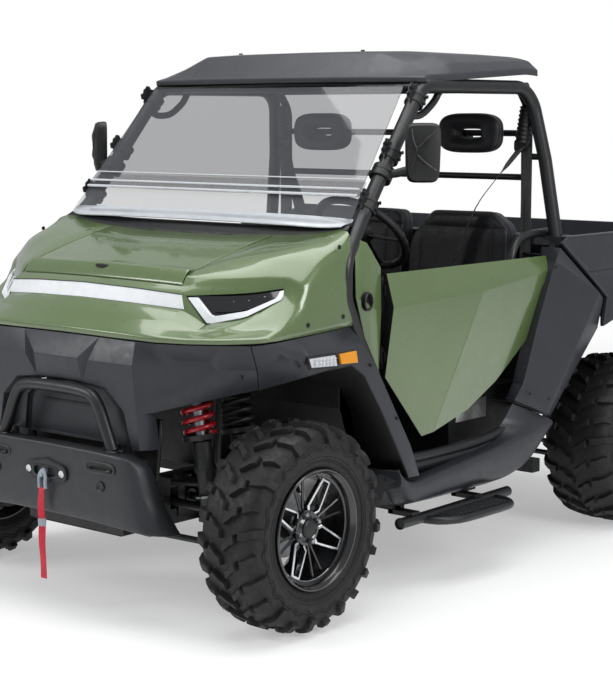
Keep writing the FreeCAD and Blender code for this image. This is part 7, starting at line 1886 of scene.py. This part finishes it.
def set_stage():
    """Pale floor that fades into a white backdrop, three soft lamps and the photograph's camera."""
    scene = bpy.context.scene
    scene.view_settings.view_transform = "Standard"
    mesh = bpy.data.meshes.new("studio_floor")
    mesh.from_pydata([(x * FLOOR_HALF, y * FLOOR_HALF, 0.0) for x,
                      y in ((-1, -1), (1, -1), (1, 1), (-1, 1))], [], [(0, 1, 2, 3)])
    mesh.materials.append(stage_floor())
    floor = bpy.data.objects.new("studio_floor", mesh)
    scene.collection.objects.link(floor)
    world = scene.world or bpy.data.worlds.new("studio")
    scene.world = world
    world.use_nodes = True
    tree = world.node_tree
    tree.nodes.clear()
    ray = add_node(tree, "ShaderNodeLightPath")
    seen = add_node(tree, "ShaderNodeMath",
                    {0: ray.outputs["Is Camera Ray"], 1: ray.outputs["Is Transmission Ray"]},
                    operation="MAXIMUM")
    soft = add_node(tree, "ShaderNodeBackground", {"Color": tone("#f2f4f7"), "Strength": 0.5})
    white = add_node(tree, "ShaderNodeBackground", {"Color": (1, 1, 1, 1), "Strength": 1.0})
    mix = add_node(tree, "ShaderNodeMixShader", {0: seen.outputs["Value"], 1: soft.outputs["Background"],
                                                 2: white.outputs["Background"]})
    add_node(tree, "ShaderNodeOutputWorld", {"Surface": mix.outputs["Shader"]})
    # name, place and aim in metres, side in metres, power in watts
    lamps = (("overhead", (0.4, -0.6, 4.6), (0.0, -0.2, 0.4), 4.2, 175.0),
             ("front_left", (-3.2, -5.4, 3.4), (0.0, -0.8, 0.6), 2.2, 115.0),
             ("right_side", (5.2, -0.6, 3.0), (0.0, 0.0, 0.7), 1.8, 95.0))
    for name, place, aim, size, power in lamps:
        lamp = bpy.data.lights.new(name, "AREA")
        lamp.size = size
        lamp.energy = power
        holder = bpy.data.objects.new(name, lamp)
        holder.location = place
        holder.rotation_euler = (Vector(aim) - Vector(place)).to_track_quat("-Z", "Y").to_euler()
        scene.collection.objects.link(holder)
    lens = bpy.data.cameras.new("photograph")
    lens.sensor_width = 36.0
    lens.lens = FOCAL_LENGTH
    lens.shift_x = SIDE_SHIFT
    lens.clip_end = 100.0
    camera = bpy.data.objects.new("photograph", lens)
    camera.location = CAMERA_PLACE
    way = Vector(CAMERA_AIM) - camera.location
    camera.rotation_euler = way.to_track_quat("-Z", "Y").to_euler()
    scene.collection.objects.link(camera)
    scene.camera = camera


NODE_FINISHES = {
    "panel": ("nose_shell", "hood", "door_left", "door_right", "kick_panels"),
    "moulding": ("front_fascia", "front_flares", "rear_fenders", "sills", "dash", "bed", "tailgate"),
    "dark_moulding": ("cab_tub", "seat_base", "roof", "mirrors", "steering_wheel"),
    "tube": ("roll_cage", "bumper_hoop", "side_steps", "wishbones", "windscreen_clamps"),
    "plate": ("bumper",),
    "chassis": ("main_frame", "skid_plate", "rack_housing", "rack_bar", "half_shafts", "hitch_receiver"),
    "casting": ("drive_units", "winch", "knuckle_left", "knuckle_right", "rear_hubs"),
    "steel": ("fairlead", "winch_hook", "shocks"),
    "spring": ("springs",),
    "light": ("light_bar",),
    "lens": ("headlights",),
    "red_lens": ("tail_lamps",),
    "lower_glass": ("windscreen",),
    "vinyl": ("seat_cushions", "seat_backs", "headrests"),
    "webbing": ("seat_belts",),
    "strap": ("winch_strap",),
    "battery": ("battery",),
    "tyre": ("tyre_front_left", "tyre_front_right", "tyre_rear_left", "tyre_rear_right"),
    "alloy": ("rim_front_left", "rim_front_right", "rim_rear_left", "rim_rear_right"),
}


def finish_nodes():
    """Gives every solid of the frame its finish."""
    left = set(NODES)
    for finish, names in NODE_FINISHES.items():
        for name in names:
            node = NODES[name]
            node.data.materials.clear()
            node.data.materials.append(FINISHES[finish])
            left.discard(name)
    if left:
        raise RuntimeError("no finish for " + ", ".join(sorted(left)))


class VehicleOperator(bpy.types.Operator):
    """Step of dressing the vehicle; it builds its pieces or raises an error."""
    bl_options = {"REGISTER", "UNDO"}

    def execute(self, context):
        type(self).build()
        return {"FINISHED"}


class VEHICLE_OT_finishes(VehicleOperator):
    """Make the finishes and give them to the frame's solids"""
    bl_idname = "vehicle.finishes"
    bl_label = "Finishes"
    build = staticmethod(make_finishes)


class VEHICLE_OT_stage(VehicleOperator):
    """Set the floor, the lamps and the camera"""
    bl_idname = "vehicle.stage"
    bl_label = "Stage"
    build = staticmethod(set_stage)


class VEHICLE_OT_strap(VehicleOperator):
    """Lay the pull strap with its tag and rope eye"""
    bl_idname = "vehicle.strap"
    bl_label = "Pull strap"
    build = staticmethod(make_strap)


class VEHICLE_OT_wheels(VehicleOperator):
    """Mould the four tyres and cast their wheels"""
    bl_idname = "vehicle.wheels"
    bl_label = "Wheels"
    build = staticmethod(make_wheels)


class VEHICLE_OT_nose(VehicleOperator):
    """Mould the nose, its tray and the cowl strip"""
    bl_idname = "vehicle.nose"
    bl_label = "Nose"
    build = staticmethod(make_nose)


class VEHICLE_OT_hood(VehicleOperator):
    """Mould the hood lid with its latch"""
    bl_idname = "vehicle.hood"
    bl_label = "Hood"
    build = staticmethod(make_hood)


class VEHICLE_OT_lamps(VehicleOperator):
    """Make the light bar and the headlights"""
    bl_idname = "vehicle.lamps"
    bl_label = "Lamps"
    build = staticmethod(make_lamps)


class VEHICLE_OT_fascia(VehicleOperator):
    """Mould the front fascia"""
    bl_idname = "vehicle.fascia"
    bl_label = "Fascia"
    build = staticmethod(make_fascia)


class VEHICLE_OT_flares(VehicleOperator):
    """Mould the wing flares, their liners and markers"""
    bl_idname = "vehicle.flares"
    bl_label = "Flares"
    build = staticmethod(make_flares)


class VEHICLE_OT_bumper(VehicleOperator):
    """Press the bumper and bend its hoop"""
    bl_idname = "vehicle.bumper"
    bl_label = "Bumper"
    build = staticmethod(make_bumper)


class VEHICLE_OT_fairlead(VehicleOperator):
    """Cast the hawse fairlead"""
    bl_idname = "vehicle.fairlead"
    bl_label = "Fairlead"
    build = staticmethod(make_fairlead)


class VEHICLE_OT_lower_grille(VehicleOperator):
    """Press the dark panel behind the bumper, painted shade under the fascia"""
    bl_idname = "vehicle.lower_grille"
    bl_label = "Shade filler"
    build = staticmethod(make_shade_filler)


class VEHICLE_OT_doors(VehicleOperator):
    """Mould the half doors with their hinges and latches"""
    bl_idname = "vehicle.doors"
    bl_label = "Doors"
    build = staticmethod(make_doors)


class VEHICLE_OT_kick_panels(VehicleOperator):
    """Mould the panels ahead of the doors"""
    bl_idname = "vehicle.kick_panels"
    bl_label = "Kick panels"
    build = staticmethod(make_kick_panels)


class VEHICLE_OT_sills(VehicleOperator):
    """Mould the sill covers"""
    bl_idname = "vehicle.sills"
    bl_label = "Sills"
    build = staticmethod(make_sills)


class VEHICLE_OT_rear_fenders(VehicleOperator):
    """Mould the rear wings and their liners"""
    bl_idname = "vehicle.rear_fenders"
    bl_label = "Rear fenders"
    build = staticmethod(make_rear_fenders)


class VEHICLE_OT_steps(VehicleOperator):
    """Bend the step bars and press their treads"""
    bl_idname = "vehicle.steps"
    bl_label = "Side steps"
    build = staticmethod(make_steps)


class VEHICLE_OT_roof(VehicleOperator):
    """Mould the roof"""
    bl_idname = "vehicle.roof"
    bl_label = "Roof"
    build = staticmethod(make_roof)


class VEHICLE_OT_mirrors(VehicleOperator):
    """Make the side mirrors"""
    bl_idname = "vehicle.mirrors"
    bl_label = "Mirrors"
    build = staticmethod(make_mirrors)


class VEHICLE_OT_cushions(VehicleOperator):
    """Sew and fill the seat cushions"""
    bl_idname = "vehicle.cushions"
    bl_label = "Seat cushions"
    build = staticmethod(make_seat_cushions)


class VEHICLE_OT_backs(VehicleOperator):
    """Sew and fill the seat backs"""
    bl_idname = "vehicle.backs"
    bl_label = "Seat backs"
    build = staticmethod(make_seat_backs)


class VEHICLE_OT_headrests(VehicleOperator):
    """Mould the headrests"""
    bl_idname = "vehicle.headrests"
    bl_label = "Headrests"
    build = staticmethod(make_headrests)


class VEHICLE_OT_belts(VehicleOperator):
    """Hang the belts with their boots and buckles"""
    bl_idname = "vehicle.belts"
    bl_label = "Seat belts"
    build = staticmethod(make_belts)


class VEHICLE_OT_windscreen(VehicleOperator):
    """Cut the two sheets of the windscreen and clamp them"""
    bl_idname = "vehicle.windscreen"
    bl_label = "Windscreen"
    build = staticmethod(make_windscreen)


class VEHICLE_OT_dash(VehicleOperator):
    """Mould the dash with its switches"""
    bl_idname = "vehicle.dash"
    bl_label = "Dash"
    build = staticmethod(make_dash)


class VEHICLE_OT_steering_wheel(VehicleOperator):
    """Make the steering wheel"""
    bl_idname = "vehicle.steering_wheel"
    bl_label = "Steering wheel"
    build = staticmethod(make_steering_wheel)


class VEHICLE_OT_bed(VehicleOperator):
    """Mould the cargo bed"""
    bl_idname = "vehicle.bed"
    bl_label = "Bed"
    build = staticmethod(make_bed)


class VEHICLE_OT_tailgate(VehicleOperator):
    """Mould the tailgate"""
    bl_idname = "vehicle.tailgate"
    bl_label = "Tailgate"
    build = staticmethod(make_tailgate)


class VEHICLE_OT_tail_lamps(VehicleOperator):
    """Make the tail lamps"""
    bl_idname = "vehicle.tail_lamps"
    bl_label = "Tail lamps"
    build = staticmethod(make_tail_lamps)


class VEHICLE_OT_springs(VehicleOperator):
    """Wind the coil springs"""
    bl_idname = "vehicle.springs"
    bl_label = "Springs"
    build = staticmethod(make_springs)


class VEHICLE_OT_soft_edges(VehicleOperator):
    """Round the edges of the large rigid parts"""
    bl_idname = "vehicle.soft_edges"
    bl_label = "Soft edges"
    build = staticmethod(make_soft_edges)


class VEHICLE_OT_cage_trim(VehicleOperator):
    """Bend the grab handles and hip bars"""
    bl_idname = "vehicle.cage_trim"
    bl_label = "Cage trim"
    build = staticmethod(make_cage_trim)


STEPS = (VEHICLE_OT_finishes, VEHICLE_OT_stage, VEHICLE_OT_strap, VEHICLE_OT_wheels, VEHICLE_OT_nose,
         VEHICLE_OT_hood, VEHICLE_OT_lamps, VEHICLE_OT_fascia, VEHICLE_OT_flares, VEHICLE_OT_bumper,
         VEHICLE_OT_fairlead, VEHICLE_OT_lower_grille, VEHICLE_OT_doors, VEHICLE_OT_kick_panels,
         VEHICLE_OT_sills, VEHICLE_OT_rear_fenders, VEHICLE_OT_steps, VEHICLE_OT_roof, VEHICLE_OT_mirrors,
         VEHICLE_OT_cushions, VEHICLE_OT_backs, VEHICLE_OT_headrests, VEHICLE_OT_belts,
         VEHICLE_OT_windscreen, VEHICLE_OT_dash, VEHICLE_OT_steering_wheel, VEHICLE_OT_bed,
         VEHICLE_OT_tailgate, VEHICLE_OT_tail_lamps, VEHICLE_OT_springs, VEHICLE_OT_soft_edges,
         VEHICLE_OT_cage_trim)


class VEHICLE_PT_panel(bpy.types.Panel):
    """Sidebar panel with the vehicle's sizes, colours and steps"""
    bl_idname = "VEHICLE_PT_panel"
    bl_label = "Utility Vehicle"
    bl_space_type = "VIEW_3D"
    bl_region_type = "UI"
    bl_category = "Utility Vehicle"

    def draw(self, context):
        for group in (context.scene.vehicle_sizes, context.scene.vehicle_colours):
            for key in group.__annotations__:
                self.layout.prop(group, key)
        for step in STEPS:
            self.layout.operator(step.bl_idname)


CLASSES = (VehicleSizes, VehicleColours) + STEPS + (VEHICLE_PT_panel,)


def register():
    for kind in CLASSES:
        bpy.utils.register_class(kind)
    bpy.types.Scene.vehicle_sizes = bpy.props.PointerProperty(type=VehicleSizes)
    bpy.types.Scene.vehicle_colours = bpy.props.PointerProperty(type=VehicleColours)


def unregister():
    del bpy.types.Scene.vehicle_colours
    del bpy.types.Scene.vehicle_sizes
    for kind in reversed(CLASSES):
        bpy.utils.unregister_class(kind)


def main():
    """Registers the add-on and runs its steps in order."""
    register()
    for step in STEPS:
        group, name = step.bl_idname.split(".")
        getattr(getattr(bpy.ops, group), name)()


if __name__ == "__main__":
    main()
